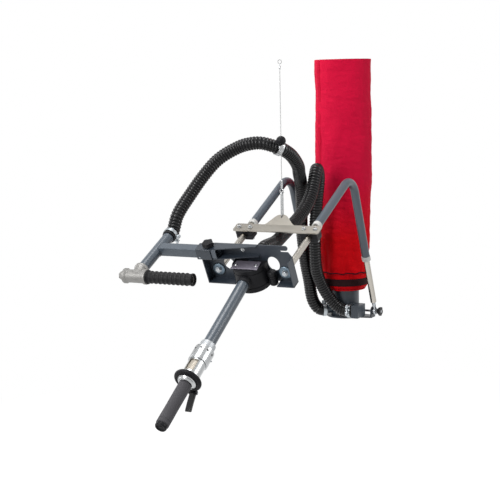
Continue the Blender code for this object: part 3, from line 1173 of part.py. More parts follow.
def on_face(x, height, depth):
    """A point given on the bracket's face, in the ear frame."""
    return FACE_PLACE @ Vector((x, height, depth))


CLIP_CENTRE = Vector((-0.022, -0.447, 0.577))
CLIP_DIRECTION = Vector((0.047, 0.062, -0.028)).normalized()
HOSE_A_END = (-0.053, -0.040, 0.002)
HOSE_B_END = (0.058, -0.0692, 0.008)
HOSE_A_ROUTE = [
    on_face(CROSS_TUBE_X, SIDE_ARM_HEIGHT, SIDE_ARM_DEPTH - CROSS_TUBE_BACK - FIT),
    on_face(CROSS_TUBE_X, SIDE_ARM_HEIGHT, SIDE_ARM_DEPTH - CROSS_TUBE_BACK - 0.016),
    on_face(CROSS_TUBE_X, SIDE_ARM_HEIGHT, SIDE_ARM_DEPTH - CROSS_TUBE_BACK - 0.030),
    (-0.282, -0.627, 0.380), (-0.266, -0.577, 0.437), (-0.238, -0.530, 0.499), (-0.200, -0.507, 0.545),
    (-0.140, -0.492, 0.580), (-0.095, -0.491, 0.592), (-0.062, -0.483, 0.593),
    CLIP_CENTRE - CLIP_DIRECTION * 0.014, CLIP_CENTRE, CLIP_CENTRE + CLIP_DIRECTION * 0.014,
    (-0.008, -0.390, 0.551), (-0.012, -0.335, 0.516), (-0.031, -0.286, 0.486),
    (-0.048, -0.238, 0.450), (-0.069, -0.190, 0.381),
    (-0.083, -0.165, 0.309), (-0.088, -0.145, 0.250), (-0.091, -0.122, 0.178), (-0.090, -0.095, 0.103),
    (-0.090, -0.083, 0.062), (-0.087, -0.072, 0.033), (-0.079, -0.060, 0.012), (-0.0706, -0.0532, 0.0040),
    (-0.0646, -0.0488, 0.0020), HOSE_A_END,
]
HOSE_B_ROUTE = [
    HOSE_B_END, (0.046, -0.0692, 0.008), (0.034, -0.0692, 0.008), (0.014, -0.0694, 0.013), (-0.007, -0.0725, 0.028), (-0.028, -0.088, 0.063),
    (-0.041, -0.112, 0.108), (-0.046, -0.132, 0.148), (-0.043, -0.145, 0.183), (-0.040, -0.155, 0.253),
    (-0.034, -0.157, 0.332), (-0.026, -0.160, 0.404), (-0.016, -0.168, 0.458), (-0.010, -0.188, 0.490),
    (-0.005, -0.210, 0.500), (0.001, -0.236, 0.472), (0.001, -0.268, 0.414), (-0.004, -0.318, 0.367),
    (-0.008, -0.385, 0.334), (-0.008, -0.455, 0.310), (-0.002, -0.520, 0.294),
    on_face(HANDLE_X, HUB_AXIS_HEIGHT, -HUB_STUB_LENGTH - 0.050),
    on_face(HANDLE_X, HUB_AXIS_HEIGHT, -HUB_STUB_LENGTH - 0.020),
    on_face(HANDLE_X, HUB_AXIS_HEIGHT, -HUB_STUB_LENGTH - FIT),
]


def main():
    """Builds the whole lifter."""
    clear_scene()
    finish = Finish()
    ears = axis_frame("ear_axis", (0, 0, -EAR_DROP))
    face = axis_frame("bracket_face", (0, -BRACKET_REACH, BRACKET_HEIGHT), turn_x(FACE_SLOPE), ears)
    handle_start = on_face(HANDLE_X, 0.0068, HUB_AXIS_DEPTH)
    handle = axis_frame("handle_axis", handle_start, turn_x(math.pi / 2 + HANDLE_SLOPE), ears)
    build_lifting_tube(finish)
    build_adapter(finish, ears)
    build_ear_pivots(finish, ears)
    build_arms(finish, ears, face)
    build_spreader(finish, face)
    build_bracket(finish, face)
    build_hub(finish, face, handle)
    build_handle(finish, handle)
    build_side_arm(finish, face)
    build_wire(finish, ears)
    build_hoses(finish, ears)
    bpy.context.view_layer.update()


if __name__ == "__main__":
    main()
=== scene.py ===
"""Vacuum tube lifter, dressed as photographed: red lifting tube, two-arm frame, handle and hoses.

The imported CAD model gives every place. Each CAD node is stood for by a finely made piece of the
same size, with its own finish. Metres, +Z up, the origin at the ring from which the lifter hangs.
"""

import logging
import math
from dataclasses import dataclass, field
from enum import Enum
from typing import Dict, List, Optional, Sequence, Tuple, Union

import bmesh
import bpy
from mathutils import Matrix, Vector, noise
from mathutils.geometry import interpolate_bezier


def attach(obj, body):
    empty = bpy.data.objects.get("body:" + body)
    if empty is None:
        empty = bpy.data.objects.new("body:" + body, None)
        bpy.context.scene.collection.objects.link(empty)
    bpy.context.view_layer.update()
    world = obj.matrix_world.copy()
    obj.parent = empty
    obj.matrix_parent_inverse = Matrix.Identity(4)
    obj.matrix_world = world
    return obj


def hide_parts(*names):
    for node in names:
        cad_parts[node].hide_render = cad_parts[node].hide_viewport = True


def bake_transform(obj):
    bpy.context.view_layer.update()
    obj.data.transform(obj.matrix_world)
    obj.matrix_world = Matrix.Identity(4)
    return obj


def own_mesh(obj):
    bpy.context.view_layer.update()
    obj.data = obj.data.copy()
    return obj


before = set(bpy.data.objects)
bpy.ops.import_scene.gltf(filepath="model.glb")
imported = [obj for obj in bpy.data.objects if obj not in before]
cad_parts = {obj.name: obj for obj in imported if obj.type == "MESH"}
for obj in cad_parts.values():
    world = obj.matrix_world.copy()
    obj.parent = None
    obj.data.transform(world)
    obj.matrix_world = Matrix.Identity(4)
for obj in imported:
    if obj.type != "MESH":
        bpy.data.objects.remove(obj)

LOG = logging.getLogger("lifter")
Pair = Tuple[float, float]
Triple = Tuple[float, float, float]
IDENTITY = Matrix.Identity(4)
ALONG_X = Matrix.Rotation(math.radians(90), 4, "Y")
ALONG_Y = Matrix.Rotation(math.radians(-90), 4, "X")
FIT = 0.0003
RUN = 0.0005
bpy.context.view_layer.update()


class Body(Enum):
    """The CAD bodies that pieces ride on."""

    HANGER = "hanger"
    BASE = "base"
    EAR_KNOB = "ear_knob"
    FRAME = "frame"
    SIDE_HANDLE = "side_handle"
    LOCK_KNOB = "lock_knob"
    GRIP = "grip"
    LEVER = "lever"
    WIRE = "wire"


class Fit(Enum):
    """How one form is fitted to another."""

    JOIN = "UNION"
    CUT = "DIFFERENCE"


# ---------------------------------------------------------------- node graphs


class Link:
    """An output socket of a node tree, on which sums are written as in Python."""

    def __init__(self, graph: "Graph", socket: bpy.types.NodeSocket) -> None:
        """Keeps the graph and the socket."""
        self.graph = graph
        self.socket = socket

    def _sum(self, operation: str, first: "Value", second: "Value" = 0.0, clamp: bool = False) -> "Link":
        """Adds one Math node.

        Args:
            operation: the Math node's operation.
            first: its first value.
            second: its second value.
            clamp: whether the result is kept from 0 to 1.

        Returns:
            The node's result.
        """
        settings = {"operation": operation, "use_clamp": clamp}
        return self.graph.node("ShaderNodeMath", settings, {0: first, 1: second})

    def __add__(self, other: "Value") -> "Link":
        """Adds a value."""
        return self._sum("ADD", self, other)

    def __radd__(self, other: "Value") -> "Link":
        """Is added to a value."""
        return self._sum("ADD", other, self)

    def __sub__(self, other: "Value") -> "Link":
        """Takes a value away."""
        return self._sum("SUBTRACT", self, other)

    def __rsub__(self, other: "Value") -> "Link":
        """Is taken away from a value."""
        return self._sum("SUBTRACT", other, self)

    def __mul__(self, other: "Value") -> "Link":
        """Multiplies by a value."""
        return self._sum("MULTIPLY", self, other)

    def __rmul__(self, other: "Value") -> "Link":
        """Is multiplied by a value."""
        return self._sum("MULTIPLY", other, self)

    def __truediv__(self, other: "Value") -> "Link":
        """Divides by a value."""
        return self._sum("DIVIDE", self, other)

    def __rtruediv__(self, other: "Value") -> "Link":
        """Is the divisor of a value."""
        return self._sum("DIVIDE", other, self)

    def __pow__(self, other: "Value") -> "Link":
        """Raises to a power."""
        return self._sum("POWER", self, other)

    def least(self, other: "Value") -> "Link":
        """The smaller of two values."""
        return self._sum("MINIMUM", self, other)

    def most(self, other: "Value") -> "Link":
        """The larger of two values."""
        return self._sum("MAXIMUM", self, other)

    def sine(self) -> "Link":
        """The sine of an angle in radians."""
        return self._sum("SINE", self)

    def band(self, low: float, high: float) -> "Link":
        """Rises from 0 at low to 1 at high, and stays within the two."""
        return self._sum("MULTIPLY", self - low, 1.0 / (high - low), True)


Value = Union[Link, float, int, Tuple[float, ...]]


class Graph:
    """A node tree in the making."""

    def __init__(self, tree: bpy.types.NodeTree) -> None:
        """Keeps the tree."""
        self.tree = tree

    def node(
        self, kind: str, settings: Optional[dict] = None, values: Optional[dict] = None,
        out: Union[int, str] = 0
    ) -> Link:
        """Adds one node.

        Args:
            kind: the node's type.
            settings: its own settings, set first; "stops" gives a ramp's places and colours.
            values: a value or link for each input, by name or number.
            out: the output that is read, by name or number.

        Returns:
            That output.
        """
        made = self.tree.nodes.new(kind)
        for name, value in (settings or {}).items():
            if name == "stops":
                ramp = made.color_ramp
                while len(ramp.elements) < len(value):
                    ramp.elements.new(0.5)
                for element, (place, colour) in zip(ramp.elements, value):
                    element.position = place
                    element.color = (*colour, 1.0)
            else:
                setattr(made, name, value)
        for key, value in (values or {}).items():
            self.feed(made.inputs[key], value)
        return Link(self, made.outputs[out])

    def feed(self, socket: bpy.types.NodeSocket, value: Value) -> None:
        """Gives an input its link or its number."""
        if isinstance(value, Link):
            self.tree.links.new(value.socket, socket)
        elif isinstance(value, tuple) and socket.type == "RGBA" and len(value) == 3:
            socket.default_value = (*value, 1.0)
        else:
            socket.default_value = value


class Surface(Graph):
    """A material's graph round one Principled shader."""

    def __init__(self, name: str, colour: Triple, roughness: float, metallic: float) -> None:
        """Makes the material with its plain values."""
        self.material = bpy.data.materials.new(name)
        self.material.use_nodes = True
        super().__init__(self.material.node_tree)
        self.shader = self.tree.nodes["Principled BSDF"]
        self.put("Base Color", colour)
        self.put("Roughness", roughness)
        self.put("Metallic", metallic)

    def put(self, socket: str, value: Value) -> None:
        """Feeds one of the shader's own sockets."""
        self.feed(self.shader.inputs[socket], value)

    def places(self, stretch: Triple = (1.0, 1.0, 1.0), turn: Triple = (0.0, 0.0, 0.0)) -> Link:
        """Places on the object, turned and then stretched."""
        own = self.node("ShaderNodeTexCoord", out="Object")
        turned = self.node("ShaderNodeMapping", {"vector_type": "POINT"}, {"Vector": own, "Rotation": turn})
        return self.node("ShaderNodeMapping", {"vector_type": "POINT"},
                         {"Vector": turned, "Scale": stretch})

    def grain(self, scale: float, detail: float = 3.0, at: Optional[Link] = None,
              rough: float = 0.55) -> Link:
        """Noise from 0 to 1 with so many cells a metre."""
        return self.node(
            "ShaderNodeTexNoise",
            {"noise_dimensions": "3D"},
            {"Vector": at or self.places(), "Scale": scale, "Detail": detail, "Roughness": rough},
        )

    def tint(self, factor: Value, first: Value, second: Value) -> Link:
        """Mixes two colours."""
        return self.node("ShaderNodeMix", {"data_type": "RGBA"}, {0: factor, 6: first, 7: second}, 2)

    def relief(self, height: Link, strength: float, depth: float) -> None:
        """Raises the surface by a height map of the given depth in metres."""
        raised = self.node("ShaderNodeBump", None,
                           {"Strength": strength, "Distance": depth, "Height": height})
        self.put("Normal", raised)


def shade(colour: Triple, factor: float) -> Triple:
    """A colour made lighter or darker by a factor."""
    return tuple(min(1.0, part * factor) for part in colour)


# ------------------------------------------------------------------- finishes


@dataclass(frozen=True)
class Finish:
    """A finish: its name, the record's slot it follows, and its plain values."""

    name: str
    slot: str
    colour: Triple
    roughness: float = 0.5
    metallic: float = 0.0

    def material(self) -> bpy.types.Material:
        """The finish's material, made once."""
        known = bpy.data.materials.get(self.name)
        if known:
            return known
        surface = Surface(self.name, self.colour, self.roughness, self.metallic)
        self.dress(surface)
        return surface.material

    def dress(self, surface: Surface) -> None:
        """Adds what makes the finish its own."""
        clouds = surface.grain(14.0)
        surface.put("Base Color", surface.tint(clouds, shade(self.colour, 0.9), shade(self.colour, 1.1)))


@dataclass(frozen=True)
class PowderCoat(Finish):
    """Sprayed and baked paint with a faint orange peel and a few dull rubbed places."""

    peel: float = 620.0

    def dress(self, surface: Surface) -> None:
        """Clouds the colour, dulls the rubbed places and raises the orange peel."""
        clouds = surface.grain(9.0, 4.0)
        rubbed = surface.grain(55.0, 6.0, rough=0.7).band(0.60, 0.74)
        lit = surface.tint(clouds, shade(self.colour, 0.90), shade(self.colour, 1.10))
        dusty = tuple(part * 0.86 + 0.035 for part in self.colour)
        surface.put("Base Color", surface.tint(rubbed * 0.18, lit, dusty))
        surface.put("Roughness", clouds * 0.08 + rubbed * 0.12 + (self.roughness - 0.05))
        peel = surface.grain(self.peel, 2.0)
        surface.relief(peel + surface.grain(45.0, 1.0) * 0.6, 0.08, 0.00012)


@dataclass(frozen=True)
class BrushedSteel(Finish):
    """Stainless steel with fine lines along one direction and faint handling marks."""

    lines: Triple = (30.0, 1600.0, 1600.0)
    turn: Triple = (0.0, 0.0, 0.0)
    depth: float = 0.00004

    def dress(self, surface: Surface) -> None:
        """Draws the lines in the gloss, the colour and the relief."""
        lines = surface.grain(1.0, 4.0, surface.places(self.lines, self.turn), 0.6)
        marks = surface.grain(24.0, 5.0, rough=0.65)
        streak = lines * 0.7 + marks * 0.3
        surface.put("Base Color", surface.tint(streak, shade(self.colour, 0.88), shade(self.colour, 1.08)))
        surface.put("Roughness", lines * 0.10 + marks * 0.06 + (self.roughness - 0.08))
        surface.relief(lines, 0.18, self.depth)


@dataclass(frozen=True)
class CastMetal(Finish):
    """Blasted or cast metal with a fine even grain and darker pores."""

    pores: float = 900.0

    def dress(self, surface: Surface) -> None:
        """Mottles the colour and raises the grain."""
        grain = surface.grain(self.pores, 4.0, rough=0.7)
        mottle = surface.grain(70.0, 5.0)
        dark = grain.band(0.34, 0.50)
        body = surface.tint(mottle, shade(self.colour, 0.84), shade(self.colour, 1.12))
        surface.put("Base Color", surface.tint(1.0 - dark, body, shade(self.colour, 0.62)))
        surface.put("Roughness", mottle * 0.18 + (self.roughness - 0.09))
        surface.relief(grain, 0.30, 0.00018)


@dataclass(frozen=True)
class Galvanised(Finish):
    """Hot-dip zinc: soft crystal patches over a slightly uneven skin."""

    patches: float = 75.0

    def dress(self, surface: Surface) -> None:
        """Gives each crystal patch its own tone and gloss."""
        waver = surface.grain(60.0, 2.0)
        where = surface.places()
        crystal = surface.node(
            "ShaderNodeTexVoronoi", {"feature": "SMOOTH_F1"},
            {"Vector": where, "Scale": self.patches, "Smoothness": 0.35}, "Color"
        )
        tone = surface.node("ShaderNodeSeparateColor", None, {0: crystal}, 0)
        mixed = tone * 0.55 + waver * 0.45
        surface.put("Base Color", surface.tint(mixed, shade(self.colour, 0.84), shade(self.colour, 1.12)))
        surface.put("Roughness", tone * 0.10 + waver * 0.08 + (self.roughness - 0.09))
        surface.relief(surface.grain(260.0, 4.0, rough=0.65) + waver, 0.14, 0.0002)


@dataclass(frozen=True)
class MouldedPlastic(Finish):
    """Moulded plastic or rubber with a fine spark-eroded grain."""

    grain: float = 1500.0
    strength: float = 0.18

    def dress(self, surface: Surface) -> None:
        """Raises the grain and greys the handled places."""
        grain = surface.grain(self.grain, 2.0)
        handled = surface.grain(34.0, 5.0, rough=0.65).band(0.48, 0.72)
        worn = tuple(part * 1.25 + 0.012 for part in self.colour)
        surface.put("Base Color", surface.tint(handled * 0.55, self.colour, worn))
        surface.put("Roughness", handled * 0.14 + grain * 0.06 + (self.roughness - 0.07))
        surface.put("Specular IOR Level", 0.12 if self.roughness > 0.3 else 0.40)
        surface.relief(grain, self.strength, 0.00015)


@dataclass(frozen=True)
class StippledFoam(Finish):
    """Grip sleeve with a close pebbled skin."""

    pebbles: float = 720.0

    def dress(self, surface: Surface) -> None:
        """Raises the pebbles and lightens their tops."""
        pebble = surface.node(
            "ShaderNodeTexVoronoi", {"feature": "F1"}, {"Vector": surface.places(), "Scale": self.pebbles},
            "Distance"
        )
        top = (1.0 - pebble).band(0.25, 0.85)
        sweep = surface.grain(22.0, 4.0)
        body = surface.tint(top * 0.7 + sweep * 0.3, shade(self.colour, 0.62), shade(self.colour, 1.30))
        surface.put("Base Color", body)
        surface.put("Roughness", sweep * 0.12 + (self.roughness - 0.06))
        surface.relief(top, 0.45, 0.0003)


@dataclass(frozen=True)
class HoseSkin(Finish):
    """Glossy black hose: clean shining crests, with a little dust between the ribs."""

    def dress(self, surface: Surface) -> None:
        """Reads the crest attribute, which is 0 between the ribs and 1 on them."""
        crest = surface.node("ShaderNodeAttribute", {"attribute_name": "crest"}, None, "Fac")
        dust = surface.grain(40.0, 5.0, rough=0.7).band(0.42, 0.70)
        rubbed = surface.grain(190.0, 3.0).band(0.55, 0.70)
        body = surface.tint(crest, (0.0065, 0.0065, 0.007), self.colour)
        dusty = surface.tint(dust * (1.0 - crest) * 0.20, body, (0.012, 0.012, 0.012))
        surface.put("Base Color", surface.tint(rubbed * crest * 0.12, dusty, (0.016, 0.016, 0.018)))
        surface.put("Roughness", (1.0 - crest) * 0.55 + dust * 0.03 + self.roughness)
        surface.put("Specular IOR Level", 0.15)
        surface.put("Coat Weight", crest * crest * crest * 0.45)
        surface.put("Coat Roughness", 0.09)
        surface.relief(surface.grain(900.0, 2.0), 0.04, 0.00005)


@dataclass(frozen=True)
class WovenCloth(Finish):
    """Close plain weave with a soft sheen. The piece's UV map is in metres round and up."""

    thread: float = 0.0011
    # Colour of the sleeve's lower part: painted shade from the hoses and arms above it.
    painted_low_shade: Triple = (0.58, 0.0010, 0.005)
    sheen: float = 0.02

    def dress(self, surface: Surface) -> None:
        """Crosses two rows of threads, varies the dye and paints shade on the lower part."""
        own = surface.node("ShaderNodeUVMap", {"uv_map": "cloth"})
        along = surface.node("ShaderNodeSeparateXYZ", None, {0: own}, "X")
        up = surface.node("ShaderNodeSeparateXYZ", None, {0: own}, "Y")
        turns = 2 * math.pi / self.thread
        warp = (along * turns).sine() * 0.5 + 0.5
        weft = (up * turns).sine() * 0.5 + 0.5
        over = ((along * (turns / 2)).sine() * (up * (turns / 2)).sine()) * 0.5 + 0.5
        weave = warp * over + weft * (1.0 - over)
        dye = surface.grain(5.0, 5.0, rough=0.6)
        slub = surface.grain(1.0, 3.0, surface.places((60.0, 60.0, 900.0)))
        tone = weave * 0.30 + dye * 0.42 + slub * 0.28
        body = surface.tint(tone, shade(self.colour, 0.80), shade(self.colour, 1.16))
        # Darker and redder from about 0.45 m above the ears downwards: painted shade cast by the hoses and arms.
        painted_low_shade = surface.tint(tone, self.painted_low_shade, shade(self.painted_low_shade, 1.35))
        surface.put("Base Color", surface.tint(((up + 0.60) / 0.20).band(0.0, 1.0), painted_low_shade, body))
        surface.put("Roughness", weave * 0.10 + (self.roughness - 0.05))
        surface.put("Sheen Weight", self.sheen)
        surface.put("Sheen Roughness", 0.45)
        surface.put("Specular IOR Level", 0.08)
        creases = surface.grain(1.0, 5.0, surface.places((26.0, 26.0, 60.0)), 0.62)
        surface.relief(weave * 0.06 + creases, 0.80, 0.0034)


@dataclass(frozen=True)
class Webbing(Finish):
    """Flat woven tape with a rib across it. The piece's UV map is in metres along and across."""

    rib: float = 0.0016

    def dress(self, surface: Surface) -> None:
        """Raises the slanting ribs and greys their tops."""
        own = surface.node("ShaderNodeUVMap", {"uv_map": "cloth"})
        along = surface.node("ShaderNodeSeparateXYZ", None, {0: own}, "X")
        up = surface.node("ShaderNodeSeparateXYZ", None, {0: own}, "Y")
        turns = 2 * math.pi / self.rib
        ribs = ((along + up * 0.6) * turns).sine() * 0.5 + 0.5
        fuzz = surface.grain(420.0, 4.0)
        tone = ribs * 0.6 + fuzz * 0.4
        surface.put("Base Color", surface.tint(tone, shade(self.colour, 0.55), shade(self.colour, 1.7)))
        surface.put("Specular IOR Level", 0.12)
        surface.relief(ribs + fuzz * 0.4, 0.5, 0.0004)


FRAME_PAINT = PowderCoat("blue_grey_powder_coat", "frame_paint", (0.070, 0.088, 0.110), 0.34)
BRACKET_PAINT = PowderCoat("dark_powder_coat", "bracket_paint", (0.022, 0.030, 0.042), 0.40)
ADAPTER_PAINT = PowderCoat("adapter_powder_coat", "bracket_paint", (0.044, 0.057, 0.073), 0.36)
COVER_PAINT = PowderCoat("cover_satin_paint", "cover_paint", (0.165, 0.150, 0.185), 0.40, 0.35)
WASHER_STEEL = PowderCoat("blued_washer", "frame_paint", (0.145, 0.195, 0.240), 0.36, 0.75)
SPREADER_STEEL = BrushedSteel("brushed_stainless_plate", "stainless", (0.335, 0.315, 0.280), 0.42, 1.0)
ROD_STEEL = BrushedSteel("drawn_stainless_rod", "stainless", (0.43, 0.405, 0.365), 0.26, 1.0,
                         (140.0, 140.0, 140.0), depth=0.00001)
WIRE_STEEL = BrushedSteel("wire_steel", "stainless", (0.42, 0.42, 0.42), 0.58, 0.7, (200.0, 200.0, 200.0),
                          depth=0.00001)
POLISHED = BrushedSteel("polished_steel", "polished", (0.43, 0.44, 0.445), 0.25, 1.0, (120.0, 120.0, 120.0),
                        depth=0.00001)
CAST = CastMetal("blasted_aluminium", "cast_aluminium", (0.40, 0.415, 0.43), 0.52, 0.85)
ZINC = Galvanised("bright_zinc", "zinc", (0.40, 0.42, 0.44), 0.32, 1.0, 320.0)
HOT_DIP = Galvanised("hot_dip_zinc", "galvanised", (0.255, 0.25, 0.24), 0.52, 0.75)
BAND_STEEL = Galvanised("clamp_band_zinc", "galvanised", (0.38, 0.41, 0.43), 0.36, 1.0, 300.0)
BRONZE = CastMetal("sintered_bronze", "bronze", (0.42, 0.38, 0.32), 0.46, 0.35, 1300.0)
PLASTIC = MouldedPlastic("black_moulding", "black_plastic", (0.011, 0.011, 0.013), 0.36)
PALE_PLASTIC = MouldedPlastic("pale_bush", "frame_paint", (0.62, 0.62, 0.60), 0.45)
RUBBER = MouldedPlastic("black_rubber_skin", "black_rubber", (0.009, 0.009, 0.011), 0.46, 0.0, 800.0, 0.25)
RIBBED_RUBBER = MouldedPlastic("side_grip_rubber", "grip_rubber", (0.017, 0.017, 0.018), 0.52, 0.0, 950.0,
                               0.32)
GLOSS_PLASTIC = MouldedPlastic("lever_gloss_black", "black_plastic", (0.004, 0.004, 0.005), 0.13, 0.0,
                               1500.0, 0.05)
FOAM = StippledFoam("twist_grip_skin", "grip_foam", (0.046, 0.044, 0.050), 0.74)
HOSE = HoseSkin("hose_gloss_black", "hose_black", (0.0026, 0.0026, 0.0034), 0.11)
RED_CLOTH = WovenCloth("red_sleeve_cloth", "red_fabric", (0.66, 0.004, 0.043), 0.70)
# Darker than the cloth: the lapped seam is real, its darker tone is painted shade along the lap.
SHADED_RED_TAPE = WovenCloth("red_seam_tape_shaded", "red_fabric", (0.56, 0.003, 0.034), 0.74)
STRAP_TAPE = Webbing("black_webbing", "webbing", (0.020, 0.006, 0.007), 0.80)
THREAD = Webbing("dark_thread", "webbing", (0.045, 0.004, 0.010), 0.85)
RED_THREAD = Webbing("red_thread", "red_fabric", (0.42, 0.004, 0.020), 0.80)
LIFT_RUBBER = MouldedPlastic("lift_hose_rubber", "lift_rubber", (0.085, 0.082, 0.080), 0.66, 0.0, 500.0,
                             0.4)
# Near-black plugs in the valve's ports: painted shade inside the holes.
PORT_SHADE = MouldedPlastic("painted_port_shade", "black_rubber", (0.004, 0.004, 0.004), 0.80)


# ---------------------------------------------------------------------- forms


def shifted(x: float = 0.0, y: float = 0.0, z: float = 0.0, turn: Matrix = IDENTITY) -> Matrix:
    """A place that first turns, then shifts."""
    return Matrix.Translation((x, y, z)) @ turn


def spun(degrees: float, axis: str = "Z") -> Matrix:
    """A turn about one axis."""
    return Matrix.Rotation(math.radians(degrees), 4, axis)


def circle(radius: float, sides: int = 64, centre: Pair = (0.0, 0.0), stretch: float = 1.0) -> List[Pair]:
    """Points of a circle, or of an ellipse with its second radius stretched."""
    turns = [2 * math.pi * step / sides for step in range(sides)]
    return [(centre[0] + radius * math.cos(t), centre[1] + radius * stretch * math.sin(t)) for t in turns]


def rounded_box(left: float, bottom: float, right: float, top: float, radius: float,
                steps: int = 6) -> List[Pair]:
    """Outline of a rectangle with round corners."""
    centres = [(right - radius, top - radius, 0), (left + radius, top - radius, 90)]
    centres += [(left + radius, bottom + radius, 180), (right - radius, bottom + radius, 270)]
    points = []
    for x, y, start in centres:
        for step in range(steps + 1):
            angle = math.radians(start + 90 * step / steps)
            points.append((x + radius * math.cos(angle), y + radius * math.sin(angle)))
    return points


def bar(radius: float, low: float, high: float) -> List[Pair]:
    """Profile of a solid bar between two heights."""
    return [(0.0, low), (radius, low), (radius, high), (0.0, high)]


def tube(outer: float, inner: float, low: float, high: float) -> List[Pair]:
    """Profile of a plain tube between two heights."""
    return [(inner, low), (outer, low), (outer, high), (inner, high)]


def hexagon(across_flats: float) -> List[Pair]:
    """Outline of a hexagon."""
    return circle(across_flats / math.sqrt(3), 6)


def softened(profile: Sequence[Pair], radius: float, steps: int = 3) -> List[Pair]:
    """Rounds the corners of a turned profile.

    Args:
        profile: radius and height pairs; a closed loop unless it starts on the axis.
        radius: how far each corner is taken back, in metres.
        steps: how many edges each round corner gets.

    Returns:
        The profile with its corners rounded.
    """
    if radius <= 0:
        return list(profile)
    solid = profile[0][0] < 1e-9
    count = len(profile)
    made: List[Pair] = []
    for index, point in enumerate(profile):
        if solid and index in (0, count - 1):
            made.append(point)
            continue
        here = Vector(point)
        before = Vector(profile[index - 1]) - here
        after = Vector(profile[(index + 1) % count]) - here
        if before.length < 1e-6 or after.length < 1e-6 or before.angle(after) > math.radians(165):
            made.append(point)
            continue
        back = min(radius, before.length * 0.45, after.length * 0.45)
        start = here + before.normalized() * back
        end = here + after.normalized() * back
        for step in range(steps + 1):
            t = step / steps
            spot = start * (1 - t) ** 2 + here * (2 * t * (1 - t)) + end * t ** 2
            made.append((spot.x, spot.y))
    return made


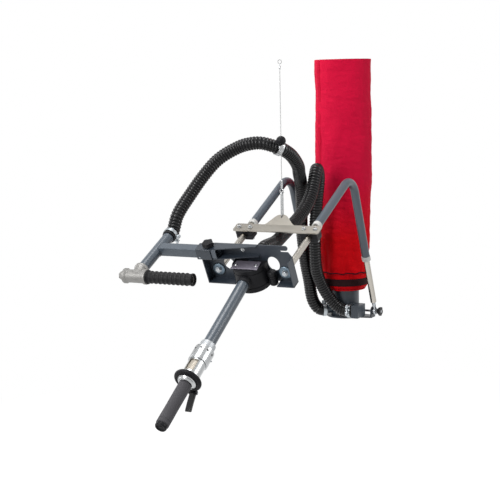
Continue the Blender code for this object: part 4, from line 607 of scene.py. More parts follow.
class Form:
    """A closed shape in the making, which becomes one piece."""

    def __init__(self) -> None:
        """Starts with nothing."""
        self.mesh = bmesh.new()
        self.edge = 0.0

    def turned(
        self, profile: Sequence[Pair], place: Matrix = IDENTITY, sides: int = 64, soft: float = 0.0004
    ) -> "Form":
        """Adds a profile turned round the place's Z axis.

        Args:
            profile: radius and height pairs.
            place: where the axis lies.
            sides: how many sides the round gets.
            soft: the rounding of its corners in metres.

        Returns:
            The form itself.
        """
        line = softened(profile, soft)
        solid = line[0][0] < 1e-9
        rings = []
        for radius, height in line[1:-1] if solid else line:
            turns = [2 * math.pi * step / sides for step in range(sides)]
            spots = [place @ Vector((radius * math.cos(t), radius * math.sin(t), height)) for t in turns]
            rings.append([self.mesh.verts.new(spot) for spot in spots])
        self._skin(rings, not solid)
        if solid:
            self.mesh.faces.new(rings[0])
            self.mesh.faces.new(rings[-1])
        return self

    def _skin(self, rings: List[List[bmesh.types.BMVert]], closed: bool) -> None:
        """Joins rings of points with faces, and the last ring to the first where the shape is closed."""
        following = rings[1:] + rings[:1] if closed else rings[1:]
        for ring, after in zip(rings, following):
            for step in range(len(ring)):
                turn = (step + 1) % len(ring)
                self.mesh.faces.new([ring[step], ring[turn], after[turn], after[step]])

    def extruded(self, outline: Sequence[Pair], low: float, high: float,
                 place: Matrix = IDENTITY) -> "Form":
        """Adds an outline in the place's XY plane, drawn out between two heights."""
        floor = [self.mesh.verts.new(place @ Vector((x, y, low))) for x, y in outline]
        lid = [self.mesh.verts.new(place @ Vector((x, y, high))) for x, y in outline]
        self.mesh.faces.new(floor)
        self.mesh.faces.new(lid)
        for index in range(len(outline)):
            after = (index + 1) % len(outline)
            self.mesh.faces.new([floor[index], floor[after], lid[after], lid[index]])
        return self

    def block(self, low: Triple, high: Triple, place: Matrix = IDENTITY) -> "Form":
        """Adds a block between two corners."""
        outline = [(low[0], low[1]), (high[0], low[1]), (high[0], high[1]), (low[0], high[1])]
        return self.extruded(outline, low[2], high[2], place)

    def swept(self, points: Sequence[Vector], radius: float, sides: int = 32,
              closed: bool = False) -> "Form":
        """Adds a round bar along a path, without twist.

        Args:
            points: the bar's centre line.
            radius: its radius in metres.
            sides: how many sides the round gets.
            closed: whether the path ends where it starts.

        Returns:
            The form itself.
        """
        count = len(points)
        rings = []
        normal = None
        for index, point in enumerate(points):
            before = points[index - 1] if closed or index else points[0]
            after = points[(index + 1) % count] if closed or index < count - 1 else points[-1]
            tangent = (after - before).normalized()
            if normal is None:
                normal = tangent.orthogonal().normalized()
            normal = (normal - tangent * normal.dot(tangent)).normalized()
            across = tangent.cross(normal)
            turns = [2 * math.pi * step / sides for step in range(sides)]
            spots = [point + (normal * math.cos(t) + across * math.sin(t)) * radius for t in turns]
            rings.append([self.mesh.verts.new(spot) for spot in spots])
        self._skin(rings, closed)
        if not closed:
            self.mesh.faces.new(rings[0])
            self.mesh.faces.new(rings[-1])
        return self

    def fitted(self, other: "Form", how: Fit) -> "Form":
        """Joins another form on, or cuts it away, and uses it up."""
        for form in (self, other):
            bmesh.ops.remove_doubles(form.mesh, verts=form.mesh.verts, dist=1e-7)
            bmesh.ops.recalc_face_normals(form.mesh, faces=form.mesh.faces)
        target = loose_object("fit_target", self.mesh)
        tool = loose_object("fit_tool", other.mesh)
        change = target.modifiers.new("fit", "BOOLEAN")
        change.operation = how.value
        change.object = tool
        change.solver = "EXACT"
        self.mesh = bmesh.new()
        self.mesh.from_mesh(evaluated(target))
        drop(target, tool)
        other.mesh.free()
        return self

    def rounded(self, width: float) -> "Form":
        """Asks for its sharp edges to be rounded when it becomes a piece."""
        self.edge = width
        return self

    def piece(
        self, name: str, finish: Finish, body: Optional[Body], stands_for: Sequence[str] = (),
        smooth: float = 35.0
    ) -> bpy.types.Object:
        """Turns the form into a piece of the lifter.

        Args:
            name: the piece's name.
            finish: its finish.
            body: the CAD body that it rides on, or None where it rides on none.
            stands_for: the CAD nodes that it stands for.
            smooth: the angle in degrees past which an edge stays sharp.

        Returns:
            The piece.
        """
        bmesh.ops.remove_doubles(self.mesh, verts=self.mesh.verts, dist=1e-6)
        bmesh.ops.recalc_face_normals(self.mesh, faces=self.mesh.faces)
        made = loose_object(name, self.mesh)
        if self.edge:
            edge = made.modifiers.new("edge", "BEVEL")
            edge.width = self.edge
            edge.segments = 3
            edge.limit_method = "ANGLE"
            edge.angle_limit = math.radians(32)
            edge.use_clamp_overlap = True
        if self.edge:
            mesh = evaluated(made)
            made.modifiers.clear()
            made.data = mesh
        made.data.shade_smooth()
        made.data.set_sharp_from_angle(angle=math.radians(smooth))
        even = made.modifiers.new("even_shading", "WEIGHTED_NORMAL")
        even.keep_sharp = True
        mesh = evaluated(made)
        made.modifiers.clear()
        made.data = mesh
        self.mesh.free()
        return settled(made, name, finish, body, stands_for)


def loose_object(name: str, mesh: bmesh.types.BMesh) -> bpy.types.Object:
    """An object in the scene from a mesh in the making."""
    data = bpy.data.meshes.new(name)
    mesh.to_mesh(data)
    made = bpy.data.objects.new(name, data)
    bpy.context.scene.collection.objects.link(made)
    return made


def evaluated(thing: bpy.types.Object) -> bpy.types.Mesh:
    """A plain mesh of an object with its modifiers carried out."""
    view = bpy.context.evaluated_depsgraph_get()
    view.update()
    return bpy.data.meshes.new_from_object(thing.evaluated_get(view))


def drop(*things: bpy.types.Object) -> None:
    """Takes helper objects out of the file."""
    for thing in things:
        data = thing.data
        bpy.data.objects.remove(thing)
        if isinstance(data, bpy.types.Mesh) and not data.users:
            bpy.data.meshes.remove(data)


def settled(
    made: bpy.types.Object, name: str, finish: Finish, body: Optional[Body], stands_for: Sequence[str] = ()
) -> bpy.types.Object:
    """Gives a piece its name, finish, body and the nodes that it stands for.

    Args:
        made: the piece.
        name: its name.
        finish: its finish.
        body: the body that it rides on, if it rides on one.
        stands_for: the CAD nodes that it stands for.

    Returns:
        The piece.
    """
    made.name = name
    made.data.name = name
    made.data.materials.clear()
    made.data.materials.append(finish.material())
    if body is not None:
        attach(made, body.value)
    if stands_for:
        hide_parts(*stands_for)
    LOG.info("%-24s %7d faces  %s", name, len(made.data.polygons), body.value if body else "bends")
    return made


# ------------------------------------------------------------ repeated shapes


class Recipe(Graph):
    """A Geometry Nodes tree with named sizes, made in the script."""

    def __init__(self, name: str, sizes: Dict[str, float]) -> None:
        """Makes the tree with one float input for each size."""
        tree = bpy.data.node_groups.new(name, "GeometryNodeTree")
        super().__init__(tree)
        face = tree.interface
        face.new_socket("Geometry", in_out="INPUT", socket_type="NodeSocketGeometry")
        face.new_socket("Geometry", in_out="OUTPUT", socket_type="NodeSocketGeometry")
        for size, value in sizes.items():
            made = face.new_socket(size, in_out="INPUT", socket_type="NodeSocketFloat")
            made.default_value = value
        self.start = tree.nodes.new("NodeGroupInput")
        self.end = tree.nodes.new("NodeGroupOutput")

    def size(self, name: str) -> Link:
        """One of the tree's named sizes, or its Geometry."""
        return Link(self, self.start.outputs[name])

    def ready(self, shape: Link, finish: Finish) -> "Recipe":
        """Ends the tree with real geometry in one finish."""
        real = self.node("GeometryNodeRealizeInstances", None, {0: shape})
        dressed = self.node("GeometryNodeSetMaterial", None,
                            {"Geometry": real, "Material": finish.material()})
        self.tree.links.new(dressed.socket, self.end.inputs[0])
        return self

    def made_on(self, points: Sequence[Vector], edges: Sequence[Tuple[int, int]],
                **sizes: float) -> bpy.types.Object:
        """Runs the tree on a few points and lines.

        Args:
            points: the places that it starts from.
            edges: the lines between them.
            sizes: values for its named sizes.

        Returns:
            A plain mesh object with the result.
        """
        data = bpy.data.meshes.new(self.tree.name)
        data.from_pydata([tuple(p) for p in points], list(edges), [])
        made = bpy.data.objects.new(self.tree.name, data)
        bpy.context.scene.collection.objects.link(made)
        change = made.modifiers.new("recipe", "NODES")
        change.node_group = self.tree
        for item in self.tree.interface.items_tree:
            if item.in_out == "INPUT" and item.name in sizes:
                change[item.identifier] = float(sizes[item.name])
        mesh = evaluated(made)
        made.modifiers.clear()
        made.data = mesh
        return made


def chain(count: int) -> List[Tuple[int, int]]:
    """Lines from each point to the next."""
    return [(index, index + 1) for index in range(count - 1)]


def hose_recipe(finish: Finish) -> Recipe:
    """A corrugated hose along a line, whose ribs fade into smooth ends."""
    tree = Recipe("corrugated_hose", {"Crest": 0.021, "Depth": 0.0027, "Pitch": 0.0092, "Start": 0.0,
                                      "Smooth Start": 0.0, "Smooth End": 0.0, "Step": 0.0011,
                                      "Length": 1.0})
    line = tree.node("GeometryNodeMeshToCurve", None, {0: tree.size("Geometry")})
    even = tree.node("GeometryNodeResampleCurve", {"mode": "LENGTH"},
                     {"Curve": line, "Length": tree.size("Step")})
    along = tree.node("GeometryNodeSplineParameter", None, None, "Length")
    wave = ((along + tree.size("Start")) * (2 * math.pi) / tree.size("Pitch")).sine() * 0.5 + 0.5
    crest = wave ** 0.55
    left = tree.size("Length") - along
    start = (along - tree.size("Smooth Start")) / 0.006
    end = (left - tree.size("Smooth End")) / 0.006
    ribbed = start.band(0.0, 1.0).least(end.band(0.0, 1.0))
    valley = tree.size("Depth") * (1.0 - crest) * ribbed
    reach = tree.size("Crest") - valley - (1.0 - ribbed) * 0.0006
    kept = tree.node("GeometryNodeStoreNamedAttribute", {"data_type": "FLOAT", "domain": "POINT"},
                     {"Geometry": even, "Name": "crest", "Value": crest * ribbed + (1.0 - ribbed) * 0.6})
    ring = tree.node("GeometryNodeCurvePrimitiveCircle", {"mode": "RADIUS"},
                     {"Resolution": 30, "Radius": 1.0})
    skin = tree.node("GeometryNodeCurveToMesh", None,
                     {"Curve": kept, "Profile Curve": ring, "Scale": reach, "Fill Caps": True})
    smooth = tree.node("GeometryNodeSetShadeSmooth", None, {"Geometry": skin, "Shade Smooth": True})
    return tree.ready(smooth, finish)


def rope_recipe(finish: Finish) -> Recipe:
    """Six strands laid round each other along a line."""
    tree = Recipe("laid_wire", {"Radius": 0.0012, "Lay": 0.014, "Step": 0.0012})
    line = tree.node("GeometryNodeMeshToCurve", None, {0: tree.size("Geometry")})
    even = tree.node("GeometryNodeResampleCurve", {"mode": "LENGTH"},
                     {"Curve": line, "Length": tree.size("Step")})
    along = tree.node("GeometryNodeSplineParameter", None, None, "Length")
    twisted = tree.node("GeometryNodeSetCurveTilt", None,
                        {"Curve": even, "Tilt": along * (2 * math.pi) / tree.size("Lay")})
    ring = tree.node("GeometryNodeCurvePrimitiveCircle", {"mode": "RADIUS"},
                     {"Resolution": 36, "Radius": 1.0})
    where = tree.node("GeometryNodeInputPosition")
    east = tree.node("ShaderNodeSeparateXYZ", None, {0: where}, "X")
    north = tree.node("ShaderNodeSeparateXYZ", None, {0: where}, "Y")
    angle = tree.node("ShaderNodeMath", {"operation": "ARCTAN2"}, {0: north, 1: east})
    lobes = (angle * 3.0).sine()
    reach = (lobes * lobes) ** 0.5 * 0.14 + 0.86
    scaled = tree.node("ShaderNodeVectorMath", {"operation": "SCALE"}, {0: where, "Scale": reach})
    strands = tree.node("GeometryNodeSetPosition", None, {"Geometry": ring, "Position": scaled})
    skin = tree.node("GeometryNodeCurveToMesh", None,
                     {"Curve": twisted, "Profile Curve": strands, "Scale": tree.size("Radius"),
                      "Fill Caps": True})
    smooth = tree.node("GeometryNodeSetShadeSmooth", None, {"Geometry": skin, "Shade Smooth": True})
    return tree.ready(smooth, finish)


def stitch_recipe(name: str, finish: Finish) -> Recipe:
    """Short rounded stitches laid end to end along a line."""
    tree = Recipe(name, {"Pitch": 0.006, "Thread": 0.0007, "Reach": 0.0042})
    line = tree.node("GeometryNodeMeshToCurve", None, {0: tree.size("Geometry")})
    spots = tree.node("GeometryNodeCurveToPoints", {"mode": "LENGTH"},
                      {"Curve": line, "Length": tree.size("Pitch")})
    turn = Link(tree, spots.socket.node.outputs["Rotation"])
    bead = tree.node("GeometryNodeMeshUVSphere", None, {"Segments": 8, "Rings": 6, "Radius": 0.5})
    size = tree.node("ShaderNodeCombineXYZ", None,
                     {0: tree.size("Thread") * 2.0, 1: tree.size("Thread") * 2.0, 2: tree.size("Reach")})
    laid = tree.node("GeometryNodeInstanceOnPoints", None,
                     {"Points": spots, "Instance": bead, "Rotation": turn, "Scale": size})
    real = tree.node("GeometryNodeRealizeInstances", None, {0: laid})
    smooth = tree.node("GeometryNodeSetShadeSmooth", None, {"Geometry": real, "Shade Smooth": True})
    return tree.ready(smooth, finish)


def repeated(
    recipe: Recipe, name: str, finish: Finish, body: Optional[Body], points: Sequence[Vector],
    **sizes: float
) -> bpy.types.Object:
    """Runs a recipe along a line of points and settles the result as a piece."""
    made = recipe.made_on(points, chain(len(points)), **sizes)
    return settled(made, name, finish, body)


def smooth_route(points: Sequence[Sequence[float]], steps: int) -> List[Vector]:
    """Reads evenly placed points from a smooth curve through a route's own points."""
    places = [Vector(point) for point in points]
    read: List[Vector] = []
    for index in range(len(places) - 1):
        start = places[index]
        end = places[index + 1]
        before = places[max(index - 1, 0)]
        after = places[min(index + 2, len(places) - 1)]
        reach = (end - start).length / 3
        leave = start + (end - before).normalized() * reach
        arrive = end - (after - start).normalized() * reach
        read += interpolate_bezier(start, leave, arrive, end, steps + 1)[:-1]
    read.append(places[-1])
    return read


def relaxed(points: Sequence[Vector], kept: float, rounds: int) -> List[Vector]:
    """Spaces a line's points evenly and eases its sharp bends, with both ends kept as they are.

    Args:
        points: the line.
        kept: length at each end that doesn't move.
        rounds: how many times each point moves towards its neighbours.

    Returns:
        The eased line.
    """
    full = length_of(points)
    count = int(full / 0.004)
    even = [points[0].copy()]
    target, along = full / count, 0.0
    for before, after in zip(points, points[1:]):
        step = (after - before).length
        while len(even) < count and along + step >= target * len(even):
            even.append(before.lerp(after, (target * len(even) - along) / step))
        along += step
    even.append(points[-1].copy())
    hold = int(kept / target)
    for _ in range(rounds):
        moved = [(before + here * 2 + after) / 4 for before, here, after in zip(even, even[1:], even[2:])]
        even[hold:-hold] = moved[hold - 1:len(moved) - hold + 1]
    return even


def length_of(points: Sequence[Vector]) -> float:
    """Length of a line of points."""
    return sum((after - before).length for before, after in zip(points, points[1:]))


def stretch_of(points: Sequence[Vector], low: float, high: float) -> List[Vector]:
    """The part of a line between two lengths along it."""
    made: List[Vector] = []
    along = 0.0
    for before, after in zip(points, points[1:]):
        step = (after - before).length
        for cut in (low, high):
            if along <= cut <= along + step and step > 0:
                spot = before.lerp(after, (cut - along) / step)
                if not made or (made[-1] - spot).length > 1e-5:
                    made.append(spot)
        along += step
        if low < along < high and (not made or (made[-1] - after).length > 1e-5):
            made.append(after.copy())
    return made


# --------------------------------------------------------------------- places


@dataclass(frozen=True)
class Layout:
    """Sizes that several sub-assemblies share, as the CAD model has them."""

    ear_drop: float = 0.850
    arm_spacing: float = 0.220
    arm_lean: float = math.radians(21.5)
    rod_slope: float = math.radians(26.8)
    bracket_reach: float = 0.680
    bracket_height: float = 0.230
    handle_slope: float = math.radians(33.0)
    handle_x: float = 0.006
    hub_axis_height: float = 0.022
    hub_axis_depth: float = 0.0335
    handle_rise: float = 0.0068
    hose_radius: float = 0.021
    clamp_back: float = 0.196
    clamp_height: float = 0.032
    side_arm_height: float = 0.073
    side_arm_size: float = 0.030
    cross_tube_x: float = -0.290
    cross_tube_back: float = 0.064
    sheet: float = 0.003

    def base(self) -> Matrix:
        """The ear axis, on which the frame tilts."""
        return Matrix.Translation((0, 0, -self.ear_drop))

    def face(self) -> Matrix:
        """The bracket's sloping face: X along it, Y up it, Z out towards the operator."""
        here = Matrix.Translation((0, -self.bracket_reach, self.bracket_height))
        return self.base() @ here @ Matrix.Rotation(math.pi / 2 + self.rod_slope, 4, "X")

    def handle(self) -> Matrix:
        """The handle's axis, Z towards the operator."""
        foot = self.face() @ Vector((self.handle_x, self.handle_rise, self.hub_axis_depth))
        return Matrix.Translation(foot) @ Matrix.Rotation(math.pi / 2 + self.handle_slope, 4, "X")

    def leg(self, side: int) -> Matrix:
        """The axis of one leg, from its ear pivot up."""
        here = Matrix.Translation((side * self.arm_spacing / 2, 0, 0))
        return self.base() @ here @ Matrix.Rotation(self.arm_lean, 4, "X")

    def side_arm_depth(self) -> float:
        """How far the side arm's centre stands off the bracket's face."""
        return self.side_arm_size / 2 + RUN + 0.003 + FIT

    def hump(self) -> Matrix:
        """The lifted middle of the spreader plate, from its fold."""
        seat = self.clamp_height / 2 + FIT
        fold = Matrix.Translation((0, seat, -self.clamp_back - 0.019))
        swap = Matrix(((1, 0, 0, 0), (0, 0, 1, 0), (0, -1, 0, 0), (0, 0, 0, 1)))
        return self.face() @ fold @ Matrix.Rotation(math.radians(25.0), 4, "X") @ swap


LAYOUT = Layout()
SIDES = (("left", -1), ("right", 1))


# ------------------------------------------------------------- sub-assemblies


def wrap_cloth(made: bpy.types.Object, radius: float) -> None:
    """Lays a UV map in metres round a piece that stands about the Z axis.

    Args:
        made: the piece.
        radius: the radius at which one radian is one radius of cloth.
    """
    data = made.data
    layer = data.uv_layers.new(name="cloth")
    for face in data.polygons:
        first = None
        for loop in face.loop_indices:
            spot = data.vertices[data.loops[loop].vertex_index].co
            angle = math.atan2(spot.y, spot.x)
            if first is None:
                first = angle
            if angle - first > math.pi:
                angle -= 2 * math.pi
            elif first - angle > math.pi:
                angle += 2 * math.pi
            layer.data[loop].uv = (angle * radius, spot.z)


@dataclass
class SleeveShape:
    """The red sleeve's surface: its profile, its pleats over the strap and its soft creases."""

    top_radius: float = 0.0950
    waist_radius: float = 0.0878
    gather_radius: float = 0.0798
    strap_radius: float = 0.0768
    hem_radius: float = 0.0690
    hem_low: float = 0.073
    strap_low: float = 0.088
    strap_high: float = 0.116
    gather_height: float = 0.134
    waist_height: float = 0.250
    full_height: float = 0.520
    top: float = 0.8495
    pleats: int = 23
    gather_depth: float = 0.0026
    hem_depth: float = 0.0022
    pleat_sharpness: float = 0.6

    def profile(self, height: float) -> float:
        """The sleeve's smooth radius at a height above the ears."""
        marks = [(self.hem_low, self.hem_radius), (self.strap_low, self.strap_radius),
                 (self.strap_high, self.strap_radius), (self.gather_height, self.gather_radius),
                 (self.waist_height, self.waist_radius), (self.full_height, self.top_radius),
                 (self.top, self.top_radius)]
        for (low, first), (high, last) in zip(marks, marks[1:]):
            if height <= high:
                share = max(0.0, (height - low) / (high - low))
                return first + (last - first) * share * share * (3 - 2 * share)
        return self.top_radius

    def crease(self, angle: float, height: float) -> float:
        """How far the cloth lies off its smooth radius, in metres."""
        around = Vector((math.cos(angle), math.sin(angle), 0.0))
        drift = noise.noise(Vector((around.x * 1.7, around.y * 1.7, height * 3.0)))
        jitter = noise.noise(Vector((around.x * 5.0, around.y * 5.0, 3.7)))
        pleat = abs(math.sin(self.pleats * angle / 2 + jitter * 2.2 + drift * 0.6))
        above = max(0.0, height - self.strap_high)
        held = min(1.0, above / 0.010)
        fade = math.exp(-above / 0.050)
        depth = -self.gather_depth * (1.0 - pleat ** self.pleat_sharpness) * fade * held
        if height < self.strap_low:
            depth = -self.hem_depth * (1.0 - pleat ** self.pleat_sharpness) * min(
                1.0, (self.strap_low - height) / 0.008)
        slant = Vector((around.x * 3.2, around.y * 3.2, height * 17.0 + angle * 0.35))
        fine = Vector((around.x * 2.8, around.y * 2.8, height * 62.0 + angle * 0.8))
        low_part = math.exp(-max(0.0, height - 0.20) / 0.30)
        broad = noise.noise(slant) * (0.0013 + 0.0014 * low_part)
        soft = broad + noise.noise(fine) * 0.0011 * (0.6 + low_part)
        bulge = noise.noise(Vector((around.x * 1.3, around.y * 1.3, height * 7.5 + 11.0))) * 0.0040
        free = min(1.0, above / 0.030) * min(1.0, max(0.0, self.top - height) / 0.035)
        return depth + min(0.0030, soft + bulge - 0.0005) * free

    def spot(self, angle: float, height: float, proud: float = 0.0) -> Vector:
        """A place on the cloth, in the row frame."""
        reach = self.profile(height) + self.crease(angle, height) + proud
        return Vector((reach * math.cos(angle), reach * math.sin(angle), height - LAYOUT.ear_drop))


@dataclass
class LiftingTube:
    """Ring, lift hose and the red cover sleeve with its seams.

    The sleeve is split at its drawn cord. What lies above it rides on the hanger, and the
    gathered hem below it stays with the adapter.
    """

    shape: SleeveShape = field(default_factory=SleeveShape)
    ring_radius: float = 0.0925
    ring_thickness: float = 0.006
    spigot_radius: float = 0.064
    spigot_length: float = 0.045
    hose_wall: float = 0.005
    wall: float = 0.0013
    around: int = 216
    up: int = 215
    seam_angle: float = math.radians(-124.4)
    seam_width: float = 0.016
    drawstring_height: float = 0.1335
    lift_keep: float = 0.4417
    hose_keep: float = 0.4665
    row_spread: float = 1.35
    sleeve_inner_rows: int = 70
    gather_outer_rows: int = 56
    gather_inner_rows: int = 14

    def build(self) -> List[bpy.types.Object]:
        """Builds the pieces between the ring and the adapter."""
        ring, hose = self.ring(), self.lift_hose()
        shape, split = self.shape, self.drawstring_height
        outside = [split + (shape.top - split) * (step / self.up) ** self.row_spread for step in range(self.up + 1)]
        sleeve = self.cloth_shell("red_cover_sleeve", outside, self.sleeve_inner_rows, Body.HANGER)
        on_sleeve = [self.lap_tape(), *self.lap_stitches()]
        for piece in (sleeve, *on_sleeve):
            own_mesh(piece)
        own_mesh(hose)
        rows = self.gather_outer_rows
        outside = [shape.hem_low + (split - shape.hem_low) * step / rows for step in range(rows + 1)]
        gather = self.cloth_shell("red_sleeve_gather", outside, self.gather_inner_rows, Body.BASE)
        on_gather = [self.drawstring(),
                     self.stitch_ring("sleeve_stitches_hem", shape.hem_low + 0.0055, Body.BASE),
                     self.stitch_ring("sleeve_stitches_channel_low", split - 0.0050, Body.BASE)]
        return [ring, hose, sleeve, *on_sleeve, gather, *on_gather]

    def ring(self) -> bpy.types.Object:
        """The turned ring with its spigot and a shallow groove under the cloth."""
        bore = self.spigot_radius - 0.004
        low = -self.ring_thickness - self.spigot_length
        profile = [(bore, 0), (self.ring_radius, 0), (self.ring_radius, -0.0022),
                   (self.ring_radius - 0.0012, -0.0026),
                   (self.ring_radius - 0.0012, -0.0038), (self.ring_radius, -0.0042),
                   (self.ring_radius, -self.ring_thickness), (self.spigot_radius, -self.ring_thickness),
                   (self.spigot_radius, low), (bore, low)]
        return Form().turned(profile, sides=112, soft=0.0005).piece(
            "ring_with_spigot", CAST, Body.HANGER, ["top_ring"])

    def lift_hose(self) -> bpy.types.Object:
        """The ribbed hose that carries the load, inside the sleeve."""
        inner = self.spigot_radius + FIT
        low = -LAYOUT.ear_drop + 0.1003
        high = -self.ring_thickness - FIT
        ribs = 58
        pitch = (high - low - 0.024) / ribs
        line = [(inner, low), (inner + self.hose_wall, low)]
        for rib in range(ribs):
            foot = low + 0.012 + rib * pitch
            line += [(inner + self.hose_wall, foot + 0.10 * pitch),
                     (inner + self.hose_wall - 0.0026, foot + 0.38 * pitch),
                     (inner + self.hose_wall - 0.0026, foot + 0.62 * pitch),
                     (inner + self.hose_wall, foot + 0.90 * pitch)]
        line += [(inner + self.hose_wall, high), (inner, high)]
        return Form().turned(line, sides=72, soft=0.0).piece(
            "ribbed_lift_hose", LIFT_RUBBER, Body.HANGER, ["lift_hose"], 60.0)

    def cloth_shell(self, name: str, outside: Sequence[float], rows: int, body: Body) -> bpy.types.Object:
        """A stretch of the cloth sleeve as one closed thin shell.

        Args:
            name: its name.
            outside: the heights of its outer rows, from the lowest.
            rows: how many steps its inner side has.
            body: the body that it rides on.

        Returns:
            The shell.
        """
        shape = self.shape
        cloth = bmesh.new()
        rings = []
        low, high = outside[0], outside[-1]
        inside = [high - (high - low) * step / rows for step in range(rows + 1)]
        for heights, inset in ((outside, 0.0), (inside, self.wall)):
            for height in heights:
                turns = [2 * math.pi * step / self.around for step in range(self.around)]
                rings.append([cloth.verts.new(shape.spot(t, height, -inset)) for t in turns])
        for ring, after in zip(rings, rings[1:] + rings[:1]):
            for step in range(self.around):
                turn = (step + 1) % self.around
                cloth.faces.new([ring[step], ring[turn], after[turn], after[step]])
        bmesh.ops.recalc_face_normals(cloth, faces=cloth.faces)
        made = loose_object(name, cloth)
        cloth.free()
        made.data.shade_smooth()
        made.data.set_sharp_from_angle(angle=math.radians(70))
        wrap_cloth(made, shape.top_radius)
        return settled(made, name, RED_CLOTH, body, ["cover_sleeve"])

    def lap_tape(self) -> bpy.types.Object:
        """The overlapped edge that closes the sleeve from top to bottom. Its darker red is painted shade along the
        lap.
        """
        shape = self.shape
        half = self.seam_width / 2 / shape.top_radius
        tape = bmesh.new()
        rows = []
        for step in range(171):
            foot = self.drawstring_height + 0.0008
            height = foot + (shape.top - 0.0008 - foot) * step / 170
            across = [-half + 2 * half * part / 8 for part in range(9)]
            over = [shape.spot(self.seam_angle + turn, height, 0.0011 if 0 < index < 8 else 0.0005)
                    for index, turn in enumerate(across)]
            under = [shape.spot(self.seam_angle + turn, height, -0.0006) for turn in reversed(across)]
            rows.append([tape.verts.new(place) for place in over + under])
        for row, after in zip(rows, rows[1:]):
            for step in range(len(row)):
                turn = (step + 1) % len(row)
                tape.faces.new([row[step], row[turn], after[turn], after[step]])
        tape.faces.new(rows[0])
        tape.faces.new(rows[-1])
        bmesh.ops.recalc_face_normals(tape, faces=tape.faces)
        made = loose_object("sleeve_lap_tape", tape)
        tape.free()
        made.data.shade_smooth()
        made.data.set_sharp_from_angle(angle=math.radians(50))
        wrap_cloth(made, shape.top_radius)
        return settled(made, "sleeve_lap_tape", SHADED_RED_TAPE, Body.HANGER)

    def lap_stitches(self) -> List[bpy.types.Object]:
        """Two rows of stitches down the lapped edge."""
        shape = self.shape
        recipe = stitch_recipe("lap_stitch_row", RED_THREAD)
        made = []
        for label, share in (("inner", -0.30), ("outer", 0.30)):
            turn = self.seam_angle + share * self.seam_width / shape.top_radius
            line = [shape.spot(turn, 0.1375 + 0.7065 * step / 120, 0.0013) for step in range(121)]
            row = repeated(recipe, f"lap_stitches_{label}", RED_THREAD, Body.HANGER, line,
                           **{"Pitch": 0.0048, "Thread": 0.0005, "Reach": 0.0034})
            wrap_cloth(row, shape.top_radius)
            made.append(row)
        return made

    def drawstring(self) -> bpy.types.Object:
        """The dark wavy cord channel sewn in above the strap."""
        shape = self.shape
        line = []
        for step in range(260):
            angle = 2 * math.pi * step / 260
            wave = 0.0012 * math.sin(11 * angle) + 0.0011 * noise.noise(Vector((
                math.cos(angle) * 4, math.sin(angle) * 4, 1)))
            line.append(shape.spot(angle, self.drawstring_height + wave, 0.0002))
        made = Form().swept(line, 0.0021, 10, True).piece("sleeve_cord_channel", THREAD, Body.BASE)
        wrap_cloth(made, shape.gather_radius)
        return made

    def stitch_ring(self, name: str, height: float, body: Body) -> bpy.types.Object:
        """A row of stitches all the way round the sleeve.

        Args:
            name: its name.
            height: its height above the ears.
            body: the body that it rides on.

        Returns:
            The row.
        """
        line = [self.shape.spot(2 * math.pi * step / 240, height, 0.0004) for step in range(241)]
        recipe = stitch_recipe(f"{name}_recipe", THREAD)
        row = repeated(recipe, name, THREAD, body, line,
                       **{"Pitch": 0.0052, "Thread": 0.0006, "Reach": 0.0036})
        wrap_cloth(row, self.shape.gather_radius)
        return row


@dataclass
class HoseClamp:
    """A bolted band clamp: band, two folded ears, cross bolt and nut."""

    radius: float = 0.0217
    width: float = 0.012
    band: float = 0.0014

    def build(self, name: str, place: Matrix, body: Body, node: str) -> List[bpy.types.Object]:
        """Builds the clamp.

        Args:
            name: the name of its pieces.
            place: Z along the hose, X towards the bolt.
            body: the body that it rides on.
            node: the CAD node that it stands for.

        Returns:
            The band with its ears, and the bolt.
        """
        half = self.width / 2
        outer = self.radius + self.band
        form = Form().turned(tube(outer, self.radius, -half, half), place, 72, 0.0003)
        for side in (-1, 1):
            ear = rounded_box(outer - 0.0030, side * 0.009 - 0.0029, outer + 0.0086, side * 0.009 + 0.0029,
                              0.0022)
            form.extruded(ear, -half * 0.82, half * 0.82, place)
        band = form.rounded(0.0005).piece(name, BAND_STEEL, body, [node])
        across = place @ shifted(x=outer + 0.0050, turn=ALONG_Y)
        bolt = Form().turned(bar(0.0022, -0.0195, 0.0172), across, 24, 0.0003)
        bolt.extruded(hexagon(0.0072), -0.0165, -0.0125, across)
        bolt.extruded(hexagon(0.0072), 0.0122, 0.0160, across)
        return [band, bolt.rounded(0.0004).piece(f"{name}_bolt", ZINC, body)]


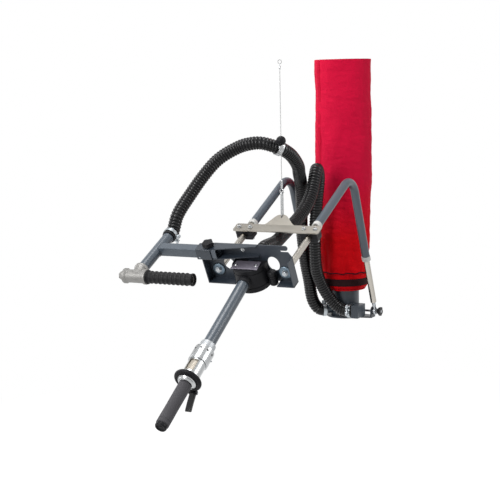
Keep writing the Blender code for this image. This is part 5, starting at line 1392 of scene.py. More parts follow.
@dataclass
class Adapter:
    """The lower adapter with its hose stubs, the eared plate and the strap round the sleeve."""

    radius: float = 0.0475
    wall: float = 0.004
    floor: float = -0.017
    neck_top: float = 0.080
    spigot_base: float = 0.100
    spigot_top: float = 0.145
    spigot_radius: float = 0.064
    plate_low: float = -0.022
    disc_radius: float = 0.062
    ear_width: float = 0.034
    ear_thickness: float = 0.0045
    inlet: Triple = (0.058, -0.0692, 0.008)
    side_outlet: Triple = (-0.053, -0.040, 0.002)
    stub_radius: float = 0.018
    strap_radius: float = 0.0773
    strap_low: float = 0.090
    strap_width: float = 0.024

    def build(self) -> List[bpy.types.Object]:
        """Builds the foot of the lifting tube."""
        return [self.body(), self.bead(), self.plate(), *self.strap()]

    def body(self) -> bpy.types.Object:
        """The turned body with its inlet, its side stub and the boss of the spindle."""
        bore = self.radius - self.wall
        shoulder = self.spigot_radius + 0.005
        profile = [(bore, self.floor + FIT), (self.radius, self.floor + FIT), (self.radius, self.neck_top),
                   (shoulder, self.spigot_base - 0.006), (shoulder, self.spigot_base),
                   (self.spigot_radius, self.spigot_base), (self.spigot_radius, self.spigot_top),
                   (self.spigot_radius - 0.004, self.spigot_top),
                   (self.spigot_radius - 0.004, self.spigot_base - 0.004),
                   (bore, self.neck_top)]
        base = LAYOUT.base()
        form = Form().turned(profile, base, 96, 0.0010)
        x, y, z = self.inlet
        elbow = [(0.036, -0.025), (0.084, -0.025), (0.084, y - 0.021), (x + 0.002, y - 0.021),
                 (x + 0.002, -0.043),
                 (0.036, -0.043)]
        form.fitted(Form().extruded(elbow, z - 0.021, z + 0.021, base), Fit.JOIN)
        form.fitted(Form().turned(bar(self.stub_radius, 0, 0.012), base @ shifted(x + FIT, y, z, ALONG_X),
                                  56), Fit.JOIN)
        end = Vector((self.side_outlet[0], self.side_outlet[1], 0))
        turn = end.normalized().to_track_quat("Z", "Y").to_matrix().to_4x4()
        stub = shifted(z=self.side_outlet[2] + 0.003, turn=turn)
        form.fitted(Form().turned(bar(self.stub_radius - 0.002, bore + 0.001, end.length - FIT),
                                  base @ stub, 52), Fit.JOIN)
        boss = bar(0.0075, bore + 0.0005, self.radius + 0.008)
        form.fitted(Form().turned(boss, base @ ALONG_X, 40), Fit.JOIN)
        return form.rounded(0.0016).piece("adapter_body", ADAPTER_PAINT, Body.BASE, ["lower_adapter"])

    def bead(self) -> bpy.types.Object:
        """The rolled weld between the adapter and its plate."""
        profile = [(self.radius - 0.001, self.floor - 0.0001), (self.radius + 0.0030, self.floor - 0.0001),
                   (self.radius + 0.0022, self.floor + 0.0018), (self.radius + 0.0006, self.floor + 0.0034),
                   (self.radius - 0.001, self.floor + 0.0038)]
        return Form().turned(profile, LAYOUT.base(), 96, 0.0006).piece(
            "adapter_weld", BRACKET_PAINT, Body.BASE)

    def plate(self) -> bpy.types.Object:
        """The round plate whose two ends are folded up as ears."""
        base = LAYOUT.base()
        half_span = LAYOUT.arm_spacing / 2 - 0.006 - RUN
        half_width = self.ear_width / 2
        tangent = math.acos(half_width / self.disc_radius) * 0.86
        outline = [(half_span, -half_width), (half_span, half_width)]
        for sign in (1, -1):
            for step in range(33):
                angle = sign * math.pi / 2 - tangent + 2 * tangent * step / 32
                outline.append((self.disc_radius * math.cos(angle), self.disc_radius * math.sin(angle)))
            if sign == 1:
                outline += [(-half_span, half_width), (-half_span, -half_width)]
        form = Form().extruded(outline, self.plate_low, self.floor, base)
        tab = [(half_width, self.plate_low + 0.001)]
        tab += [(half_width * math.cos(math.pi * step / 28),
                 half_width * math.sin(math.pi * step / 28) * 0.9)
                for step in range(29)]
        tab += [(-half_width, self.plate_low + 0.001)]
        upright = Matrix(((0, 0, 1, 0), (1, 0, 0, 0), (0, 1, 0, 0), (0, 0, 0, 1)))
        for side in (-1, 1):
            low, high = sorted((side * half_span, side * (half_span - self.ear_thickness)))
            form.fitted(Form().extruded(tab, low, high, base @ upright), Fit.JOIN)
        bore = Form().turned(bar(self.radius - self.wall, -0.1, 0.1), base, 96, 0.0)
        form.fitted(bore, Fit.CUT)
        return form.rounded(0.0009).piece("eared_plate", BRACKET_PAINT, Body.BASE, ["base_plate"])

    def strap(self) -> List[bpy.types.Object]:
        """The webbing strap, its folded tail and its buckle."""
        base = LAYOUT.base()
        inner = self.strap_radius
        high = self.strap_low + self.strap_width
        band = Form().turned(tube(inner + 0.0018, inner, self.strap_low, high), base, 128, 0.0007)
        strap = band.piece("webbing_strap", STRAP_TAPE, Body.BASE, ["sleeve_strap"])
        wrap_cloth(strap, inner)
        tail = bmesh.new()
        rows = []
        for step in range(49):
            angle = math.radians(-112 + 62 * step / 48)
            lift = inner + 0.0019 + (0.0006 if step in (0, 48) else 0.0012)
            corners = [(inner + 0.001, self.strap_low + 0.001), (lift, self.strap_low + 0.001),
                       (lift, high - 0.001),
                       (inner + 0.001, high - 0.001)]
            rows.append([tail.verts.new(base @ Vector((r * math.cos(angle), r * math.sin(angle), z))) for r,
                         z in corners])
        for row, after in zip(rows, rows[1:]):
            for step in range(4):
                turn = (step + 1) % 4
                tail.faces.new([row[step], row[turn], after[turn], after[step]])
        tail.faces.new(rows[0])
        tail.faces.new(rows[-1])
        form = Form()
        form.mesh.free()
        form.mesh = tail
        over = form.rounded(0.0004).piece("strap_tail", STRAP_TAPE, Body.BASE)
        wrap_cloth(over, inner)
        place = base @ spun(60)
        buckle = Form()
        outer = inner + 0.0018
        for low, top in ((-0.016, -0.013), (-0.0015, 0.0015), (0.013, 0.016)):
            buckle.extruded(rounded_box(outer - 0.001, low, outer + 0.004, top, 0.0010), self.strap_low,
                            high, place)
        for low, top in ((self.strap_low - 0.001, self.strap_low + 0.0015), (high - 0.0015, high + 0.001)):
            buckle.extruded(rounded_box(outer - 0.001, -0.016, outer + 0.004, 0.016, 0.0015), low, top,
                            place)
        return [strap, over, buckle.rounded(0.0005).piece("strap_buckle", PLASTIC, Body.BASE)]


@dataclass
class EarPivots:
    """Spindle, bolt and star knob on which the frame tilts."""

    pin: float = 0.0037
    washer: float = 0.0015
    eye_width: float = 0.012

    def build(self) -> List[bpy.types.Object]:
        """Builds the pivots of both ears."""
        base = LAYOUT.base() @ ALONG_X
        outside = LAYOUT.arm_spacing / 2 + self.eye_width / 2
        inside = LAYOUT.arm_spacing / 2 - self.eye_width / 2 - RUN - 0.0045
        collar = outside + FIT
        foot = outside + self.washer + 3 * FIT + RUN
        end = foot + 0.009
        spindle = [(0, 0.0555 + FIT), (self.pin, 0.0555 + FIT), (self.pin, collar), (0.0095, collar),
                   (0.0095, collar + self.washer), (self.pin, collar + self.washer), (self.pin, end),
                   (0, end)]
        made = [Form().turned(spindle, base, 48).piece(
            "friction_spindle", ZINC, Body.BASE, ["pivot_spindle"])]
        nut = -(inside - FIT)
        bolt = [(0, -collar - self.washer), (0.0095, -collar - self.washer), (0.0095, -collar),
                (self.pin, -collar),
                (self.pin, nut + 0.0085), (0, nut + 0.0085)]
        form = Form().turned(bolt, base, 48)
        head = -collar - self.washer + 0.0005
        form.extruded(hexagon(0.013), head - 0.006, head, base)
        form.extruded(hexagon(0.013), nut, nut + 0.0065, base)
        made.append(form.rounded(0.0005).piece("left_ear_bolt", ZINC, Body.BASE, ["left_pivot_bolt"]))
        place = LAYOUT.base() @ shifted(x=foot, turn=ALONG_X)
        made += StarKnob(0.0155, 0.008, 0.0075, 0.006, 0.0048).build(
            "friction_star_knob", place, Body.EAR_KNOB, "pivot_knob")
        return made


@dataclass
class StarKnob:
    """A five-lobed hand knob with a metal insert."""

    radius: float
    thickness: float
    stem_radius: float
    stem_length: float
    insert: float
    screw: float = 0.0

    def build(self, name: str, place: Matrix, body: Body, node: str) -> List[bpy.types.Object]:
        """Builds the knob.

        Args:
            name: its name.
            place: Z away from the stem's foot.
            body: the body that it rides on.
            node: the CAD node that it stands for.

        Returns:
            The moulded knob and its insert.
        """
        outline = []
        for step in range(120):
            angle = 2 * math.pi * step / 120
            reach = self.radius * (0.92 + 0.08 * math.cos(5 * angle))
            outline.append((reach * math.cos(angle), reach * math.sin(angle)))
        top = self.stem_length + self.thickness
        form = Form().extruded(outline, self.stem_length, top - 0.0004, place).rounded(0.0022)
        form.turned(bar(self.stem_radius, 0, self.stem_length + 0.003), place, 48, 0.0008)
        knob = form.piece(name, PLASTIC, body, [node])
        insert = Form().turned(bar(self.insert, top - 0.003, top), place, 40, 0.0005)
        if self.screw:
            insert.turned(bar(0.003, self.screw, 0.006), place, 28, 0.0003)
        return [knob, insert.piece(f"{name}_insert", ZINC if not self.screw else PLASTIC, body)]


@dataclass
class Arms:
    """Two bent arms, their pale end bushes, the stainless rods and the rod ends."""

    tube_radius: float = 0.01345
    bend_radius: float = 0.060
    leg_start: float = 0.2118
    rod_radius: float = 0.010
    insert: float = 0.060
    bush_radius: float = 0.0148
    bush_length: float = 0.014
    pin: float = 0.004
    eye_radius: float = 0.012
    shoulder: float = 0.034

    def path(self) -> List[Vector]:
        """The bent centre line of an arm, about the ear pivot."""
        lean, slope = LAYOUT.arm_lean, LAYOUT.rod_slope
        rear = Vector((0, -math.sin(lean), math.cos(lean)))
        front = Vector((0, -math.cos(slope), -math.sin(slope)))
        bolts = Vector((0, -LAYOUT.bracket_reach, LAYOUT.bracket_height))
        reach = (bolts.y * front.z - bolts.z * front.y) / (rear.y * front.z - rear.z * front.y)
        turning = rear.angle(front)
        start = rear * reach - rear * self.bend_radius * math.tan(turning / 2)
        centre = start + Vector((0, -rear.z, rear.y)) * self.bend_radius
        points = [rear * self.leg_start, (rear * self.leg_start + start) / 2]
        for step in range(29):
            points.append(centre + Matrix.Rotation(turning * step / 28, 3, "X") @ (start - centre))
        points.append((points[-1] + bolts - front * (LAYOUT.clamp_back + 0.056)) / 2)
        points.append(bolts - front * (LAYOUT.clamp_back + 0.056))
        return points

    def build(self) -> List[bpy.types.Object]:
        """Builds both sides."""
        made = []
        for label, side in SIDES:
            made += self.one(label, side)
        return made

    def one(self, label: str, side: int) -> List[bpy.types.Object]:
        """Builds the arm, bushes, rods and rod end of one side."""
        x = side * LAYOUT.arm_spacing / 2
        base, face, leg = LAYOUT.base(), LAYOUT.face(), LAYOUT.leg(side)
        place = base @ Matrix.Translation((x, 0, 0))
        arm = Form().swept([place @ point for point in self.path()], self.tube_radius, 64)
        arm = arm.rounded(0.0006).piece(f"bent_arm_{label}", FRAME_PAINT, Body.FRAME, [f"arm_{label}"])
        front_end = LAYOUT.clamp_back + 0.056
        ring = tube(self.bush_radius, self.rod_radius + FIT, -0.002, self.bush_length)
        bushes = Form().turned(ring, face @ shifted(x, 0, -front_end), 64, 0.0012)
        bushes.turned(ring, leg @ shifted(z=self.leg_start, turn=spun(180, "X")), 64, 0.0012)
        top = self.leg_start + self.insert
        rear = [(0, top), (self.rod_radius, top), (self.rod_radius, self.shoulder + 0.003),
                (0.0074, self.shoulder), (0, self.shoulder)]
        front = [(0, -front_end - self.insert), (self.rod_radius, -front_end - self.insert),
                 (self.rod_radius, -LAYOUT.sheet - FIT), (0, -LAYOUT.sheet - FIT)]
        neck = [(0, 0.008), (0.0060, 0.008), (0.0052, 0.016), (0.0062, 0.0245),
                (0.0062, self.shoulder - FIT),
                (0, self.shoulder - FIT)]
        end = Form().turned(neck, leg, 40, 0.0006)
        half = 0.006
        housing = [(0.0056, -half * 0.72), (self.eye_radius, -half * 0.72), (self.eye_radius, half * 0.72),
                   (0.0056, half * 0.72)]
        end.turned(housing, leg @ ALONG_X, 56, 0.0012)
        ball = [(self.pin, -half), (0.0052, -half), (0.0064, 0.0), (0.0052, half), (self.pin, half)]
        return [
            arm,
            bushes.piece(f"arm_bushes_{label}", PALE_PLASTIC, Body.FRAME),
            Form().turned(rear, leg, 56, 0.0008).piece(
                f"leg_rod_{label}", ROD_STEEL, Body.FRAME, [f"rear_rod_{label}"]),
            Form().turned(front, face @ shifted(x), 56, 0.0008).piece(
                f"reach_rod_{label}", ROD_STEEL, Body.FRAME, [f"front_rod_{label}"]),
            end.piece(f"rod_end_housing_{label}", ZINC, Body.FRAME, [f"rod_end_{label}"]),
            Form().turned(ball, leg @ ALONG_X, 40, 0.0006).piece(
                f"rod_end_ball_{label}", POLISHED, Body.FRAME),
        ]


@dataclass
class Spreader:
    """The folded stainless spreader plate, its two split clamps and four bolts."""

    width: float = 0.290
    depth: float = 0.038
    thickness: float = 0.004
    hump_half: float = 0.056
    hump_depth: float = 0.038
    eye_radius: float = 0.0035
    eye_to_tip: float = 0.0075
    clamp_width: float = 0.056
    clamp_depth: float = 0.030
    bolt_offset: float = 0.019

    def seat(self) -> float:
        """Height of the plate's underside on the bracket's frame."""
        return LAYOUT.clamp_height / 2 + FIT

    def bolt_places(self) -> List[float]:
        """Where the four bolts stand along X."""
        return [side * LAYOUT.arm_spacing / 2 + step * self.bolt_offset for side in (-1, 1) for step in (
            -1, 1)]

    def build(self) -> List[bpy.types.Object]:
        """Builds the plate, clamps and bolts."""
        return [self.plate(), *self.clamps(), *self.bolts()]

    def hump_outline(self) -> List[Pair]:
        """The lifted middle as an even ogee."""
        half, depth = self.hump_half, self.hump_depth
        points: List[Pair] = [(half, -0.0022)]
        for step in range(41):
            share = step / 40
            x = half * (1 - share)
            rise = 0.5 - 0.5 * math.cos(math.pi * min(1.0, share * 1.12))
            points.append((x, depth * rise ** 0.92))
        mirrored = [(-x, y) for x, y in reversed(points[:-1])]
        return points + mirrored

    def plate(self) -> bpy.types.Object:
        """The flat bar with its middle folded up to the eye."""
        face, hump = LAYOUT.face(), LAYOUT.hump()
        low = -LAYOUT.clamp_back - self.depth / 2
        outline = rounded_box(-self.width / 2, low, self.width / 2, low + self.depth, 0.006, 10)
        flat = Matrix(((1, 0, 0, 0), (0, 0, 1, self.seat()), (0, 1, 0, 0), (0, 0, 0, 1)))
        form = Form().extruded(outline, 0, self.thickness, face @ flat)
        form.fitted(Form().extruded(self.hump_outline(), 0, self.thickness, hump), Fit.JOIN)
        eye = hump @ Matrix.Translation((0, self.hump_depth - self.eye_to_tip, 0))
        form.fitted(Form().turned(bar(self.eye_radius, -0.02, 0.03), eye, 48, 0.0), Fit.CUT)
        return form.rounded(0.0006).piece("spreader_bar", SPREADER_STEEL, Body.FRAME, ["spreader_plate"])

    def clamps(self) -> List[bpy.types.Object]:
        """The two moulded pipe clamps with their split and moulding ribs."""
        face = LAYOUT.face()
        half = LAYOUT.clamp_height / 2
        low, high = -LAYOUT.clamp_back - self.clamp_depth / 2, -LAYOUT.clamp_back + self.clamp_depth / 2
        made = []
        for label, side in SIDES:
            x = side * LAYOUT.arm_spacing / 2
            outline = rounded_box(x - self.clamp_width / 2, -half, x + self.clamp_width / 2, half, 0.005)
            form = Form().extruded(outline, low, high, face)
            form.fitted(Form().block((x - self.clamp_width, -0.0006, low - 0.01),
                                     (x + self.clamp_width, 0.0006, low + 0.0022), face), Fit.CUT)
            form.fitted(Form().block((x - self.clamp_width, -0.0006, high - 0.0022),
                                     (x + self.clamp_width, 0.0006, high + 0.01), face), Fit.CUT)
            for end in (-1, 1):
                near, far = sorted((x + end * (self.clamp_width / 2 - 0.0022),
                                    x + end * (self.clamp_width / 2 + 0.01)))
                form.fitted(Form().block((near, -0.0006, low - 0.01), (far, 0.0006, high + 0.01), face),
                            Fit.CUT)
            form.fitted(Form().turned(bar(0.0102, low - 0.01, high + 0.01), face @ shifted(x), 56, 0.0),
                        Fit.CUT)
            made.append(form.rounded(0.0009).piece(
                f"split_clamp_{label}", PLASTIC, Body.FRAME, [f"pipe_clamp_{label}"]))
        return made

    def bolts(self) -> List[bpy.types.Object]:
        """Dome-headed bolts with washers, sockets and lock nuts."""
        top = self.seat() + self.thickness
        foot = top + FIT + 0.0015
        half = LAYOUT.clamp_height / 2
        made = []
        for number, x in enumerate(self.bolt_places(), 1):
            upright = LAYOUT.face() @ shifted(x=x, z=-LAYOUT.clamp_back, turn=ALONG_Y)
            line = [(0, foot + 0.0070), (0.0020, foot + 0.0068), (0.0042, foot + 0.0052),
                    (0.0054, foot + 0.0022),
                    (0.0055, foot), (0.0075, foot), (0.0075, top + FIT), (0.003, top + FIT),
                    (0.003, -half - 0.0075),
                    (0, -half - 0.0075)]
            form = Form().turned(line, upright, 48, 0.0004)
            form.fitted(Form().extruded(circle(0.0022, 6), foot + 0.0042, foot + 0.012, upright), Fit.CUT)
            form.extruded(hexagon(0.0100), -half - 0.0045, -half - FIT, upright)
            form.turned(bar(0.0042, -half - 0.0060, -half - 0.0040), upright, 40, 0.0006)
            made.append(form.rounded(0.0003).piece(
                f"clamp_bolt_{number}", POLISHED, Body.FRAME, [f"spreader_bolt_{number}"]))
        return made


@dataclass
class Bracket:
    """The folded bracket with its channel, arm sleeve, rod bolts and the locking knob."""

    left: float = -0.140
    right: float = 0.143
    bottom: float = -0.033
    top: float = 0.091
    flange: float = 0.030
    left_flange_top: float = 0.050
    right_flange_top: float = 0.052
    channel_end: float = 0.040
    channel_end_depth: float = 0.008
    block_left: float = -0.150
    block_right: float = -0.101
    block_wall: float = 0.003
    hub_half: float = 0.0525
    knob_x: float = -0.112
    stop_x: float = -0.012

    def build(self) -> List[bpy.types.Object]:
        """Builds the bracket and what is fixed on it."""
        return [self.sheet(), self.block(), *self.rod_bolts(), *self.small_screws(), *self.knob()]

    def outline(self) -> List[Pair]:
        """The face's outline with its hook at the upper right."""
        right, top, notch = self.right, self.top, 0.0055
        hook = [(right - 0.031 - 0.0027 * math.sin(math.pi * step / 8),
                 top - 0.021 + notch * step / 8) for step in range(9)]
        tip = []
        for step in range(9):
            angle = math.radians(-80 + 170 * step / 8)
            tip.append((right - 0.0150 + 0.0064 * math.cos(angle), top - 0.0078 + 0.0078 * math.sin(angle)))
        return [(self.left, self.bottom), (right, self.bottom), (right, self.right_flange_top),
                (right - 0.010, top - 0.021), *hook, *tip, (self.left, top)]

    def sheet(self) -> bpy.types.Object:
        """The folded sheet itself."""
        face, sheet = LAYOUT.face(), LAYOUT.sheet
        form = Form().extruded(self.outline(), -sheet, 0, face)
        flat = Matrix(((1, 0, 0, 0), (0, 0, 1, 0), (0, 1, 0, 0), (0, 0, 0, 1)))
        right = self.right - sheet
        vent = LAYOUT.handle_x + self.hub_half + 0.014
        parts = [((self.left, self.bottom, -sheet), (self.left + sheet, self.left_flange_top, self.flange)),
                 ((right, self.bottom, -sheet), (self.right, self.right_flange_top, self.flange)),
                 ((self.left, self.bottom, -sheet),
                  (LAYOUT.handle_x - self.hub_half - 0.002, self.bottom + sheet, self.flange)),
                 ((vent + 0.0145, self.bottom, -sheet), (self.right, self.bottom + sheet, self.flange))]
        for low, high in parts:
            form.fitted(Form().block(low, high, face), Fit.JOIN)
        middle, half = LAYOUT.side_arm_height, LAYOUT.side_arm_size / 2 + RUN
        web = [(self.block_right + FIT, -sheet), (self.block_right + FIT, self.flange + 0.004),
               (self.channel_end, self.channel_end_depth), (self.channel_end, -sheet)]
        for low in (middle - half - sheet, middle + half):
            form.fitted(Form().extruded(web, low, low + sheet, face @ flat), Fit.JOIN)
        for x, height, radius, tall in ((-0.071, 0.020, 0.0175, 0.020), (0.078, 0.028, 0.0190, 0.0245)):
            hole = Form().extruded(circle(radius, 72, (x, height), tall / radius), -0.02, 0.004, face)
            form.fitted(hole, Fit.CUT)
        socket = face @ shifted(LAYOUT.handle_x, LAYOUT.hub_axis_height)
        form.fitted(Form().turned(bar(0.0173, -0.02, 0.02), socket, 64, 0.0), Fit.CUT)
        return form.rounded(0.0009).piece("folded_bracket", BRACKET_PAINT, Body.FRAME, ["bracket"])

    def block(self) -> bpy.types.Object:
        """The square sleeve in which the side arm slides."""
        face = LAYOUT.face()
        outer = LAYOUT.side_arm_size / 2 + RUN + self.block_wall
        inner = LAYOUT.side_arm_size / 2 + FIT
        middle, depth = LAYOUT.side_arm_height, LAYOUT.side_arm_depth()
        along = face @ shifted(y=middle, z=depth, turn=ALONG_X)
        form = Form().extruded(rounded_box(-outer, -outer, outer, outer, 0.004), self.block_left,
                               self.block_right, along)
        form.fitted(Form().extruded(rounded_box(-inner, -inner, inner, inner, 0.0024), -0.2, 0.0, along),
                    Fit.CUT)
        return form.rounded(0.0007).piece("square_arm_sleeve", BRACKET_PAINT, Body.FRAME, ["arm_sleeve"])

    def rod_bolts(self) -> List[bpy.types.Object]:
        """The two hex bolts that hold the rods, on their broad washers."""
        made = []
        for label, side in SIDES:
            place = LAYOUT.face() @ shifted(x=side * LAYOUT.arm_spacing / 2)
            washer = Form().turned([(0.0043, FIT), (0.0200, FIT), (0.0200, 0.0028), (0.0185, 0.004),
                                    (0.0043, 0.004)],
                                   place, 72, 0.0005)
            made.append(washer.piece(f"broad_washer_{label}", WASHER_STEEL, Body.FRAME,
                                     [f"rod_washer_{label}"]))
            line = [(0, -0.027), (0.004, -0.027), (0.004, 0.0043), (0.0098, 0.0043), (0.0098, 0.0055),
                    (0.0060, 0.0057),
                    (0.0060, 0.0062), (0, 0.0062)]
            form = Form().turned(line, place, 56, 0.0003)
            head = circle(0.0086, 6) if side < 0 else [
                (x * 0.94 - y * 0.34, x * 0.34 + y * 0.94) for x, y in circle(0.0086, 6)]
            form.extruded(head, 0.0054, 0.0102, place)
            form.turned([(0, 0.0098), (0.0066, 0.0098), (0.0058, 0.0108), (0, 0.0108)], place, 48, 0.0002)
            made.append(form.rounded(0.0005).piece(
                f"rod_hex_bolt_{label}", ZINC, Body.FRAME, [f"rod_bolt_{label}"]))
        return made

    def small_screws(self) -> List[bpy.types.Object]:
        """The stop screw in the channel and the set screw in the arm sleeve."""
        made = []
        face = LAYOUT.face()
        front = LAYOUT.side_arm_depth() + LAYOUT.side_arm_size / 2 + RUN + self.block_wall
        spots = (("channel_stop_screw", self.stop_x, LAYOUT.side_arm_height, 0.0, 0.0062, POLISHED),
                 ("sleeve_set_screw", -0.1405, LAYOUT.side_arm_height - 0.010, front - 0.0008, 0.0034,
                  ZINC))
        for name, x, height, depth, radius, finish in spots:
            place = face @ shifted(x, height, depth)
            line = [(0, -0.002), (radius * 0.55, -0.002), (radius * 0.55, 0.0), (radius, 0.0002),
                    (radius, radius * 0.22),
                    (radius * 0.62, radius * 0.26), (radius * 0.60, radius * 0.62), (0, radius * 0.70)]
            form = Form().turned(line, place, 40, 0.0003)
            form.fitted(Form().extruded(circle(radius * 0.28, 6), radius * 0.35, radius * 2, place),
                        Fit.CUT)
            made.append(form.piece(name, finish, Body.FRAME))
        return made

    def knob(self) -> List[bpy.types.Object]:
        """The star knob that locks the side arm."""
        outer = LAYOUT.side_arm_size / 2 + RUN + self.block_wall
        foot = LAYOUT.side_arm_height + outer + FIT
        place = LAYOUT.face() @ shifted(self.knob_x, foot, LAYOUT.side_arm_depth(), spun(-90, "X"))
        tip = -(foot - LAYOUT.side_arm_height - LAYOUT.side_arm_size / 2 - 2 * FIT)
        return StarKnob(0.0175, 0.012, 0.008, 0.004, 0.0040, tip).build(
            "arm_locking_knob", place, Body.LOCK_KNOB, "arm_lock_knob")


@dataclass
class Hub:
    """The rubber hub round the handle tube, its cover, hose stub and air vent."""

    half: float = 0.0525
    low: float = -0.037
    high: float = 0.038
    flat_depth: float = 0.012
    tube_radius: float = 0.0175
    stub_radius: float = 0.018
    stub_length: float = 0.040

    def outline(self, grow: float = 0.0) -> List[Pair]:
        """The hub's D shape, seen from above."""
        points = [(-self.half - grow, FIT), (self.half + grow, FIT)]
        for step in range(41):
            angle = math.pi * step / 40
            points.append(((self.half + grow) * math.cos(angle),
                           self.flat_depth + (self.half + grow) * math.sin(angle)))
        return points

    def build(self) -> List[bpy.types.Object]:
        """Builds the hub and its parts."""
        return [self.body(), self.lip(), *self.cover(), self.stub(), *self.vent()]

    def flat(self) -> Matrix:
        """The hub's own XY plane: X along the bracket, Y out from it, Z up the face."""
        return LAYOUT.face() @ Matrix(((1, 0, 0, LAYOUT.handle_x), (0, 0, 1, 0), (0, 1, 0, 0),
                                       (0, 0, 0, 1)))

    def body(self) -> bpy.types.Object:
        """The moulded body with grooves round its nose."""
        form = Form().extruded(self.outline(), self.low, self.high, self.flat())
        for height in (-0.022, 0.024):
            ring = Form().extruded(self.outline(0.004), height - 0.0011, height + 0.0011, self.flat())
            inner = self.outline(-0.0014)
            core = Form().extruded(inner, height - 0.01, height + 0.01, self.flat())
            form.fitted(ring.fitted(core, Fit.CUT), Fit.CUT)
        form.fitted(Form().turned(bar(self.tube_radius + 0.0012, -0.012, 0.1), LAYOUT.handle(), 64, 0.0),
                    Fit.CUT)
        socket = LAYOUT.face() @ shifted(LAYOUT.handle_x, LAYOUT.hub_axis_height)
        form.fitted(Form().turned(bar(0.0173, -0.02, 0.012), socket, 56, 0.0), Fit.CUT)
        return form.rounded(0.0016).piece("hub_body", RUBBER, Body.FRAME, ["hub"])

    def lip(self) -> bpy.types.Object:
        """The collar where the handle tube enters the hub."""
        radius = self.tube_radius
        depth = 0.043
        profile = [(radius + 0.0002, depth - 0.016), (radius + 0.0042, depth - 0.016),
                   (radius + 0.0042, depth - 0.004),
                   (radius + 0.0030, depth), (radius + 0.0002, depth)]
        return Form().turned(profile, LAYOUT.handle(), 64, 0.0008).piece("hub_lip", RUBBER, Body.FRAME)

    def cover(self) -> List[bpy.types.Object]:
        """The cover plate and its two countersunk screws."""
        outline = [(-0.040, 0.012), (0.040, 0.012), (0.044, 0.052), (-0.044, 0.052)]
        plate = Form().extruded(outline, self.high + FIT, self.high + 0.0043, self.flat()).rounded(0.0014)
        made = [plate.piece("hub_cover_plate", COVER_PAINT, Body.FRAME, ["hub_cover"])]
        for label, side in SIDES:
            place = self.flat() @ shifted(side * 0.033, 0.034, self.high + 0.0038)
            line = [(0, 0.0), (0.0052, 0.0), (0.0050, 0.0010), (0.0036, 0.0022), (0, 0.0028)]
            form = Form().turned(line, place, 40, 0.0003)
            form.fitted(Form().extruded(circle(0.0016, 6), 0.0012, 0.006, place), Fit.CUT)
            made.append(form.piece(f"hub_cover_screw_{label}", POLISHED, Body.FRAME))
        return made

    def stub(self) -> bpy.types.Object:
        """The tube behind the bracket that the handle's hose is pushed against."""
        profile = [(self.stub_radius - 0.004, -self.stub_length), (self.stub_radius, -self.stub_length),
                   (self.stub_radius, -LAYOUT.sheet - FIT), (self.stub_radius - 0.001, -LAYOUT.sheet - FIT),
                   (self.stub_radius - 0.001, 0.010), (self.stub_radius - 0.004, 0.010)]
        place = LAYOUT.face() @ shifted(LAYOUT.handle_x, LAYOUT.hub_axis_height)
        return Form().turned(profile, place, 64, 0.0006).piece(
            "hub_rear_stub", BRACKET_PAINT, Body.FRAME, ["hub_hose_stub"])

    def vent(self) -> List[bpy.types.Object]:
        """The grooved vent cap beside the hub."""
        x = LAYOUT.handle_x + self.half + 0.014
        place = LAYOUT.face() @ shifted(x, 0, 0.0145, spun(-90, "X"))
        line = [(0, -0.034), (0.0105, -0.034), (0.0125, -0.032)]
        for groove in range(5):
            foot = -0.0295 + groove * 0.0066
            line += [(0.0125, foot), (0.0113, foot + 0.0004), (0.0113, foot + 0.0016),
                     (0.0125, foot + 0.0020)]
        line += [(0.0125, 0.004), (0.0135, 0.0055), (0.0135, 0.010), (0.0115, 0.012), (0, 0.012)]
        form = Form().turned(line, place, 56, 0.0003)
        return [form.piece("vent_cap_grooved", PLASTIC, Body.FRAME, ["vent_cap"])]


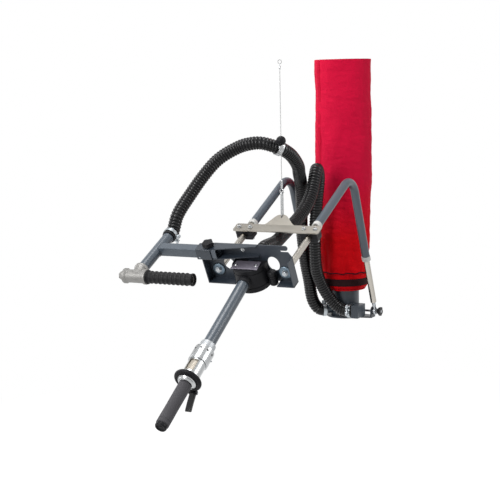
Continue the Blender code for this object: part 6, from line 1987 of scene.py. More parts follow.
@dataclass
class Handle:
    """Handle tube, control valve, guard ring, twist grip and release lever."""

    tube_radius: float = 0.0175
    tube_wall: float = 0.0025
    tube_length: float = 0.302
    collar_radius: float = 0.0225
    drum_radius: float = 0.0288
    sleeve_radius: float = 0.0252
    guard_radius: float = 0.040
    guard_thickness: float = 0.013
    grip_radius: float = 0.0183
    grip_length: float = 0.147
    core_radius: float = 0.0120
    window_turn: float = 88.0
    port_place: float = 0.0135
    port_radius: float = 0.0033
    pivot_drop: float = 0.048
    lever_length: float = 0.055
    lever_width: float = 0.018
    lever_thickness: float = 0.009
    lever_rest: float = 24.0

    def marks(self) -> Dict[str, float]:
        """Where each part of the handle starts, along its axis."""
        drum = self.tube_length + 0.014
        sleeve = drum + 0.050
        guard = sleeve + 0.056 + FIT
        dome = guard + self.guard_thickness
        grip = dome + 0.009 + RUN
        return {"collar": self.tube_length - 0.010, "drum": drum, "sleeve": sleeve, "guard": guard,
                "dome": dome,
                "grip": grip, "end": grip + self.grip_length}

    def build(self) -> List[bpy.types.Object]:
        """Builds the handle from the hub outwards."""
        return [self.tube(), *self.valve(), *self.guard(), *self.grip(), *self.lever()]

    def tube(self) -> bpy.types.Object:
        """The painted handle tube."""
        profile = tube(self.tube_radius, self.tube_radius - self.tube_wall, -0.012 + FIT, self.tube_length)
        return Form().turned(profile, LAYOUT.handle(), 72, 0.0006).piece(
            "painted_handle_tube", FRAME_PAINT, Body.FRAME, ["handle_tube"])

    def valve(self) -> List[bpy.types.Object]:
        """Collar, drum with its ports and the dark plugs in them that paint their shade, sleeve with its window, and
        the spool inside.
        """
        at, place = self.marks(), LAYOUT.handle()
        bore = self.tube_radius - self.tube_wall
        aim = spun(self.window_turn)
        collar = [(self.tube_radius + 0.0001, at["collar"]), (self.collar_radius - 0.0008, at["collar"]),
                  (self.collar_radius, at["collar"] + 0.0010), (self.collar_radius, at["drum"] - 0.0010),
                  (self.collar_radius - 0.0010, at["drum"] - FIT),
                  (self.tube_radius + 0.0001, at["drum"] - FIT)]
        made = [Form().turned(collar, place, 72, 0.0004).piece(
            "valve_collar_cast", CAST, Body.FRAME, ["valve_collar"])]
        drum = [(bore, at["drum"]), (self.drum_radius - 0.0015, at["drum"]),
                (self.drum_radius, at["drum"] + 0.0015),
                (self.drum_radius, at["sleeve"] - 0.0070),
                (self.drum_radius - 0.0007, at["sleeve"] - 0.0064),
                (self.drum_radius - 0.0007, at["sleeve"] - 0.0052),
                (self.drum_radius, at["sleeve"] - 0.0046),
                (self.drum_radius, at["sleeve"] - 0.0015), (self.drum_radius - 0.0015, at["sleeve"]),
                (bore, at["sleeve"])]
        form = Form().turned(drum, place, 96, 0.0004)
        ports = Form()
        for turn in range(0, 360, 40):
            aimed = place @ shifted(z=at["drum"] + self.port_place) @ spun(turn) @ ALONG_X
            ports.turned(bar(self.port_radius, self.drum_radius - 0.0035, self.drum_radius + 0.004), aimed, 20, 0.0)
        form.fitted(ports, Fit.CUT)
        made.append(form.piece("valve_drum_polished", POLISHED, Body.FRAME, ["valve_drum"]))
        # Near-black plugs filling each port to just under the surface: painted shade inside the holes.
        dark = Form()
        for turn in range(0, 360, 40):
            aimed = place @ shifted(z=at["drum"] + self.port_place) @ spun(turn) @ ALONG_X
            dark.turned(bar(0.00325, self.drum_radius - 0.0034, self.drum_radius - 0.0006), aimed, 16, 0.0)
        made.append(dark.piece("valve_port_painted_shade", PORT_SHADE, Body.FRAME))
        pin = Form().turned(bar(0.0020, self.drum_radius - 0.003, self.drum_radius + 0.0032),
                            place @ shifted(z=at["drum"] + 0.024) @ spun(-28) @ ALONG_X, 24, 0.0005)
        made.append(pin.piece("valve_stop_pin", ZINC, Body.FRAME))

        spool_radius = self.sleeve_radius - 0.0045
        end = at["guard"] - FIT
        shell = [(spool_radius + RUN, at["sleeve"] + FIT), (self.sleeve_radius, at["sleeve"] + FIT),
                 (self.sleeve_radius, end - 0.009), (self.sleeve_radius + 0.003, end - 0.007),
                 (self.sleeve_radius + 0.003, end), (spool_radius + RUN, end)]
        form = Form().turned(shell, place, 96, 0.0003)
        window = rounded_box(at["sleeve"] + 0.004, -0.0135, end - 0.012, 0.0135, 0.002)
        sideways = Matrix(((0, 0, 1, 0), (0, 1, 0, 0), (1, 0, 0, 0), (0, 0, 0, 1)))
        form.fitted(Form().extruded(window, 0.012, 0.04, place @ aim @ sideways), Fit.CUT)
        made.append(form.rounded(0.0003).piece(
            "valve_window_sleeve", POLISHED, Body.FRAME, ["valve_sleeve"]))
        core_bore = self.core_radius - 0.003
        core = [(core_bore, at["sleeve"] + 2 * FIT), (spool_radius, at["sleeve"] + 2 * FIT),
                (spool_radius, end - 0.004),
                (self.core_radius, end - 0.004), (self.core_radius, at["end"] - 0.004),
                (core_bore, at["end"] - 0.004)]
        made.append(Form().turned(core, place, 72, 0.0004).piece(
            "bronze_spool", BRONZE, Body.GRIP, ["valve_spool"]))
        return made

    def guard(self) -> List[bpy.types.Object]:
        """The rubber guard ring with its moulded groove and the polished dome."""
        at, place = self.marks(), LAYOUT.handle()
        start, end = at["guard"], at["guard"] + self.guard_thickness
        half, inner = self.guard_thickness / 2, self.core_radius + RUN
        line = [(inner, start), (self.guard_radius - half, start)]
        for step in range(1, 16):
            angle = -math.pi / 2 + math.pi * step / 16
            line.append((self.guard_radius - half + half * math.cos(angle),
                         start + half + half * math.sin(angle)))
        line += [(self.guard_radius - half, end), (0.0300, end - 0.0014), (0.0285, end - 0.0014),
                 (0.0272, end), (inner, end)]
        ring = Form().turned(line, place, 112, 0.0004)
        dome = [(inner, end + FIT), (0.0268, end + FIT), (0.0268, end + 0.0016), (0.0250, end + 0.0040),
                (0.0232, end + 0.0042), (0.0224, end + 0.0060), (0.0195, end + 0.0085),
                (0.0195, at["grip"] - RUN),
                (inner, at["grip"] - RUN)]
        return [ring.piece("rubber_guard_ring", RUBBER, Body.FRAME, ["guard_ring"]),
                Form().turned(dome, place, 96, 0.0005).piece(
                    "polished_dome", POLISHED, Body.FRAME, ["grip_dome"])]

    def grip(self) -> List[bpy.types.Object]:
        """The twist grip, slightly tapered, with its end ring and dished cap."""
        at, place = self.marks(), LAYOUT.handle()
        start, end, radius = at["grip"], at["end"], self.grip_radius
        inner = self.core_radius + FIT
        line = [(inner, start), (radius - 0.0012, start), (radius - 0.0002, start + 0.0016),
                (radius, start + 0.030),
                (radius - 0.0003, start + 0.085), (radius, end - 0.018), (radius, end - 0.0142),
                (radius - 0.0009, end - 0.0136),
                (radius - 0.0009, end - 0.0120), (radius, end - 0.0114), (radius, end - 0.0022),
                (radius - 0.0014, end),
                (inner, end)]
        skin = Form().turned(line, place, 96, 0.0004)
        cap = [(0, end - 0.004 + FIT), (inner - 2 * FIT, end - 0.004 + FIT), (inner - 2 * FIT, end + FIT),
               (radius - 0.0016, end + FIT), (radius - 0.0016, end + 0.0070),
               (radius - 0.0036, end + 0.0105),
               (radius - 0.0066, end + 0.0105), (radius - 0.0076, end + 0.0078), (0.0052, end + 0.0070),
               (0.0040, end + 0.0084), (0, end + 0.0088)]
        return [skin.piece("stippled_twist_grip", FOAM, Body.GRIP, ["twist_grip"]),
                Form().turned(cap, place, 80, 0.0007).piece(
                    "dished_end_cap", RUBBER, Body.GRIP, ["grip_end_cap"])]

    def lever(self) -> List[bpy.types.Object]:
        """The clevis under the guard ring and the glossy finger lever on its pin."""
        along = self.marks()["guard"] + self.guard_thickness / 2
        place = LAYOUT.handle()
        half, cheek = self.lever_width / 2, 0.003
        foot, drop = self.guard_radius + FIT, self.pivot_drop
        form = Form().block((-half - RUN - cheek, -foot - 0.0022, along - 0.005),
                            (half + RUN + cheek, -foot, along + 0.005), place)
        for side in (-1, 1):
            low, high = sorted((side * (half + RUN), side * (half + RUN + cheek)))
            rest = [(along - 0.005, -foot - 0.0005), (along + 0.005, -foot - 0.0005)]
            rest += [(along + 0.005 * math.cos(math.pi * step / 14),
                      -drop - 0.005 * math.sin(math.pi * step / 14))
                     for step in range(15)]
            turn = Matrix(((0, 0, 1, 0), (0, 1, 0, 0), (1, 0, 0, 0), (0, 0, 0, 1)))
            form.fitted(Form().extruded(rest, low, high, place @ turn), Fit.JOIN)
        clevis = form.rounded(0.0006).piece("lever_fork", PLASTIC, Body.FRAME, ["lever_clevis"])
        axis = place @ shifted(y=-drop, z=along, turn=ALONG_X)
        reach = half + RUN + cheek + 0.001
        pin = Form().turned(bar(0.0015, -reach, reach), axis, 24, 0.0002).piece(
            "lever_pin", ZINC, Body.FRAME)
        thick, length = self.lever_thickness / 2, self.lever_length
        outline = [(-thick, 0.0)]
        outline += [(thick * 0.8 * math.cos(math.pi + math.pi * step / 16),
                     thick * 0.8 * math.sin(math.pi + math.pi * step / 16))
                    for step in range(1, 16)]
        outline += [(thick, 0.0), (thick * 0.78, length * 0.22), (thick * 0.92, length * 0.55),
                    (thick * 0.75, length - thick)]
        outline += [(thick * 0.75 * math.cos(math.pi * step / 12),
                     length - thick + thick * math.sin(math.pi * step / 12))
                    for step in range(1, 12)]
        outline += [(-thick * 0.75, length - thick), (-thick * 0.62, length * 0.55),
                    (-thick * 0.8, length * 0.22)]
        upright = Matrix(((0, 0, 1, 0), (1, 0, 0, 0), (0, 1, 0, 0), (0, 0, 0, 1)))
        turn = place @ shifted(y=-drop, z=along, turn=spun(self.lever_rest, "X")) @ upright
        lever = Form().extruded(outline, -half, half, turn).rounded(0.0022)
        return [clevis, pin,
                lever.piece("gloss_finger_lever", GLOSS_PLASTIC, Body.LEVER, ["release_lever"])]


@dataclass
class SideArm:
    """The sliding square arm, its cross tube, the galvanised tee and the side grip."""

    size: float = 0.030
    wall: float = 0.0025
    inner_end: float = -0.085
    tube_radius: float = 0.01685
    tube_wall: float = 0.003
    tee_drop: float = 0.1422
    tee_half: float = 0.039
    tee_radius: float = 0.0195
    rim_radius: float = 0.0225
    branch_radius: float = 0.0188
    nipple_radius: float = 0.0135
    grip_radius: float = 0.0190
    grip_length: float = 0.155

    def along(self) -> Matrix:
        """The tee's run, Z towards the grip."""
        depth = LAYOUT.side_arm_depth() + self.tee_drop
        return LAYOUT.face() @ shifted(LAYOUT.cross_tube_x, LAYOUT.side_arm_height, depth, ALONG_X)

    def across(self) -> Matrix:
        """The cross tube's axis, Z away from the bracket's face."""
        return LAYOUT.face() @ shifted(LAYOUT.cross_tube_x, LAYOUT.side_arm_height)

    def build(self) -> List[bpy.types.Object]:
        """Builds the side arm and everything on it."""
        return [self.arm(), self.cross_tube(), self.weld(), self.tee(), self.plug(), *self.grip(),
                *self.clamp()]

    def arm(self) -> bpy.types.Object:
        """The square tube that slides in the bracket's sleeve."""
        half, depth = self.size / 2, LAYOUT.side_arm_depth()
        left = LAYOUT.cross_tube_x + self.tube_radius * 0.6
        along = LAYOUT.face() @ shifted(y=LAYOUT.side_arm_height, z=depth, turn=ALONG_X)
        inner = half - self.wall
        form = Form().extruded(rounded_box(-half, -half, half, half, 0.0034), left, self.inner_end, along)
        form.fitted(Form().extruded(rounded_box(-inner, -inner, inner, inner, 0.002), left - 0.01,
                                    self.inner_end + 0.01, along), Fit.CUT)
        form.fitted(Form().turned(bar(self.tube_radius - 0.0006, -0.2, 0.3), self.across(), 64, 0.0),
                    Fit.CUT)
        return form.rounded(0.0004).piece("square_side_arm", FRAME_PAINT, Body.SIDE_HANDLE, ["side_arm"])

    def cross_tube(self) -> bpy.types.Object:
        """The round tube across the arm's end."""
        depth = LAYOUT.side_arm_depth()
        front = depth + self.tee_drop - self.tee_half + 0.013
        profile = tube(self.tube_radius, self.tube_radius - self.tube_wall, depth - LAYOUT.cross_tube_back,
                       front)
        return Form().turned(profile, self.across(), 72, 0.0008).piece(
            "painted_cross_tube", FRAME_PAINT, Body.SIDE_HANDLE)

    def weld(self) -> bpy.types.Object:
        """The painted weld bead where the arm meets the cross tube."""
        half, depth, radius = self.size / 2, LAYOUT.side_arm_depth(), self.tube_radius
        line = []
        for step in range(64):
            share = step / 64
            corner = int(share * 4) % 4
            part = share * 4 - int(share * 4)
            starts = ((-half, -half), (half, -half), (half, half), (-half, half))
            first, second = starts[corner], starts[(corner + 1) % 4]
            up, out = first[0] + (second[0] - first[0]) * part, first[1] + (second[1] - first[1]) * part
            side = math.sqrt(max(radius ** 2 - min(abs(up), radius * 0.97) ** 2, 0.0))
            line.append(LAYOUT.face() @ Vector((
                LAYOUT.cross_tube_x + side + 0.0008, LAYOUT.side_arm_height + up * 0.985, depth + out)))
        return Form().swept(line, 0.0017, 12, True).piece("arm_weld_bead", FRAME_PAINT, Body.SIDE_HANDLE)

    def tee(self) -> bpy.types.Object:
        """The malleable tee with its beaded rims, and the nipple that carries the grip."""
        half, rim, bead = self.tee_half, 0.010, 0.003
        run = [(0, -half), (self.rim_radius - 0.001, -half), (self.rim_radius, -half + 0.001),
               (self.rim_radius, -half + rim - 0.001),
               (self.rim_radius - 0.001, -half + rim), (self.tee_radius, -half + rim + bead),
               (self.tee_radius, half - rim - bead),
               (self.rim_radius - 0.001, half - rim), (self.rim_radius, half - rim + 0.001),
               (self.rim_radius, half - 0.001),
               (self.rim_radius - 0.001, half), (0, half)]
        along, across = self.along(), self.across()
        form = Form().turned(run, along, 88, 0.0005)
        centre = LAYOUT.side_arm_depth() + self.tee_drop
        end = centre - half
        branch = [(0, centre + 0.003), (self.branch_radius, centre + 0.003),
                  (self.branch_radius, end + rim + bead),
                  (self.rim_radius - 0.001, end + rim), (self.rim_radius, end + rim - 0.001),
                  (self.rim_radius, end + 0.001),
                  (self.rim_radius - 0.001, end), (0, end)]
        form.fitted(Form().turned(branch, across, 84, 0.0005), Fit.JOIN)
        finish_at = half + self.grip_length
        form.fitted(Form().turned(bar(self.nipple_radius, half - 0.011, finish_at - 0.006), along, 52, 0.0),
                    Fit.JOIN)
        front = end + 0.013
        form.fitted(Form().turned(bar(self.tube_radius + FIT, end - 0.01, front + FIT), across, 62, 0.0),
                    Fit.CUT)
        form.fitted(Form().turned(bar(self.nipple_radius + FIT, -half - 0.01, -half + 0.015), along, 50,
                                  0.0), Fit.CUT)
        form.fitted(Form().turned(bar(self.nipple_radius - 0.003, -half - 0.02, finish_at + 0.01), along,
                                  48, 0.0), Fit.CUT)
        return form.rounded(0.0007).piece("malleable_tee", HOT_DIP, Body.SIDE_HANDLE, ["tee_fitting"])

    def plug(self) -> bpy.types.Object:
        """The plug in the tee's free end: a beaded collar and a square head."""
        along, half = self.along(), self.tee_half
        body = [(0, -half + 0.014), (self.nipple_radius, -half + 0.014), (self.nipple_radius, -half - FIT),
                (0.0175, -half - FIT), (0.0175, -half - 0.0030), (0.0165, -half - 0.0042),
                (0.0130, -half - 0.0046),
                (0, -half - 0.0046)]
        form = Form().turned(body, along, 60, 0.0005)
        head = [(x * 0.97, y * 0.97) for x, y in circle(0.0125, 6)]
        form.fitted(Form().extruded(head, -half - 0.0150, -half - 0.0030, along), Fit.JOIN)
        return form.rounded(0.0012).piece("plug_with_hex_head", HOT_DIP, Body.SIDE_HANDLE, ["tee_plug"])

    def grip(self) -> List[bpy.types.Object]:
        """The rubber grip with its rings, open at the far end."""
        along = self.along()
        start, end = self.tee_half + FIT, self.tee_half + self.grip_length
        inner, radius = self.nipple_radius + FIT, self.grip_radius
        valley = radius - 0.0021
        line = [(inner, end), (inner, start), (radius + 0.002, start), (radius + 0.002, start + 0.0040),
                (valley, start + 0.0062)]
        pitch = 0.0148
        count = int((end - start - 0.014) / pitch)
        for rib in range(count):
            centre = start + 0.0062 + (rib + 0.62) * pitch
            for step in range(-4, 5):
                line.append((valley + (radius - valley) * math.cos(step / 4 * math.pi / 2) ** 0.75,
                             centre + step * 0.00105))
        line += [(valley, end - 0.0050), (radius - 0.0004, end - 0.0040), (radius - 0.0004, end - 0.0008),
                 (radius - 0.0014, end)]
        skin = Form().turned(line, along, 88, 0.0)
        return [skin.piece("ringed_side_grip", RIBBED_RUBBER, Body.SIDE_HANDLE, ["side_grip"], 50.0)]

    def clamp(self) -> List[bpy.types.Object]:
        """The clamp that holds the hose on the cross tube."""
        back = LAYOUT.side_arm_depth() - LAYOUT.cross_tube_back
        place = self.across() @ shifted(z=back - 0.014) @ spun(-30)
        return HoseClamp().build("hose_clamp_side", place, Body.SIDE_HANDLE, "side_hose_clamp")


@dataclass
class Balancer:
    """The wire that holds the frame up, its link and ferrule, and the ball and hose clip on it."""

    link_length: float = 0.078
    link_width: float = 0.011
    link_wire: float = 0.0022
    eye_radius: float = 0.0062
    eye_wire: float = 0.0016
    wire_radius: float = 0.0012
    ball_radius: float = 0.015
    ball_height: float = 0.600
    clip_centre: Triple = (-0.022, -0.447, 0.577)
    clip_direction: Triple = (0.047, 0.062, -0.028)

    def link_centre(self) -> Vector:
        """The lower bend's centre of the long link, in the ear frame."""
        spot = LAYOUT.hump() @ Vector((0, 0.038 - 0.0075 + self.link_width / 2, 0.002))
        return LAYOUT.base().inverted() @ spot

    def build(self) -> List[bpy.types.Object]:
        """Builds the link, eye, wire, ball and clip."""
        hook = self.link_centre()
        straight = self.link_length - self.link_width
        eye_centre = hook.z + straight + self.link_width / 2 - self.link_wire - self.eye_wire + self.eye_radius - FIT
        made = [self.link(hook, straight)]
        made += self.eye(hook.y, eye_centre)
        made += self.wire(hook.y, eye_centre + self.eye_radius + self.eye_wire * 0.5)
        made += self.ball(hook.y)
        made += self.clip(hook.y)
        return made

    def link(self, hook: Vector, straight: float) -> bpy.types.Object:
        """The long link of bent round wire."""
        line = []
        radius = self.link_width / 2
        for end, start in ((straight, 0), (0, 180)):
            for step in range(17):
                angle = math.radians(start + 180 * step / 16)
                here = Vector((0, radius * math.cos(angle), end + radius * math.sin(angle)))
                line.append(LAYOUT.base() @ (Vector((0, hook.y, hook.z)) + here))
        return Form().swept(line, self.link_wire, 24, True).piece(
            "long_wire_link", POLISHED, Body.WIRE, ["wire_link"])

    def eye(self, at: float, centre: float) -> List[bpy.types.Object]:
        """The wire's lower eye with its pressed ferrule."""
        line = [LAYOUT.base() @ Vector((self.eye_radius * math.cos(t), at,
                                        centre + self.eye_radius * math.sin(t)))
                for t in (2 * math.pi * step / 40 for step in range(40))]
        ring = Form().swept(line, self.eye_wire, 20, True).piece(
            "thimble_eye", POLISHED, Body.WIRE, ["wire_thimble"])
        low = centre + self.eye_radius + self.eye_wire * 0.5
        place = LAYOUT.base() @ shifted(y=at)
        body = [(0, low), (0.0022, low), (0.0034, low + 0.003), (0.0034, low + 0.0242),
                (0.0026, low + 0.0278), (0, low + 0.0278)]
        return [ring, Form().turned(body, place, 40, 0.0006).piece("pressed_ferrule", POLISHED, Body.WIRE)]

    def wire(self, at: float, ferrule: float) -> List[bpy.types.Object]:
        """The wire itself, up to the eye on which the balancer pulls."""
        low = ferrule + 0.028 + FIT
        top = LAYOUT.ear_drop - 0.0185
        line = [LAYOUT.base() @ Vector((0, at, low + (top - low) * step / 60)) for step in range(61)]
        recipe = rope_recipe(WIRE_STEEL)
        rope = repeated(recipe, "laid_balancer_wire", WIRE_STEEL, Body.WIRE, line,
                        **{"Radius": self.wire_radius, "Lay": 0.013, "Step": 0.0010})
        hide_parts("balancer_wire")
        place = LAYOUT.base() @ shifted(y=at)
        cap = Form().turned([(self.wire_radius + 0.0001, top - 0.016), (0.0030, top - 0.016),
                             (0.0034, top - 0.013),
                             (0.0034, top - 0.002), (0.0028, top), (self.wire_radius + 0.0001, top)], place,
                             32, 0.0004)
        ferrule_top = cap.piece("upper_ferrule", POLISHED, Body.WIRE)
        centre = top + 0.0068
        loop = [LAYOUT.base() @ Vector((0.0058 * math.cos(t), at, centre + 0.0062 * math.sin(t)))
                for t in (2 * math.pi * step / 40 for step in range(40))]
        eye = Form().swept(loop, 0.0012, 16, True).piece("upper_wire_eye", WIRE_STEEL, Body.WIRE)
        tuple(line[0])
        length_of(line)
        [tuple(p) for p in line]
        return [rope, ferrule_top, eye]

    def ball(self, at: float) -> List[bpy.types.Object]:
        """The rubber ball on the wire."""
        radius, height, bore = self.ball_radius, self.ball_height, self.wire_radius + FIT
        line = [(bore, height - radius + 0.0004)]
        line += [(radius * math.sin(math.pi * step / 32),
                  height - radius * math.cos(math.pi * step / 32)) for step in range(2, 31)]
        line.append((bore, height + radius - 0.0004))
        return [Form().turned(line, LAYOUT.base() @ shifted(y=at), 72, 0.0).piece(
            "stop_ball", RUBBER, Body.WIRE, ["wire_ball"], 60.0)]

    def clip(self, at: float) -> List[bpy.types.Object]:
        """The band round the hose with the tab through which the wire runs."""
        centre, direction = Vector(self.clip_centre), Vector(self.clip_direction).normalized()
        place = LAYOUT.base() @ Matrix.Translation(centre) @ direction.to_track_quat(
            "Z", "Y").to_matrix().to_4x4()
        inner = LAYOUT.hose_radius + 0.0016
        form = Form().turned(tube(inner + 0.002, inner, -0.008, 0.008), place, 80, 0.0004)
        top = self.ball_height - self.ball_radius - FIT
        aim = Vector((-centre.x, at - centre.y, 0))
        flat = LAYOUT.base() @ Matrix.Translation((
            centre.x, centre.y, 0)) @ Matrix.Rotation(math.atan2(aim.y, aim.x), 4, "Z")
        outline = rounded_box(LAYOUT.hose_radius * 0.8, -0.009, aim.length + 0.009, 0.009, 0.006)
        form.fitted(Form().extruded(outline, top - 0.008, top, flat), Fit.JOIN)
        form.fitted(Form().turned(bar(self.wire_radius + FIT, top - 0.04, top + 0.01),
                                  LAYOUT.base() @ shifted(y=at), 32, 0.0), Fit.CUT)
        form.fitted(Form().turned(bar(inner, -0.03, 0.03), place, 72, 0.0), Fit.CUT)
        return [form.rounded(0.0005).piece("hose_band_clip", POLISHED, Body.WIRE, ["hose_clip"])]


@dataclass
class AirHoses:
    """The two corrugated hoses, their cuffs and their clamps at the adapter."""

    steps: int = 14

    def face(self, x: float, height: float, depth: float) -> Vector:
        """A point on the bracket's face, in the ear frame."""
        return LAYOUT.base().inverted() @ (LAYOUT.face() @ Vector((x, height, depth)))

    def side_route(self) -> List[Vector]:
        """The side handle's hose, from the cross tube to the adapter."""
        depth = LAYOUT.side_arm_depth() - LAYOUT.cross_tube_back
        clip, turn = Vector(Balancer.clip_centre), Vector(Balancer.clip_direction).normalized()
        start = [self.face(LAYOUT.cross_tube_x, LAYOUT.side_arm_height, depth - step) for step in (
            FIT, 0.016, 0.030)]
        over = [(-0.282, -0.627, 0.380), (-0.266, -0.577, 0.437), (-0.238, -0.530, 0.499),
                (-0.200, -0.507, 0.545),
                (-0.140, -0.492, 0.580), (-0.095, -0.491, 0.592), (-0.062, -0.483, 0.593)]
        held = [clip - turn * 0.014, clip, clip + turn * 0.014]
        down = [(-0.008, -0.390, 0.551), (-0.012, -0.335, 0.516), (-0.031, -0.286, 0.486),
                (-0.048, -0.238, 0.450),
                (-0.069, -0.190, 0.381), (-0.083, -0.165, 0.309), (-0.088, -0.145, 0.250),
                (-0.091, -0.122, 0.178),
                (-0.090, -0.095, 0.103), (-0.090, -0.083, 0.062), (-0.087, -0.072, 0.033),
                (-0.079, -0.060, 0.012),
                (-0.0706, -0.0532, 0.0040), (-0.0646, -0.0488, 0.0020), (-0.053, -0.040, 0.002)]
        return [Vector(point) for point in [*start, *over, *held, *down]]

    def handle_route(self) -> List[Vector]:
        """The handle's hose, from the adapter to the stub behind the bracket."""
        up = [(0.058, -0.0692, 0.008), (0.046, -0.0692, 0.008), (0.034, -0.0692, 0.008),
              (0.014, -0.0694, 0.013),
              (-0.007, -0.0725, 0.028), (-0.028, -0.088, 0.063), (-0.041, -0.112, 0.108),
              (-0.046, -0.132, 0.148),
              (-0.043, -0.145, 0.183), (-0.040, -0.155, 0.253), (-0.034, -0.157, 0.332),
              (-0.026, -0.160, 0.404),
              (-0.016, -0.168, 0.458), (-0.010, -0.188, 0.490), (-0.005, -0.210, 0.500),
              (0.001, -0.236, 0.472),
              (0.001, -0.268, 0.414), (-0.004, -0.318, 0.367), (-0.008, -0.385, 0.334),
              (-0.008, -0.455, 0.310),
              (-0.002, -0.520, 0.294)]
        ends = [self.face(LAYOUT.handle_x, LAYOUT.hub_axis_height, -0.040 - step) for step in (
            0.050, 0.020, FIT)]
        return [Vector(point) for point in [*up, *ends]]

    def build(self) -> List[bpy.types.Object]:
        """Builds both hoses and the two clamps on the adapter."""
        recipe = hose_recipe(HOSE)
        return [*self.side(recipe), *self.handle(recipe), *self.clamps()]

    def stretch(
        self, recipe: Recipe, name: str, line: Sequence[Vector], done: float, cuffs: Pair,
        bodies: Tuple[Body, Body],
        ends: Tuple[Vector, Vector], node: str,
    ) -> bpy.types.Object:
        """One stretch of hose, which bends with the joint that it crosses.

        Args:
            recipe: the hose recipe.
            One stretch of hose, along its part of the route.
            line: its centreline, in the ear frame.
            done: how much hose comes before it.
            cuffs: length of the smooth cuff at its start and at its end.
            bodies: the bodies at its start and end; not used.
            ends: the places at either side of the joint, in the ear frame; not used.
            node: the CAD node that it stands for.

        Returns:
            The stretch.
        """
        world = [LAYOUT.base() @ point for point in line]
        full = length_of(world)
        made = repeated(recipe, name, HOSE, None, world,
                        **{"Crest": LAYOUT.hose_radius, "Depth": 0.0027, "Pitch": 0.0093, "Start": done,
                           "Smooth Start": cuffs[0], "Smooth End": cuffs[1], "Step": 0.0010,
                           "Length": full})
        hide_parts(node)
        tuple(LAYOUT.base() @ ends[0])
        tuple(LAYOUT.base() @ ends[1])
        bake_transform(made)
        tuple(world[0])
        [tuple(point) for point in world]
        return made

    def side(self, recipe: Recipe) -> List[bpy.types.Object]:
        """The side hose in four stretches, each across one joint."""
        line = smooth_route(self.side_route(), self.steps)
        full = length_of(line)
        clip = Vector(Balancer.clip_centre)
        near = min(range(len(line)), key=lambda index: (line[index] - clip).length)
        at_clip = length_of(line[:near + 1])
        cuts = [0.0, 0.262, at_clip, at_clip + 0.300, full]
        turn = Vector(Balancer.clip_direction).normalized()
        pairs = [(Body.SIDE_HANDLE, Body.FRAME), (Body.FRAME, Body.WIRE), (Body.WIRE, Body.FRAME),
                 (Body.FRAME, Body.BASE)]
        made = []
        for number, (low, high) in enumerate(zip(cuts, cuts[1:])):
            part = stretch_of(line, low, high)
            start, end = part[0].copy(), part[-1].copy()
            if number == 0:
                start = part[0] + (part[1] - part[0]).normalized() * 0.045
            if number == 1:
                end = clip - turn * 0.020
            if number == 2:
                start = clip + turn * 0.020
            if number == 3:
                end = part[-1] + (part[-2] - part[-1]).normalized() * 0.030
            cuffs = (0.030 if number == 0 else -1.0, 0.024 if number == 3 else -1.0)
            made.append(self.stretch(recipe, f"side_hose_stretch_{number + 1}", part, low, cuffs,
                                     pairs[number],
                                     (start, end), "side_hose"))
        return made

    def handle(self, recipe: Recipe) -> List[bpy.types.Object]:
        """The handle's hose, from the adapter to the bracket."""
        line = relaxed(smooth_route(self.handle_route(), self.steps), 0.060, 30)
        ends = (Vector((0, -0.07, 0.008)), Vector((0, -0.600, 0.270)))
        return [self.stretch(recipe, "handle_hose_corrugated", line, 0.0, (0.026, 0.028),
                             (Body.BASE, Body.FRAME), ends,
                             "handle_hose")]

    def clamps(self) -> List[bpy.types.Object]:
        """The clamps on the adapter's two spigots."""
        made = []
        side, handle = self.side_route(), self.handle_route()
        spots = (("hose_clamp_handle", "handle_hose_clamp", handle[0], handle[1], 0.011, 15),
                 ("hose_clamp_base", "side_hose_base_clamp", side[-1], side[-2], 0.0075, 100))
        for name, node, end, inner, back, roll in spots:
            direction = (inner - end).normalized()
            turn = direction.to_track_quat("Z", "Y").to_matrix().to_4x4()
            place = LAYOUT.base() @ Matrix.Translation(end + direction * back) @ turn @ spun(roll)
            made += HoseClamp().build(name, place, Body.BASE, node)
        return made


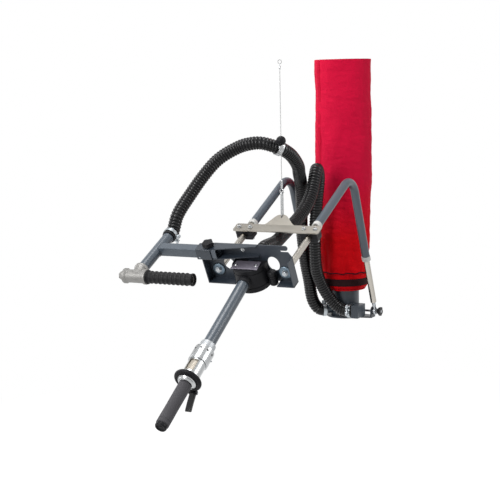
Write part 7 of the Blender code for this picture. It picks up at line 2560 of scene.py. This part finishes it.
@dataclass
class Studio:
    """The white studio: sky, floor, soft lights and the camera."""

    floor_height: float = -1.75
    camera_place: Triple = (1.683, -3.856, -0.086)
    camera_aim: Triple = (-0.1618, -0.3861, -0.6037)
    camera_roll: float = -1.2
    lens: float = 89.0

    def build(self) -> None:
        """Sets up the whole studio."""
        self.sky()
        self.floor()
        self.lights()
        self.camera()
        scene = bpy.context.scene
        scene.view_settings.view_transform = "Standard"
        scene.view_settings.look = "None"

    def seen(self, graph: Graph) -> Link:
        """1 for the rays that show the background: the camera's, a mirror's and a glass's.

        Args:
            graph: the graph that asks.

        Returns:
            The highest of the three.
        """
        path = graph.tree.nodes.new("ShaderNodeLightPath")
        camera, glossy, through = (Link(graph, path.outputs[f"Is {ray} Ray"])
                                   for ray in ("Camera", "Glossy", "Transmission"))
        return camera.most(glossy).most(through)

    def sky(self) -> None:
        """White where the camera, mirrors and glass see it, a soft gradient otherwise."""
        world = bpy.data.worlds.new("studio_sky")
        world.use_nodes = True
        bpy.context.scene.world = world
        graph = Graph(world.node_tree)
        world.node_tree.nodes.clear()
        seen = self.seen(graph)
        where = graph.node("ShaderNodeTexCoord", None, None, "Generated")
        height = graph.node("ShaderNodeSeparateXYZ", None, {0: where}, "Z")
        soft = (height * 0.5 + 0.5).band(0.0, 1.0)
        level = soft * soft * 0.27 + 0.05
        grey = graph.node("ShaderNodeCombineColor", None, {0: level, 1: level, 2: level * 1.02})
        glow = graph.node("ShaderNodeBackground", None, {"Color": grey})
        clear = graph.node("ShaderNodeBackground", None, {"Color": (1.0, 1.0, 1.0, 1.0)})
        mixed = graph.node("ShaderNodeMixShader", None, {0: seen, 1: glow, 2: clear})
        out = world.node_tree.nodes.new("ShaderNodeOutputWorld")
        world.node_tree.links.new(mixed.socket, out.inputs["Surface"])

    def floor(self) -> None:
        """A floor that reads as white and keeps the shadow."""
        sheet = bmesh.new()
        low = self.floor_height
        corners = [(-9, -9, low), (9, -9, low), (9, 14, low), (-9, 14, low)]
        sheet.faces.new([sheet.verts.new(corner) for corner in corners])
        floor = loose_object("studio_floor", sheet)
        sheet.free()
        surface = bpy.data.materials.new("studio_floor")
        surface.use_nodes = True
        graph = Graph(surface.node_tree)
        surface.node_tree.nodes.clear()
        seen = self.seen(graph)
        pale = graph.node("ShaderNodeBsdfDiffuse", None, {"Color": (0.55, 0.55, 0.55, 1.0)})
        glow = graph.node("ShaderNodeEmission", None, {"Color": (1.0, 1.0, 1.0, 1.0), "Strength": 0.75})
        both = graph.node("ShaderNodeAddShader", None, {0: pale, 1: glow})
        own = graph.node("ShaderNodeTexCoord", None, None, "Object")
        away = graph.node("ShaderNodeVectorMath", {"operation": "LENGTH"}, {0: own}, "Value")
        white = graph.node("ShaderNodeEmission", None, {"Color": (1.0, 1.0, 1.0, 1.0), "Strength": 1.0})
        faded = graph.node("ShaderNodeMixShader", None,
                           {0: ((away - 2.2) / 1.2).band(0.0, 1.0), 1: both, 2: white})
        mixed = graph.node("ShaderNodeMixShader", None, {0: seen, 1: pale, 2: faded})
        out = surface.node_tree.nodes.new("ShaderNodeOutputMaterial")
        surface.node_tree.links.new(mixed.socket, out.inputs["Surface"])
        floor.data.materials.append(surface)

    def lamp(self, name: str, power: float, size: Pair, place: Triple, aim: Triple,
             tone: Triple = (1.0, 1.0, 1.0)) -> None:
        """Hangs one soft area light.

        Args:
            name: its name.
            power: in watts.
            size: width and height of its window in metres.
            place: where it hangs.
            aim: the point at which it looks.
            tone: its colour.
        """
        light = bpy.data.lights.new(name, "AREA")
        light.shape = "RECTANGLE"
        light.size, light.size_y = size
        light.energy = power
        light.color = tone
        lamp = bpy.data.objects.new(name, light)
        bpy.context.scene.collection.objects.link(lamp)
        lamp.location = place
        lamp.rotation_euler = (Vector(place) - Vector(aim)).to_track_quat("Z", "Y").to_euler()
        lamp.visible_camera = False

    def lights(self) -> None:
        """Key, fill, rim and top lights."""
        middle = (0.0, -0.4, -0.6)
        self.lamp("key_window", 98.0, (1.1, 2.0), (-1.0, -3.9, 0.9), middle)
        self.lamp("left_window", 38.0, (0.9, 2.2), (-3.2, -0.9, 0.5), middle)
        self.lamp("right_window", 46.0, (0.9, 2.0), (3.2, 0.2, 0.7), middle)
        self.lamp("top_window", 44.0, (1.5, 1.1), (-0.3, -0.7, 2.1), middle)

    def camera(self) -> None:
        """The camera, placed as the photograph was taken."""
        lens = bpy.data.cameras.new("photo_camera")
        lens.lens = self.lens
        lens.sensor_width = 36.0
        lens.sensor_fit = "HORIZONTAL"
        lens.clip_start = 0.05
        camera = bpy.data.objects.new("photo_camera", lens)
        bpy.context.scene.collection.objects.link(camera)
        place, aim = Vector(self.camera_place), Vector(self.camera_aim)
        turn = (place - aim).to_track_quat("Z", "Y").to_matrix().to_4x4()
        camera.matrix_world = Matrix.Translation(
            place) @ turn @ Matrix.Rotation(math.radians(self.camera_roll), 4, "Z")
        bpy.context.scene.camera = camera


def main() -> None:
    """Builds every sub-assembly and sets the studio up."""
    logging.basicConfig(level=logging.INFO, format="%(message)s")
    parts = [LiftingTube(), Adapter(), EarPivots(), Arms(), Spreader(), Bracket(), Hub(), Handle(),
             SideArm(), Balancer(),
             AirHoses()]
    for part in parts:
        made = part.build()
        faces = sum(len(piece.data.polygons) for piece in made)
        LOG.info("%s: %d pieces, %d faces", type(part).__name__, len(made), faces)
    Studio().build()


if __name__ == "__main__":
    main()
